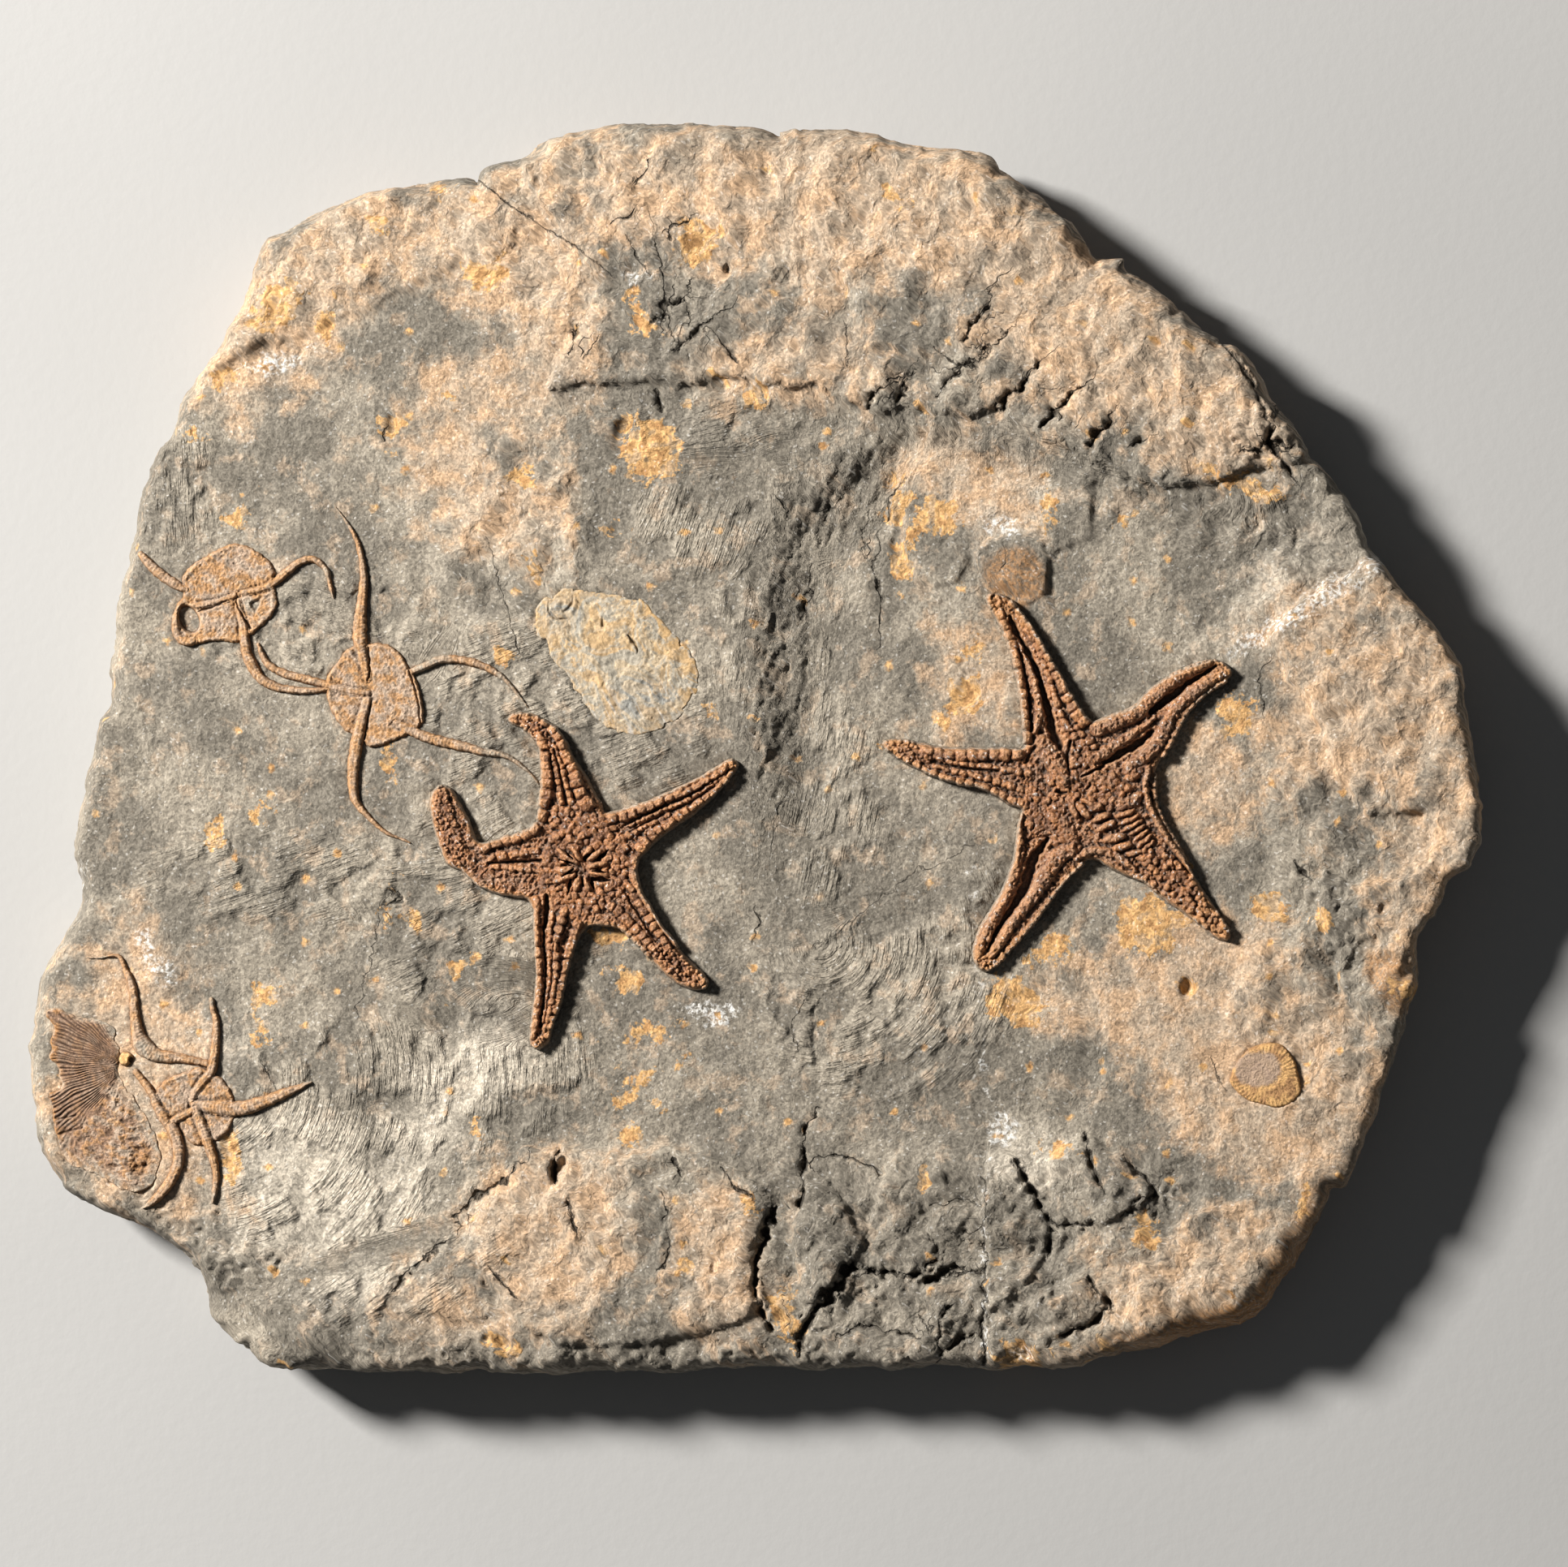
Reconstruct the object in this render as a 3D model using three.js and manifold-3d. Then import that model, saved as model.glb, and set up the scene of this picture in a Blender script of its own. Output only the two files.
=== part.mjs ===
// A slab of stone with fossil starfish, brittle stars and shells standing in relief on its face.
// Millimetres. The slab lies on its flat underside at z = 0, with its face up (+Z).
// Each fossil is a solid of its own. The two starfish are seated in beds cut in the face, and the
// thin brittle stars and shells lie on it.
import * as THREE from 'three';
import { mergeVertices } from 'three/addons/utils/BufferGeometryUtils.js';
import Module from 'manifold-3d';

const wasm = await Module();
wasm.setup();

// ---- driving dimensions -------------------------------------------------------------------

const FACE = 25; // height of the face above the underside
const BED = 22; // floor of the beds that hold the starfish
const CLEARANCE = 0.3; // gap between a fossil and the stone
const UPPER_PLATE = 2.6; // rise of the bedding plate along the top edge
const RIGHT_PLATE = 1.8; // rise of the plate at the right-hand edge
const LOWER_PLATE = 1.2; // rise of the plates along the bottom edge
const HOLLOW = 2.4; // depth of the prepared hollow between the two starfish
const STAR_RELIEF = 4.6; // height of a starfish's plates above the face
const BRITTLE_RELIEF = 1.5; // height of a brittle star's arms above the face
const MOUTH_RADIUS = 6.4; // ring of mouth plates at the middle of a starfish
const RINGS_PER_ARM = 11; // cross sections along one starfish arm
const RINGS_PER_THIN_ARM = 8; // cross sections along one brittle star arm

const STONE = { color: 0x8b8880, roughness: 0.95, metalness: 0 };
const STARFISH_PLATE = { color: 0x7d5233, roughness: 0.6, metalness: 0 };
const BRITTLE_PLATE = { color: 0xa9794b, roughness: 0.85, metalness: 0 };
const OCHRE_SHELL = { color: 0xb98f5e, roughness: 0.9, metalness: 0 };
const PALE_SHELL = { color: 0xbdb09a, roughness: 0.6, metalness: 0 };

// ---- outlines and routes, [x, y] or [x, y, half width] --------------------------------------

const SLAB_OUTLINE = [
  [-159, 23], [-157, 41], [-154, 52], [-151, 66], [-146, 77], [-143, 84], [-140, 89], [-134, 97],
  [-128, 108], [-124, 118], [-121, 125], [-116, 128], [-109, 132], [-99, 136], [-92, 138],
  [-81, 140], [-71, 141], [-69, 140], [-67, 143], [-58, 146], [-54, 149], [-50, 151], [-39, 153],
  [-24, 155], [-11, 154], [2, 153], [6, 152], [8, 153], [28, 152], [38, 149], [56, 147], [62, 142],
  [72, 135], [80, 128], [84, 122], [86, 121], [91, 121], [92, 118], [100, 113], [110, 104],
  [118, 99], [123, 95], [128, 86], [133, 80], [138, 73], [147, 60], [153, 49], [161, 38],
  [173, 23], [175, 17], [178, -1], [180, -16], [179, -25], [177, -30], [172, -33], [169, -41],
  [166, -44], [164, -50], [164, -58], [161, -67], [157, -81], [154, -90], [149, -101], [146, -109],
  [143, -110], [140, -116], [134, -128], [127, -139], [121, -143], [110, -146], [99, -149],
  [84, -152], [77, -154], [55, -154], [23, -154], [-4, -154], [-31, -155], [-66, -155],
  [-105, -155], [-117, -154], [-125, -150], [-134, -142], [-136, -135], [-140, -128],
  [-148, -120], [-153, -118], [-161, -115], [-170, -110], [-175, -102], [-178, -94], [-180, -77],
  [-179, -70], [-177, -57], [-172, -48], [-167, -36], [-168, -30], [-169, -22], [-165, -6],
  [-161, 12],
];

// The plate along the top edge runs past the slab's outline and is trimmed to it.
const UPPER_PLATE_OUTLINE = [
  [-60, 170], [-56, 138], [-44, 126], [-36, 112], [-46, 100], [-50, 90], [-41, 89], [-23, 91],
  [-14, 90], [-8, 92], [10, 86], [14, 90], [26, 84], [30, 82], [36, 84], [53, 81], [59, 84],
  [68, 76], [74, 75], [93, 65], [104, 64], [114, 65], [119, 68], [131, 70], [150, 84], [120, 150],
  [40, 185],
];
const UPPER_STEP_OUTLINE = [
  [10, 170], [4, 140], [20, 122], [26, 104], [44, 98], [60, 102], [84, 84], [112, 76], [150, 84],
  [120, 140], [50, 175],
];
const LEFT_TERRACE_OUTLINE = [
  [-150, 86], [-128, 86], [-118, 98], [-100, 104], [-86, 116], [-66, 118], [-56, 138], [-60, 170],
  [-150, 150],
];
const RIGHT_PLATE_OUTLINE = [
  [200, 60], [148, 44], [134, 40], [128, 30], [137, 18], [140, 2], [150, -8], [163, -16],
  [167, -20], [166, -27], [158, -33], [147, -34], [152, -44], [146, -54], [146, -62], [153, -69],
  [160, -76], [200, -84],
];
const LOWER_LEFT_PLATE_OUTLINE = [
  [-72, -100], [-58, -97], [-44, -98], [-36, -104], [-34, -118], [-28, -132], [-8, -139], [6, -144],
  [6, -170], [-120, -170], [-108, -142], [-94, -134], [-80, -122], [-76, -108],
];
const LOWER_RIGHT_PLATE_OUTLINE = [
  [38, -96], [56, -92], [72, -98], [90, -96], [104, -88], [126, -96], [144, -100], [160, -130],
  [110, -175], [52, -175], [50, -140], [30, -128], [28, -112],
];
const BROWN_PLATE_OUTLINE = [
  [53, 48], [57, 52], [68, 52], [71, 48], [71, 38], [66, 34], [58, 37], [54, 42],
];
const TAN_PLATE_OUTLINE = [
  [46, 73], [58, 78], [74, 76], [84, 70], [82, 58], [72, 52], [58, 54], [52, 50], [42, 41],
  [37, 47], [35, 54], [32, 58], [33, 63], [39, 68],
];

// Middle line and half width of the hollow between the starfish.
const HOLLOW_ROUTE = [
  [36, 74, 6], [26, 66, 9], [16, 54, 11], [8, 40, 12], [6, 22, 12], [8, 4, 11], [12, -16, 9],
];

// Chisel marks: from, to, half width, depth.
const CHISEL_MARKS = [
  [[-35, 129], [-27, 135], 1.1, 1.2], [[-22, 125], [-14, 131], 1.2, 1.4],
  [[-26, 104], [-14, 115], 1.3, 1.6], [[-20, 98], [-4, 110], 1.3, 1.6],
  [[-46, 96], [-43, 105], 1.2, 1.6], [[-43, 95], [-38, 102], 1.2, 1.4],
  [[27, 84], [36, 95], 1.4, 2.0], [[36, 84], [39, 95], 1.4, 2.0], [[45, 87], [66, 107], 1.5, 2.2],
  [[60, 83], [74, 99], 1.6, 2.4], [[51, 100], [59, 112], 1.5, 1.8], [[71, 79], [85, 93], 1.6, 2.4],
  [[82, 74], [89, 84], 1.5, 2.0], [[92, 73], [99, 77], 1.2, 1.4],
];
// Cracks: middle line with half widths, depth.
const CRACKS = [
  [[[12, -92, 0.8], [11, -115, 1.6], [0, -127, 1.8], [0, -139, 1.6], [4, -144, 0.8]], 4],
  [[[21, -111, 0.7], [26, -122, 1.5], [23, -130, 1.6], [14, -137, 1.3], [11, -150, 0.8]], 3.4],
  [[[24, -130, 0.7], [41, -131, 1.4], [52, -127, 0.7]], 2.6],
  [[[19, -146, 0.6], [27, -142, 1.2], [40, -145, 0.6]], 2.2],
  [[[63, -101, 0.8], [70, -112, 1.6], [73, -119, 1.4], [71, -126, 0.8]], 3],
  [[[81, -94, 0.7], [85, -109, 1.3], [92, -103, 0.7]], 2.6],
  [[[82, -130, 0.7], [87, -138, 1.4], [75, -145, 0.9]], 2.8],
  [[[-48, -98, 0.6], [-47, -104, 2.2], [-45, -112, 0.6]], 3],
];
// Pits: middle, radius, depth. The first is the worn hollow in the lower left corner.
const PITS = [
  [-140, -172, 54, 5],
  [53, 13, 6.5, 1.1], [-32, 79, 4.5, 1.3], [106, -59, 2.6, 2], [138, -35, 2.4, 1.4],
  [155, -40, 2.6, 1.6], [160, -55, 2.8, 1.6], [-49, -103, 3, 2.6], [-2, -114, 2.2, 1.4],
  [85, -145, 5, 2], [-138.8, 31.5, 2.4, 1.6],
];
// Lumps left standing: middle, radius, height.
const LUMPS = [
  [33, 92, 7, 1.1], [-12, 100, 9, 1.4], [-28, 98, 8, 1.2], [18, -122, 8, 1.2],
  [60, -132, 10, 1.4], [100, -122, 9, 1.2],
];

// A starfish: its middle, and each arm's middle line from the tip inwards.
// groove is how far the food groove cuts below the plates, and 0 leaves the arm domed.
const LEFT_STARFISH = {
  centre: [-43.4, -30.1],
  discRadius: 13,
  arms: [
    { groove: 1.6, route: [
      [-59.4, 7.3, 1.0], [-56.2, 6.3, 1.8], [-52.6, 3.7, 2.6], [-49.8, 0.5, 3.4],
      [-48.8, -3.5, 4.2], [-47.2, -7.7, 5.4], [-45.8, -12.9, 7.2] ] },
    { groove: 1.6, route: [
      [-4.8, -3.9, 0.8], [-7.0, -5.7, 2.0], [-12.0, -9.7, 2.8], [-17.6, -13.7, 3.8],
      [-23.0, -16.7, 4.4], [-27.0, -18.7, 5.2], [-33.0, -22.5, 7.2] ] },
    { groove: 1.4, route: [
      [-12.6, -58.7, 1.0], [-15.4, -56.5, 2.6], [-19.0, -53.5, 3.2], [-22.8, -49.3, 3.6],
      [-26.6, -45.1, 3.8], [-30.2, -41.1, 4.8], [-34.6, -36.3, 7.6] ] },
    { groove: 1.8, route: [
      [-53.0, -73.9, 1.0], [-53.0, -71.1, 2.2], [-52.2, -67.1, 2.8], [-51.2, -62.5, 3.4],
      [-50.2, -57.1, 3.8], [-49.6, -51.5, 4.4], [-48.8, -46.3, 5.6], [-48.2, -40.3, 7.6] ] },
    { groove: 1.8, route: [
      [-70.4, -26.5, 1.8], [-68.4, -27.3, 3.4], [-63.6, -28.5, 5.6], [-57.8, -29.1, 7.6] ] },
    { groove: 0, folded: true, route: [
      [-77.6, -10.1, 1.2], [-76.6, -13.7, 3.2], [-75.0, -18.9, 4.2], [-72.6, -24.9, 4.4],
      [-68.4, -30.5, 4.6], [-62.2, -33.4, 4.2], [-57.4, -34.0, 3.4] ] },
  ],
};
const RIGHT_STARFISH = {
  centre: [78.2, -10.3],
  discRadius: 15,
  arms: [
    { groove: 3.0, route: [
      [57.4, 36.7, 1.0], [60.6, 33.7, 2.6], [63.8, 28.7, 3.4], [67.0, 23.1, 4.2],
      [69.8, 16.5, 5.2], [72.2, 10.1, 6.6], [74.0, 3.1, 8.4] ] },
    { groove: 3.0, route: [
      [115.6, 19.9, 1.4], [113.0, 18.1, 3.0], [107.4, 14.9, 3.8], [103.0, 12.3, 4.8],
      [99.4, 8.1, 5.8], [95.4, 4.1, 6.8], [90.4, 0.9, 9.2] ] },
    { groove: 0, route: [
      [115.4, -47.1, 1.2], [113.4, -44.5, 2.4], [109.4, -39.9, 3.4], [105.0, -35.5, 4.2],
      [101.2, -31.1, 5.2], [96.8, -26.3, 7.4], [91.8, -20.3, 9.4] ] },
    { groove: 3.0, route: [
      [55.4, -54.5, 1.2], [57.0, -50.7, 3.0], [60.0, -45.3, 4.2], [63.4, -40.5, 5.0],
      [66.8, -35.3, 5.6], [69.8, -29.7, 6.8], [73.2, -22.3, 9.2] ] },
    { groove: 2.0, route: [
      [31.8, 0.3, 1.0], [35.2, -0.7, 2.2], [40.4, -2.3, 3.2], [45.8, -3.9, 3.8],
      [51.4, -4.7, 4.4], [56.8, -5.5, 5.2], [61.4, -6.7, 6.6], [65.8, -7.5, 7.6] ] },
  ],
};

// A brittle star: its disc's outline, and each arm's middle line from the tip inwards.
const UPPER_BRITTLE_STAR = {
  centre: [-129, 38],
  disc: [
    [-137.0, 45.5], [-132.8, 48.7], [-128.2, 50.3], [-123.4, 48.9], [-119.4, 45.7], [-118.0, 41.7],
    [-117.6, 35.1], [-120.4, 30.5], [-123.6, 27.9], [-127.4, 25.6], [-133.8, 25.7], [-139.6, 24.3],
    [-142.8, 27.3], [-143.4, 31.1], [-141.8, 37.1], [-140.6, 41.7],
  ],
  hollow: { at: [-138.8, 31.5], radii: [2, 3.2], turn: -0.5, depth: 2.4 },
  arms: [
    [[-150.8, 48.3, 1.0], [-147.6, 45.7, 1.2], [-143.8, 42.5, 1.4], [-139.8, 39.7, 1.6],
      [-133.8, 38.1, 1.0], [-127.6, 38.1, 0.8]],
    [[-103.8, 37.1, 0.3], [-104.4, 41.7, 0.6], [-106.0, 45.1, 0.8], [-108.8, 46.5, 0.9],
      [-112.2, 45.5, 0.9], [-115.6, 42.5, 1.0], [-119.0, 39.7, 1.0], [-127.0, 37.7, 1.0]],
    [[-134.6, 26.7, 0.8], [-139.4, 26.3, 1.1], [-142.0, 28.7, 1.1], [-142.0, 31.7, 1.0],
      [-140.6, 35.2, 1.0], [-136.2, 35.9, 1.0], [-131.8, 36.9, 0.9], [-127.6, 38.1, 0.8]],
    [[-107.0, 13.7, 0.7], [-112.6, 14.1, 1.0], [-118.2, 15.7, 1.2], [-122.4, 19.3, 1.3],
      [-124.6, 23.7, 1.4], [-125.6, 28.1, 1.4], [-126.6, 33.1, 1.3], [-127.4, 37.7, 1.0]],
  ],
};
const MIDDLE_BRITTLE_STAR = {
  centre: [-94, 14],
  disc: [
    [-99.2, 24.7], [-94.6, 25.7], [-90.0, 24.7], [-86.0, 21.9], [-83.2, 17.9], [-81.4, 13.3],
    [-81.4, 8.7], [-82.4, 5.3], [-85.6, 3.1], [-90.0, 1.7], [-95.2, 0.3], [-99.8, 2.9],
    [-103.0, 6.9], [-105.0, 11.5], [-105.2, 16.5], [-103.4, 20.7],
  ],
  arms: [
    [[-103.0, 58.5, 0.3], [-99.8, 54.1, 0.5], [-97.6, 48.9, 0.8], [-96.4, 42.5, 1.2],
      [-96.6, 37.5, 1.5], [-97.0, 31.1, 1.6], [-96.4, 24.1, 1.6], [-94.6, 17.3, 1.2],
      [-93.8, 14.1, 1.0]],
    [[-58.2, 12.5, 0.5], [-60.8, 15.9, 0.8], [-64.2, 18.5, 1.0], [-68.8, 20.7, 1.2],
      [-74.6, 21.7, 1.2], [-79.6, 20.7, 1.2], [-85.2, 18.1, 1.2], [-90.2, 16.1, 1.0],
      [-94.2, 14.5, 1.0]],
    [[-55.0, -7.1, 0.3], [-57.6, -4.5, 0.6], [-61.4, -2.5, 0.9], [-66.6, -1.3, 1.1],
      [-72.8, 0.1, 1.2], [-79.2, 1.9, 1.4], [-84.6, 4.1, 1.6], [-90.2, 9.7, 1.2],
      [-93.8, 13.7, 1.0]],
    [[-86.2, -23.1, 0.3], [-89.8, -21.5, 0.6], [-93.4, -19.1, 0.8], [-96.6, -16.1, 1.2],
      [-98.8, -11.9, 1.5], [-99.2, -6.7, 1.6], [-98.6, 0.1, 1.6], [-97.2, 6.9, 1.6],
      [-94.2, 14.5, 1.0]],
    [[-122.0, 26.9, 0.5], [-121.4, 23.3, 0.8], [-119.4, 19.9, 0.9], [-115.8, 17.3, 1.0],
      [-110.2, 16.5, 1.1], [-105.2, 15.5, 1.4], [-99.8, 14.9, 1.2], [-94.6, 14.5, 1.0]],
  ],
};
const LOWER_BRITTLE_STAR = {
  centre: [-138, -88],
  disc: [
    [-146.2, -83.1], [-143.4, -80.9], [-139.6, -79.7], [-135.8, -79.5], [-132.6, -80.5],
    [-129.6, -83.3], [-127.8, -87.1], [-128.2, -92.3], [-130.2, -95.5], [-134.0, -97.7],
    [-137.8, -97.9], [-140.6, -96.1], [-143.0, -93.1], [-145.2, -90.3], [-147.0, -86.9],
  ],
  arms: [
    [[-163.8, -52.1, 0.3], [-160.2, -51.7, 0.5], [-157.0, -51.7, 0.6], [-155.2, -54.3, 1.0],
      [-153.6, -59.1, 1.3], [-152.8, -64.3, 1.4], [-152.2, -69.5, 1.6], [-150.4, -73.9, 2.2],
      [-146.8, -76.3, 1.8], [-141.8, -76.7, 1.6], [-136.4, -77.7, 1.4], [-136.6, -83.9, 1.2],
      [-138.2, -87.1, 1.0]],
    [[-133.4, -62.1, 1.0], [-132.6, -66.7, 1.1], [-132.6, -71.3, 1.2], [-133.0, -75.9, 1.4],
      [-134.2, -79.9, 1.6], [-136.2, -83.5, 1.4], [-138.2, -87.1, 1.0]],
    [[-109.2, -83.3, 0.4], [-113.2, -84.9, 1.0], [-117.8, -86.7, 1.6], [-123.6, -88.5, 2.0],
      [-129.6, -89.1, 2.2], [-134.6, -88.3, 2.0], [-138.2, -87.5, 1.4]],
    [[-133.0, -111.7, 0.6], [-132.4, -106.9, 1.0], [-133.4, -101.9, 1.2], [-135.0, -97.1, 1.4],
      [-136.2, -93.3, 1.6], [-137.6, -89.5, 1.4], [-138.2, -87.5, 1.2]],
    [[-149.4, -112.5, 0.6], [-146.4, -110.7, 1.0], [-143.6, -107.7, 1.2], [-141.8, -103.5, 1.6],
      [-142.0, -98.7, 1.8], [-143.4, -94.7, 1.8], [-144.2, -91.9, 1.6], [-139.2, -89.0, 1.2],
      [-138.2, -87.5, 1.0]],
  ],
};

// The fan of ribs: its hinge, and how far its rim is from the hinge at each bearing in degrees.
const FAN = {
  hinge: [-157.4, -77.1],
  rim: [
    [126, 9], [138, 15], [146, 20.5], [158, 17], [177, 16], [190, 15.5], [204, 17], [217, 22],
    [232, 27], [248, 30.5], [262, 32], [276, 31], [284, 28], [290, 22], [296, 14], [310, 7],
  ],
  ribs: 12,
  relief: 0.9,
  boss: { at: [-156.1, -77], radius: 2.2, height: 1.6 },
};

const OVAL_SHELL_OUTLINE = [
  [-54.6, 31.1], [-53.2, 35.1], [-49.0, 38.5], [-42.2, 38.7], [-34.6, 37.5], [-27.4, 36.1],
  [-24.0, 31.9], [-20.4, 27.5], [-16.0, 23.9], [-14.0, 17.9], [-14.8, 13.5], [-17.4, 9.7],
  [-22.4, 5.7], [-29.0, 3.3], [-35.6, 3.9], [-41.0, 9.7], [-44.6, 14.3], [-48.0, 19.5],
  [-52.0, 25.5],
];
const ROUND_SHELL = { centre: [125.4, -81.1], radius: 8.6, sides: 20 };

// ---- closed solids ---------------------------------------------------------------------------

/** A manifold solid from a closed three.js geometry, turned so that its faces point out. */
function solid(geometry) {
  geometry.deleteAttribute('normal');
  geometry.deleteAttribute('uv');
  const merged = mergeVertices(geometry, 1e-4);
  const corners = Uint32Array.from(merged.index.array);
  const points = Float32Array.from(merged.attributes.position.array);
  if (signedVolume(points, corners) < 0) corners.reverse();
  return new wasm.Manifold(
    new wasm.Mesh({ numProp: 3, vertProperties: points, triVerts: corners }),
  );
}

function signedVolume(points, corners) {
  let volume = 0;
  const [a, b, c] = [new THREE.Vector3(), new THREE.Vector3(), new THREE.Vector3()];
  for (let i = 0; i < corners.length; i += 3) {
    a.fromArray(points, corners[i] * 3);
    b.fromArray(points, corners[i + 1] * 3);
    c.fromArray(points, corners[i + 2] * 3);
    volume += a.dot(b.cross(c)) / 6;
  }
  return volume;
}

/** A closed body through rings of points, each ring with the same number of points. */
function loft(rings) {
  const count = rings[0].length;
  const points = rings.flat();
  const corners = [];
  for (let r = 0; r + 1 < rings.length; r++) {
    for (let i = 0; i < count; i++) {
      const next = (i + 1) % count;
      const [a, b] = [r * count + i, r * count + next];
      corners.push(a, b, b + count, a, b + count, a + count);
    }
  }
  const lastRing = (rings.length - 1) * count;
  const lowCap = points.push(middleOf(rings[0])) - 1;
  const highCap = points.push(middleOf(rings[rings.length - 1])) - 1;
  for (let i = 0; i < count; i++) {
    const next = (i + 1) % count;
    corners.push(lowCap, next, i, highCap, lastRing + i, lastRing + next);
  }
  const geometry = new THREE.BufferGeometry().setFromPoints(points);
  geometry.setIndex(corners);
  return solid(geometry);
}

function middleOf(ring) {
  const sum = ring.reduce((total, point) => total.add(point), new THREE.Vector3());
  return sum.divideScalar(ring.length);
}

/** An upright prism over an outline of [x, y] points. */
function prism(outline, low, high) {
  const shape = new THREE.Shape(outline.map(([x, y]) => new THREE.Vector2(x, y)));
  const geometry = new THREE.ExtrudeGeometry(shape, { depth: high - low, bevelEnabled: false });
  return solid(geometry.translate(0, 0, low));
}

/** A flat-topped plate over an outline, its upper edge sloped back by its rise. */
function plate(outline, rise) {
  const shape = new THREE.Shape(outline.map(([x, y]) => new THREE.Vector2(x, y)));
  const depth = FACE - BED;
  const geometry = new THREE.ExtrudeGeometry(shape, {
    depth, bevelThickness: rise, bevelSize: rise * 0.5, bevelOffset: -rise * 0.5, bevelSegments: 1,
  });
  return solid(geometry.translate(0, 0, BED));
}

/** A flattened ball, for a lump to add or a pit to take away. */
function cushion([x, y], radius, height, z) {
  const geometry = new THREE.SphereGeometry(1, radius < 8 ? 8 : 12, 4);
  geometry.rotateX(Math.PI / 2).scale(radius, radius, height).translate(x, y, z);
  return solid(geometry);
}

/** A groove's cutter along a route of [x, y, half width], deepest in the middle of its width. */
function furrow(route, depth, above = 6) {
  const spine = smoothRoute(route);
  const steps = Math.max(2, route.length);
  const rings = [];
  for (let i = 0; i <= steps; i++) {
    const { x, y, half, across } = pointOn(spine, i / steps);
    const taper = Math.sin(Math.PI * (0.06 + 0.88 * (i / steps)));
    const top = FACE + above;
    const floor = FACE + UPPER_PLATE * upperPlateAt(x, y) - depth * taper;
    const flare = half * (1 + (above / depth) * 0.25);
    rings.push([
      new THREE.Vector3(x - across.x * flare, y - across.y * flare, top),
      new THREE.Vector3(x, y, floor),
      new THREE.Vector3(x + across.x * flare, y + across.y * flare, top),
    ]);
  }
  return loft(rings);
}

/** A curve through a route, its third coordinate carrying the half width. */
function smoothRoute(route) {
  return new THREE.CatmullRomCurve3(route.map((point) => new THREE.Vector3(...point)));
}

/** Place, half width and the unit vector across a route at t, from 0 to 1. */
function pointOn(spine, t) {
  const point = spine.getPointAt(t);
  const along = spine.getTangentAt(t).setZ(0).normalize();
  return { x: point.x, y: point.y, half: point.z, across: new THREE.Vector2(-along.y, along.x) };
}

// ---- the slab --------------------------------------------------------------------------------

/** 1 over the plate along the top edge and 0 elsewhere. */
function upperPlateAt(x, y) {
  return isInside(UPPER_PLATE_OUTLINE, x, y) ? 1 : 0;
}

function isInside(outline, x, y) {
  let inside = false;
  for (let i = 0, j = outline.length - 1; i < outline.length; j = i++) {
    const [[ax, ay], [bx, by]] = [outline[i], outline[j]];
    if (ay > y !== by > y && x < ((bx - ax) * (y - ay)) / (by - ay) + ax) inside = !inside;
  }
  return inside;
}

/** How far the face's edge lies inside the slab's widest outline at a bearing. */
function bevelAt(bearing) {
  const bump = (middle, width) => {
    const turn = Math.atan2(Math.sin(bearing - middle), Math.cos(bearing - middle));
    return Math.exp(-((turn / width) ** 2));
  };
  return 2 + 6 * bump(-0.87, 0.16) + 3.5 * bump(0.95, 0.4) + 1.5 * bump(-1.75, 0.5);
}

/** A steady scatter between -1 and 1, for the broken faces of the sides. */
function scatter(index, salt) {
  const wave = Math.sin(index * 127.1 + salt * 311.7) * 43758.5453;
  return 2 * (wave - Math.floor(wave)) - 1;
}

/** An outline drawn in by an inset at a height, with its facets scattered by rough. */
function edgeRing(outline, inset, z, rough, salt) {
  return outline.map(([x, y], i) => {
    const reach = Math.hypot(x, y);
    const extra = rough * (1 + scatter(i, salt)) / 2;
    const scale = 1 - (inset(Math.atan2(y, x)) + extra) / reach;
    return new THREE.Vector3(x * scale, y * scale, z + rough * 0.6 * scatter(i, salt + 5));
  });
}

function rawSlab() {
  const underside = SLAB_OUTLINE.map(([x, y]) => new THREE.Vector3(x * 0.972, y * 0.972, 0));
  return loft([
    underside,
    edgeRing(SLAB_OUTLINE, () => 0, 9, 0, 2),
    edgeRing(SLAB_OUTLINE, (bearing) => bevelAt(bearing) * 0.3, 18, 2, 3),
    edgeRing(SLAB_OUTLINE, bevelAt, FACE, 0, 4),
  ]);
}

/** Everything inside the slab's broken sides, to trim the plates that run past them. */
function trimmer() {
  const coarse = SLAB_OUTLINE.filter((_, i) => i % 3 === 0);
  return loft([
    edgeRing(coarse, (bearing) => bevelAt(bearing) + 0.5, BED - 1, 0, 1),
    edgeRing(coarse, (bearing) => bevelAt(bearing) + 1.5, FACE + 1, 0, 3),
    edgeRing(coarse, (bearing) => bevelAt(bearing) * 1.4 + 5, FACE + 6, 1, 4),
  ]);
}

/** Flakes broken off the rim: turned boxes that bite into the upper edge. */
function rimFlakes() {
  const flakes = [];
  for (let i = 1; i < SLAB_OUTLINE.length; i += 5) {
    const [x, y] = SLAB_OUTLINE[i];
    const bearing = Math.atan2(y, x);
    const size = 7 + 3 * scatter(i, 21);
    const geometry = new THREE.BoxGeometry(size, size * 1.7, size);
    geometry.rotateY(0.75 + 0.2 * scatter(i, 22));
    geometry.rotateZ(bearing + 0.35 * scatter(i, 23));
    const reach = Math.hypot(x, y) - bevelAt(bearing) + size * 0.42;
    geometry.translate(
      Math.cos(bearing) * reach, Math.sin(bearing) * reach, FACE + size * 0.22,
    );
    flakes.push(solid(geometry));
  }
  return flakes;
}

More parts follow.
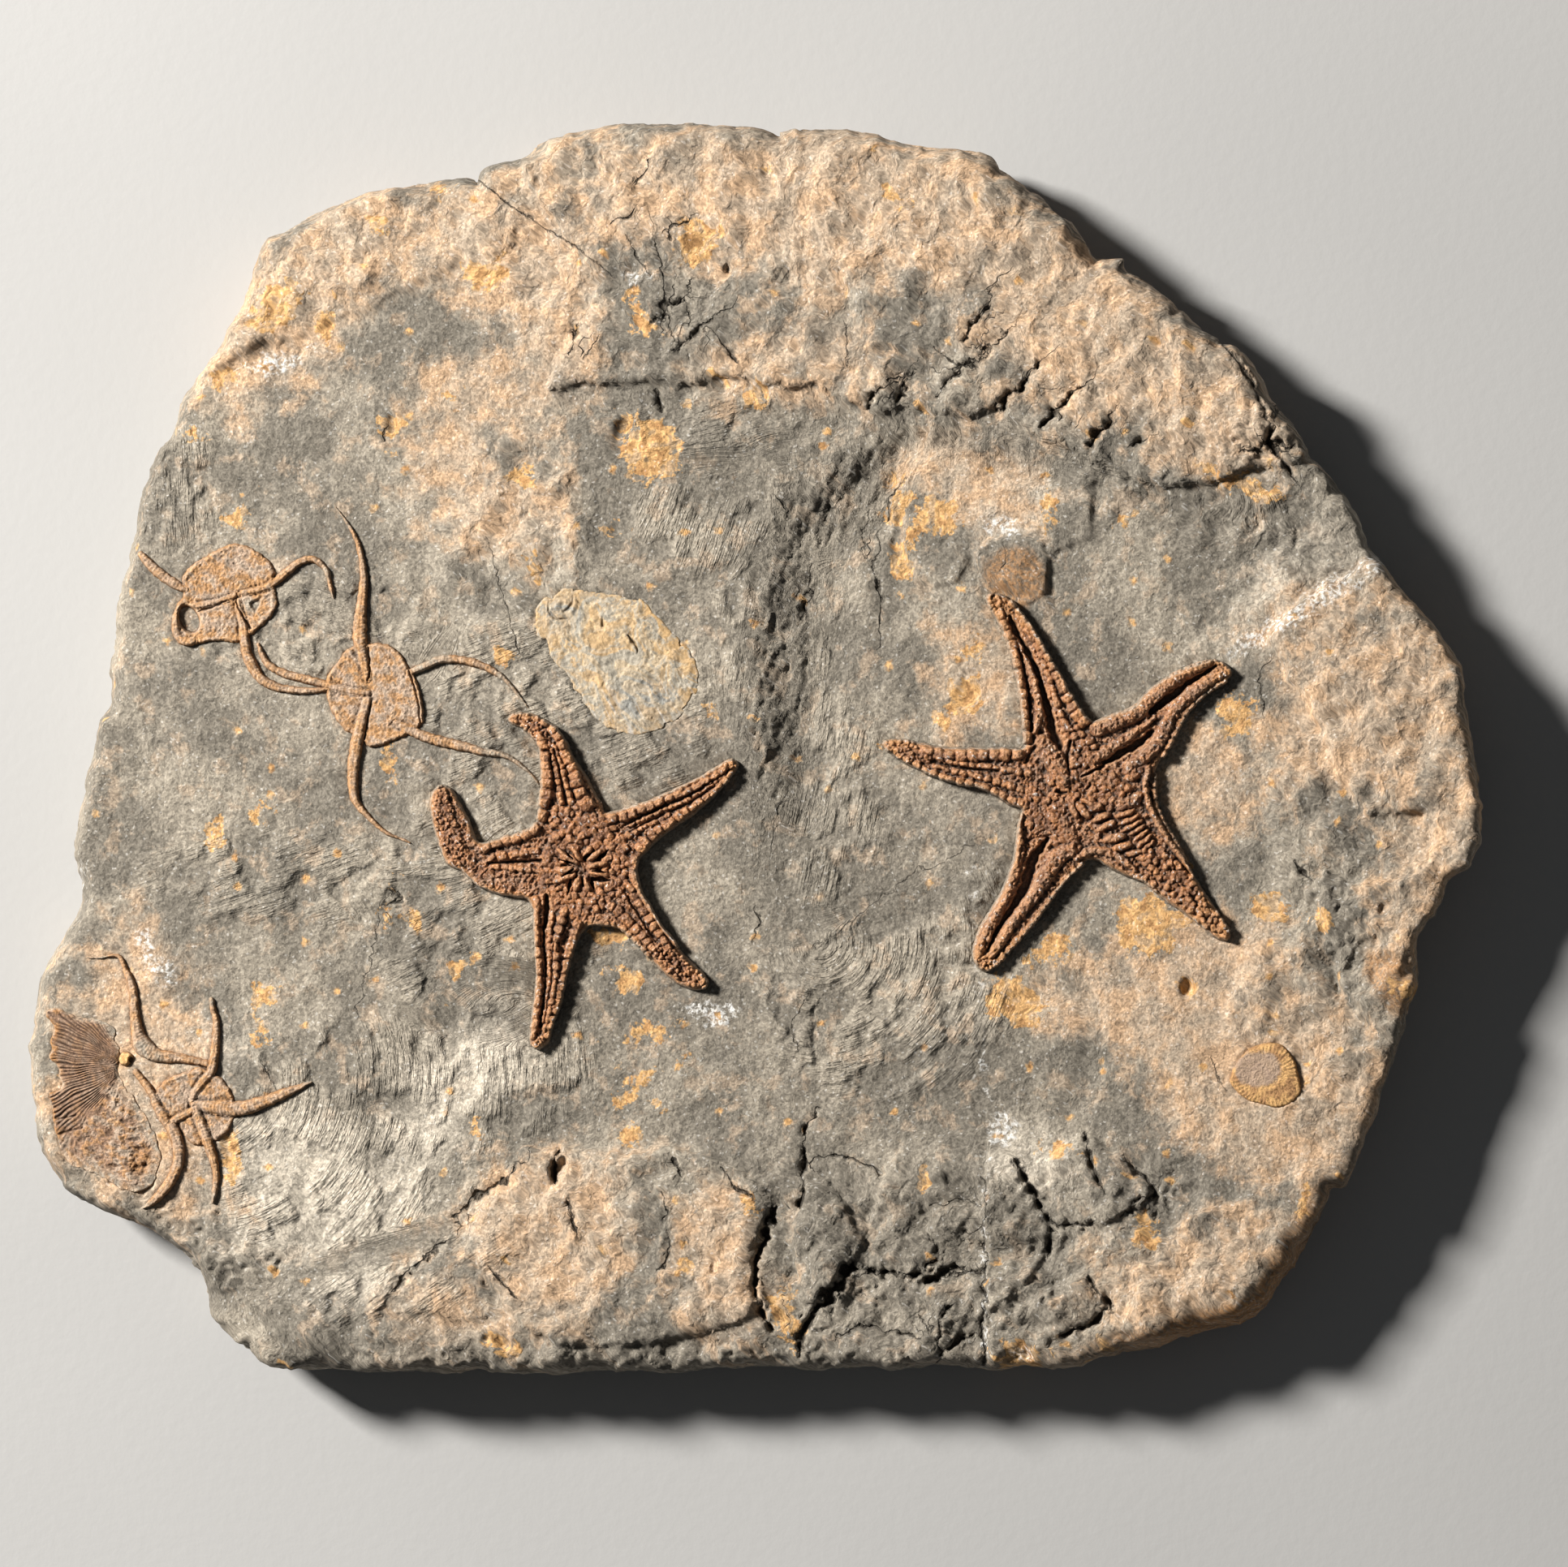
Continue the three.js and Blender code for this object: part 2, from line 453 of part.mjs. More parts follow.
function slab(beds) {
  const plates = [
    plate(UPPER_PLATE_OUTLINE, UPPER_PLATE),
    plate(UPPER_STEP_OUTLINE, UPPER_PLATE + 0.9),
    plate(LEFT_TERRACE_OUTLINE, 1),
    plate(RIGHT_PLATE_OUTLINE, RIGHT_PLATE),
    plate(LOWER_LEFT_PLATE_OUTLINE, LOWER_PLATE),
    plate(LOWER_RIGHT_PLATE_OUTLINE, LOWER_PLATE),
    plate(TAN_PLATE_OUTLINE, 0.9),
    plate(BROWN_PLATE_OUTLINE, 1.7),
  ];
  const lumps = LUMPS.map(([x, y, radius, height]) => {
    const rest = upperPlateAt(x, y) * UPPER_PLATE;
    return cushion([x, y], radius, height + 1, FACE + rest - 1);
  });
  const inside = trimmer();
  let stone = rawSlab();
  for (const piece of plates) stone = stone.add(piece.intersect(inside));
  for (const lump of lumps) stone = stone.add(lump);
  stone = stone.subtract(furrow(HOLLOW_ROUTE, HOLLOW));
  for (const [from, to, half, depth] of CHISEL_MARKS) {
    stone = stone.subtract(furrow([[...from, half * 0.4], [...to, half]], depth));
  }
  for (const [route, depth] of CRACKS) stone = stone.subtract(furrow(route, depth));
  for (const [x, y, radius, depth] of PITS) {
    stone = stone.subtract(cushion([x, y], radius, depth, FACE));
  }
  for (const flake of rimFlakes()) stone = stone.subtract(flake);
  for (const bed of beds) stone = stone.subtract(bed);
  return largestOf(stone);
}

function largestOf(body) {
  return body.decompose().reduce((best, part) => (part.volume() > best.volume() ? part : best));
}

// ---- starfish --------------------------------------------------------------------------------

/** An arm's route carried on from its root to the ring of mouth plates. */
function routeToMouth(route, [cx, cy]) {
  const [rootX, rootY, rootHalf] = route[route.length - 1];
  const reach = Math.hypot(rootX - cx, rootY - cy);
  const ends = [0.62, 0.3].map((share) => [
    cx + (rootX - cx) * share, cy + (rootY - cy) * share,
    Math.min(rootHalf, reach * share * Math.tan(Math.PI / 5) * 1.08),
  ]);
  return [...route, ...ends];
}

// Across an arm: place, as a share of the half width, and height, as a share of the relief.
const GROOVED_SECTION = [
  [-1, 0.35], [-0.8, 1], [-0.5, 0.82], [-0.27, 0.97], [0, 0],
  [0.27, 0.97], [0.5, 0.82], [0.8, 1], [1, 0.35],
];
const DOMED_SECTION = [
  [-1, 0.3], [-0.84, 0.7], [-0.5, 0.94], [-0.25, 1.06], [0, 1],
  [0.25, 1.06], [0.5, 0.94], [0.84, 0.7], [1, 0.3],
];

/** An arm's whole route: a folded arm stops at its fold, and any other runs to the mouth. */
function armRoute({ folded, route }, { centre }) {
  return folded ? route : routeToMouth(route, centre);
}

function starfishArm(arm, star) {
  const { groove } = arm;
  const spine = smoothRoute(armRoute(arm, star));
  const section = groove > 0 ? GROOVED_SECTION : DOMED_SECTION;
  const rings = [];
  for (let r = 0; r < RINGS_PER_ARM; r++) {
    const t = r / (RINGS_PER_ARM - 1);
    const { x, y, half, across } = pointOn(spine, t);
    const swell = Math.min(1, 0.45 + half / 4) * (r % 2 ? 1.05 : 0.92);
    const ring = section.map(([share, rise]) => {
      const [px, py] = [x + across.x * half * share, y + across.y * half * share];
      const level = rise === 0 ? STAR_RELIEF - groove : STAR_RELIEF * rise;
      return new THREE.Vector3(px, py, FACE + level * swell);
    });
    const [first, last] = [ring[0], ring[ring.length - 1]];
    const foot = BED + CLEARANCE;
    ring.push(new THREE.Vector3(last.x, last.y, foot), new THREE.Vector3(first.x, first.y, foot));
    rings.push(ring);
  }
  return loft(rings);
}

/** Ten petal-like plates round the mouth, as one ring of wedges on a low boss. */
function mouthFlower([cx, cy]) {
  const sides = 20;
  const levels = [[1, 0.25], [0.8, 0.62], [0.55, 0.9], [0.2, 0.72]];
  const ringAt = (share, rise, ridge) => Array.from({ length: sides }, (_, i) => {
    const angle = (i / sides) * Math.PI * 2 + 0.2;
    const radius = MOUTH_RADIUS * share;
    const [x, y] = [cx + Math.cos(angle) * radius, cy + Math.sin(angle) * radius];
    const lift = i % 2 ? ridge : -ridge;
    return new THREE.Vector3(x, y, FACE + STAR_RELIEF * rise + lift);
  });
  const foot = ringAt(1, 0, 0).map((point) => point.setZ(BED + CLEARANCE));
  return loft([foot, ...levels.map(([share, rise], i) => ringAt(share, rise, i ? 0.35 : 0))]);
}

function starfish(star) {
  const disc = Array.from({ length: 15 }, (_, i) => {
    const angle = (i / 15) * Math.PI * 2;
    const [cx, cy] = star.centre;
    return [cx + Math.cos(angle) * star.discRadius * 0.8, cy + Math.sin(angle) * star.discRadius * 0.8];
  });
  const pieces = star.arms.map((arm) => starfishArm(arm, star));
  const discTop = FACE + STAR_RELIEF * 0.62;
  return largestOf([...pieces, mouthFlower(star.centre)]
    .reduce((body, piece) => body.add(piece), prism(disc, BED + CLEARANCE, discTop)));
}

/** The bed that a starfish sits in: its plan, wider by the clearance. */
function starfishBeds(star) {
  const arms = star.arms.map((arm) => ribbon(armRoute(arm, star), RINGS_PER_ARM - 1));
  const [cx, cy] = star.centre;
  const reach = star.discRadius * 0.8 + CLEARANCE;
  const disc = Array.from({ length: 15 }, (_, i) => {
    const angle = (i / 15) * Math.PI * 2;
    return [cx + Math.cos(angle) * reach, cy + Math.sin(angle) * reach];
  });
  return [...arms, prism(disc, BED, FACE + 12)];
}

/** An upright cutter along a route in steps, wider by the clearance on each side and past each end. */
function ribbon(route, steps) {
  const spine = smoothRoute(route);
  const rings = [];
  for (let i = 0; i <= steps; i++) {
    const { x, y, half, across } = pointOn(spine, i / steps);
    const along = new THREE.Vector2(across.y, -across.x);
    const push = i === 0 ? -CLEARANCE * 1.3 : i === steps ? CLEARANCE * 1.3 : 0;
    const wide = half + CLEARANCE * 1.15;
    const [px, py] = [x + along.x * push, y + along.y * push];
    rings.push([
      new THREE.Vector3(px - across.x * wide, py - across.y * wide, BED),
      new THREE.Vector3(px + across.x * wide, py + across.y * wide, BED),
      new THREE.Vector3(px + across.x * wide, py + across.y * wide, FACE + 12),
      new THREE.Vector3(px - across.x * wide, py - across.y * wide, FACE + 12),
    ]);
  }
  return loft(rings);
}

// ---- brittle stars ---------------------------------------------------------------------------

/** A disc over an outline: a low crown with a raised rim. */
function domedDisc(outline, [cx, cy], relief) {
  const ringAt = (share, z) => outline.map(([x, y]) => (
    new THREE.Vector3(cx + (x - cx) * share, cy + (y - cy) * share, z)
  ));
  return loft([
    ringAt(1, FACE + CLEARANCE), ringAt(0.94, FACE + relief * 0.85),
    ringAt(0.55, FACE + relief * 0.7), ringAt(0.2, FACE + relief),
  ]);
}

function thinArm(route) {
  const spine = smoothRoute(route);
  const section = [[-1, 0], [-0.45, 1], [0.45, 1], [1, 0]];
  const rings = [];
  for (let r = 0; r < RINGS_PER_THIN_ARM; r++) {
    const { x, y, half, across } = pointOn(spine, r / (RINGS_PER_THIN_ARM - 1));
    const relief = BRITTLE_RELIEF * Math.min(1.2, 0.35 + half * 0.5);
    rings.push(section.map(([share, rise]) => {
      const [px, py] = [x + across.x * half * share, y + across.y * half * share];
      return new THREE.Vector3(px, py, FACE + CLEARANCE + relief * rise);
    }));
  }
  return loft(rings);
}

function brittleStar(star) {
  let body = domedDisc(star.disc, star.centre, BRITTLE_RELIEF * 0.8);
  if (star.hollow) {
    const { at: [x, y], radii: [across, along], turn, depth } = star.hollow;
    const geometry = new THREE.SphereGeometry(1, 12, 6);
    geometry.rotateX(Math.PI / 2).scale(across, along, depth);
    geometry.rotateZ(turn).translate(x, y, FACE + 1);
    body = body.subtract(solid(geometry));
  }
  for (const route of star.arms) body = body.add(thinArm(route));
  return largestOf(body);
}

// ---- shells ----------------------------------------------------------------------------------

/** The fan's plan as bearings and reaches, spread so that each rib has a crest and a valley. */
function fanSpread() {
  const [first, last] = [FAN.rim[0][0], FAN.rim[FAN.rim.length - 1][0]];
  const count = FAN.ribs * 2;
  return Array.from({ length: count + 1 }, (_, i) => {
    const bearing = first + ((last - first) * i) / count;
    const after = Math.max(1, FAN.rim.findIndex(([angle]) => angle >= bearing));
    const [[a, near], [b, far]] = [FAN.rim[after - 1], FAN.rim[after]];
    return { angle: THREE.MathUtils.degToRad(bearing), reach: near + ((far - near) * (bearing - a)) / (b - a) };
  });
}

function fanFossil() {
  const [hx, hy] = FAN.hinge;
  const spread = fanSpread();
  const ringAt = (share, rise, rib) => {
    const ring = spread.map(({ angle, reach }, i) => {
      const [x, y] = [hx + Math.cos(angle) * reach * share, hy + Math.sin(angle) * reach * share];
      return new THREE.Vector3(x, y, FACE + rise + (i % 2 ? rib : 0));
    });
    ring.push(new THREE.Vector3(hx, hy, FACE + rise));
    return ring;
  };
  const fan = loft([
    ringAt(1, CLEARANCE, 0), ringAt(0.95, FAN.relief, 0.5),
    ringAt(0.5, FAN.relief * 0.8, 0.3), ringAt(0.2, FAN.relief * 0.7, 0),
  ]);
  const { at: [x, y], radius, height } = FAN.boss;
  const boss = cushion([x, y], radius, height, FACE + CLEARANCE);
  const below = prism(roundOutline({ centre: [x, y], radius: radius * 2, sides: 8 }), BED, FACE + CLEARANCE);
  return fan.add(boss.subtract(below));
}

function middleOfOutline(outline) {
  const sum = outline.reduce(([sx, sy], [x, y]) => [sx + x, sy + y], [0, 0]);
  return sum.map((total) => total / outline.length);
}

function roundOutline({ centre: [cx, cy], radius, sides }) {
  return Array.from({ length: sides }, (_, i) => {
    const angle = (i / sides) * Math.PI * 2;
    return [cx + Math.cos(angle) * radius, cy + Math.sin(angle) * radius];
  });
}

/** A shell over an outline, its crown raised by relief. */
function lowShell(outline, relief) {
  return domedDisc(outline, middleOfOutline(outline), relief);
}

// ---- assembly --------------------------------------------------------------------------------

function meshOf(body, name, finish) {
  const { vertProperties, triVerts } = body.getMesh();
  const geometry = new THREE.BufferGeometry();
  geometry.setAttribute('position', new THREE.BufferAttribute(vertProperties, 3));
  geometry.setIndex(new THREE.BufferAttribute(triVerts, 1));
  const mesh = new THREE.Mesh(geometry, new THREE.MeshStandardMaterial(finish));
  mesh.name = name;
  return mesh;
}

const beds = [LEFT_STARFISH, RIGHT_STARFISH].flatMap(starfishBeds);
const fossilSlab = new THREE.Group();
fossilSlab.add(
  meshOf(slab(beds), 'slab', STONE),
  meshOf(starfish(LEFT_STARFISH), 'starfish_left', STARFISH_PLATE),
  meshOf(starfish(RIGHT_STARFISH), 'starfish_right', STARFISH_PLATE),
  meshOf(brittleStar(UPPER_BRITTLE_STAR), 'brittle_star_upper', BRITTLE_PLATE),
  meshOf(brittleStar(MIDDLE_BRITTLE_STAR), 'brittle_star_middle', BRITTLE_PLATE),
  meshOf(brittleStar(LOWER_BRITTLE_STAR), 'brittle_star_lower', BRITTLE_PLATE),
  meshOf(fanFossil(), 'fan_fossil', OCHRE_SHELL),
  meshOf(lowShell(OVAL_SHELL_OUTLINE, 1.2), 'oval_shell', PALE_SHELL),
  meshOf(lowShell(roundOutline(ROUND_SHELL), 1.4), 'round_shell', OCHRE_SHELL),
);

export default fossilSlab;
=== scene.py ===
"""Dresses a slab of stone with fossil starfish, brittle stars and shells in relief on its face."""

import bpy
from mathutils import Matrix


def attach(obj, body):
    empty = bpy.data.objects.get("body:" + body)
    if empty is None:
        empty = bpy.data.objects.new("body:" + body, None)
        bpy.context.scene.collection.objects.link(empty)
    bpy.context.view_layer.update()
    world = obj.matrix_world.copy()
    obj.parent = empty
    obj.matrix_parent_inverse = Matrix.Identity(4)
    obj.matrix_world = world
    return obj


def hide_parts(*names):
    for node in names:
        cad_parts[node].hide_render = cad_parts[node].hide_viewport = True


bl_info = {
    "name": "Fossil starfish slab",
    "version": (1, 0, 0),
    "blender": (4, 5, 0),
    "location": "View3D > Sidebar > Fossil slab",
    "description": "Builds the stone, the fossils on its face and the stage that shows them",
    "category": "Add Mesh",
}

import math
from functools import lru_cache

import bpy
import numpy as np
from bpy.props import FloatProperty, FloatVectorProperty, PointerProperty
from mathutils import Vector
from mathutils.geometry import delaunay_2d_cdt

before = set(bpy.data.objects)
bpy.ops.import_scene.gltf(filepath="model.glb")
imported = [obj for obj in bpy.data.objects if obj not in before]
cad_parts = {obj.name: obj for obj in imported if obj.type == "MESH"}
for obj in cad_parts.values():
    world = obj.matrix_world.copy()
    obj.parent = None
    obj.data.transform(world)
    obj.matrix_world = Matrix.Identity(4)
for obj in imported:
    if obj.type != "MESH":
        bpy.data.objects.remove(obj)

# Lengths in the lists and functions below are in millimetres, and meshes are made in metres.
MM = 0.001
FACE = 25.0  # height of the slab's face above its underside
FOSSIL_TOP = 30.05  # no fossil stands higher than this

# A drawing sheet: where its upper left corner lies on the slab, and the size of its unit.
WHOLE = (-186.2, 184.1, 0.2)
LEFT = (-84.2, 12.1, 0.057405)
LEFT_MOUTH = (-62.2, -7.9, 0.028062)
RIGHT = (27.8, 42.1, 0.063776)
RIGHT_MIDDLE = (53.8, 8.1, 0.031888)
UPPER = (-156.2, 62.1, 0.034441)
MIDDLE = (-110.2, 62.1, 0.057405)
LOWER = (-180.2, -47.9, 0.047192)
OVAL = (-62.2, 46.1, 0.033167)
ROUND = (107.8, -63.9, 0.021692)


# ---- the slab's plan ---------------------------------------------------------------------------

SLAB_OUTLINE = [
    (-159, 23), (-157, 41), (-154, 52), (-151, 66), (-146, 77), (-143, 84), (-140, 89), (-134, 97),
    (-128, 108), (-124, 118), (-121, 125), (-116, 128), (-109, 132), (-99, 136), (-92, 138),
    (-81, 140), (-71, 141), (-69, 140), (-67, 143), (-58, 146), (-54, 149), (-50, 151), (-39, 153),
    (-24, 155), (-11, 154), (2, 153), (6, 152), (8, 153), (28, 152), (38, 149), (56, 147), (62, 142),
    (72, 135), (80, 128), (84, 122), (86, 121), (91, 121), (92, 118), (100, 113), (110, 104),
    (118, 99), (123, 95), (128, 86), (133, 80), (138, 73), (147, 60), (153, 49), (161, 38),
    (173, 23), (175, 17), (178, -1), (180, -16), (179, -25), (177, -30), (172, -33), (169, -41),
    (166, -44), (164, -50), (164, -58), (161, -67), (157, -81), (154, -90), (149, -101), (146, -109),
    (143, -110), (140, -116), (134, -128), (127, -139), (121, -143), (110, -146), (99, -149),
    (84, -152), (77, -154), (55, -154), (23, -154), (-4, -154), (-31, -155), (-66, -155),
    (-105, -155), (-117, -154), (-125, -150), (-134, -142), (-136, -135), (-140, -128),
    (-148, -120), (-153, -118), (-161, -115), (-170, -110), (-175, -102), (-178, -94), (-180, -77),
    (-179, -70), (-177, -57), (-172, -48), (-167, -36), (-168, -30), (-169, -22), (-165, -6),
    (-161, 12),
]

# Bedding plates left standing on the face: outline, rise, width of the broken edge, raggedness.
PLATES = [
    # along the top edge
    ([(631, 70), (651, 231), (700, 291), (740, 350), (720, 400), (690, 440), (676, 482), (725, 473),
      (774, 475), (814, 471), (859, 473), (890, 464), (979, 480), (1002, 471), (1024, 488),
      (1062, 504), (1080, 511), (1113, 502), (1194, 515), (1225, 502), (1270, 540), (1300, 546),
      (1396, 595), (1452, 600), (1503, 595), (1527, 581), (1600, 570), (1700, 480), (1550, 150),
      (1100, 0)], 1.5, 1.0, 0.8),
    # a second layer on it
    ([(1000, 60), (960, 240), (1040, 330), (1060, 420), (1150, 440), (1230, 410), (1350, 490),
      (1440, 540), (1600, 540), (1700, 480), (1550, 150)], 0.7, 2.5, 2.2),
    # the terrace at the upper left
    ([(180, 490), (250, 462), (330, 430), (400, 400), (480, 370), (560, 330), (640, 300), (660, 220),
      (560, 100), (150, 200)], 0.7, 2.5, 1.6),
    # at the right-hand edge
    ([(1960, 600), (1690, 690), (1600, 740), (1560, 790), (1600, 850), (1631, 910), (1650, 960),
      (1680, 1000), (1750, 1000), (1763, 1020), (1756, 1055), (1723, 1085), (1660, 1090),
      (1630, 1070), (1605, 1100), (1640, 1150), (1650, 1215), (1690, 1265), (1730, 1300),
      (1960, 1340)], 1.5, 1.6, 1.2),
    # along the bottom edge: the broad stained one, its small neighbour, and the grey ones
    ([(647, 1412), (625, 1450), (598, 1477), (580, 1508), (574, 1539), (585, 1548), (603, 1579),
      (620, 1602), (634, 1624), (690, 1655), (800, 1655), (870, 1640), (915, 1622), (945, 1612),
      (934, 1575), (930, 1540), (938, 1510), (955, 1488), (940, 1460), (900, 1432), (830, 1412),
      (770, 1420), (730, 1412), (690, 1414)], 1.3, 1.1, 0.8),
    ([(576, 1544), (536, 1544), (504, 1557), (469, 1579), (442, 1602), (446, 1618), (491, 1617),
      (536, 1615), (562, 1629), (594, 1624), (616, 1615), (598, 1585)], 0.9, 1.4, 0.8),
    ([(991, 1450), (1029, 1468), (1046, 1495), (1062, 1530), (1051, 1553), (1024, 1580),
      (1002, 1602), (993, 1602), (984, 1575), (979, 1530), (979, 1508), (988, 1477)], 1.5, 0.9, 0.6),
    ([(1125, 1400), (1211, 1392), (1216, 1480), (1212, 1560), (1150, 1560), (1110, 1575),
      (1070, 1560), (1072, 1500), (1090, 1440)], 0.6, 1.4, 1.2),
    ([(1216, 1400), (1247, 1424), (1279, 1480), (1298, 1513), (1284, 1550), (1240, 1600),
      (1214, 1620), (1212, 1500)], 1.0, 1.2, 0.9),
    ([(1335, 1391), (1387, 1433), (1419, 1466), (1382, 1499), (1330, 1510), (1300, 1490),
      (1290, 1430)], 1.1, 1.2, 0.9),
    ([(1340, 1569), (1368, 1611), (1307, 1648), (1225, 1680), (1214, 1640), (1280, 1590)],
     1.0, 1.3, 1.0),
    # the tan plate above the right starfish, and the brown one at its corner
    ([(1159, 554), (1230, 540), (1300, 560), (1350, 590), (1340, 660), (1290, 690), (1290, 745),
      (1240, 720), (1196, 690), (1180, 720), (1128, 716), (1117, 687), (1103, 655), (1092, 632),
      (1094, 607), (1114, 593), (1124, 574), (1144, 568)], 0.8, 1.6, 0.9),
    ([(1196, 681), (1216, 664), (1250, 660), (1283, 668), (1290, 690), (1287, 730), (1266, 745),
      (1225, 722), (1203, 700)], 0.7, 0.9, 0.5),
    # a thin flake at the bottom right
    ([(1400, 1560), (1470, 1500), (1600, 1440), (1700, 1440), (1660, 1560), (1560, 1620),
      (1430, 1650), (1380, 1640)], 0.6, 2.0, 1.4),
]

# Hollows: middle line with half widths, depth, and the widths of the left and right flanks.
HOLLOWS = [
    ([(1118, 548, 5), (1070, 590, 9), (1015, 645, 10), (985, 710, 10), (978, 800, 10),
      (980, 900, 9), (990, 1010, 6)], 1.9, 1.0, 1.7),
    ([(700, 512, 5), (800, 506, 7), (900, 506, 7), (1000, 515, 7), (1100, 540, 7),
      (1220, 550, 7), (1320, 592, 6), (1420, 616, 6), (1500, 612, 4)], 0.5, 1, 1),
    ([(330, 1560, 12), (440, 1480, 16), (520, 1380, 16), (560, 1270, 12)], 0.9, 1, 1),
    ([(240, 1590, 8), (330, 1655, 8), (420, 1690, 8)], 2.0, 1, 1),
    ([(1250, 1235, 5), (1330, 1225, 6), (1345, 1300, 5), (1320, 1370, 4)], 0.7, 1, 1),
]

# Chisel marks: from, to, half width, depth.
CHISEL_MARKS = [
    ((754, 280), (796, 247), 0.9, 0.8), ((820, 294), (863, 263), 1.1, 1.1),
    ((800, 402), (861, 343), 1.2, 1.3), ((828, 434), (916, 366), 1.2, 1.3),
    ((716, 398), (703, 440), 1.2, 1.4), ((740, 410), (720, 446), 1.0, 1.2),
    ((1127, 446), (1064, 502), 1.2, 1.6), ((1130, 440), (1104, 500), 1.6, 2.0),
    ((1262, 386), (1150, 488), 1.2, 1.9), ((1305, 425), (1226, 506), 1.5, 2.4),
    ((1226, 358), (1184, 424), 1.6, 1.8), ((1354, 455), (1282, 528), 1.7, 2.6),
    ((1380, 500), (1338, 550), 1.6, 2.2), ((1426, 533), (1390, 554), 1.1, 1.2),
    ((1135, 464), (1118, 470), 0.9, 0.8), ((800, 255), (830, 420), 0.7, 0.6),
    ((876, 405), (910, 450), 0.9, 0.8), ((600, 1555), (640, 1600), 1.0, 0.8),
    ((560, 1500), (665, 1412), 1.6, 0.9), ((478, 1590), (585, 1500), 1.2, 0.8),
]

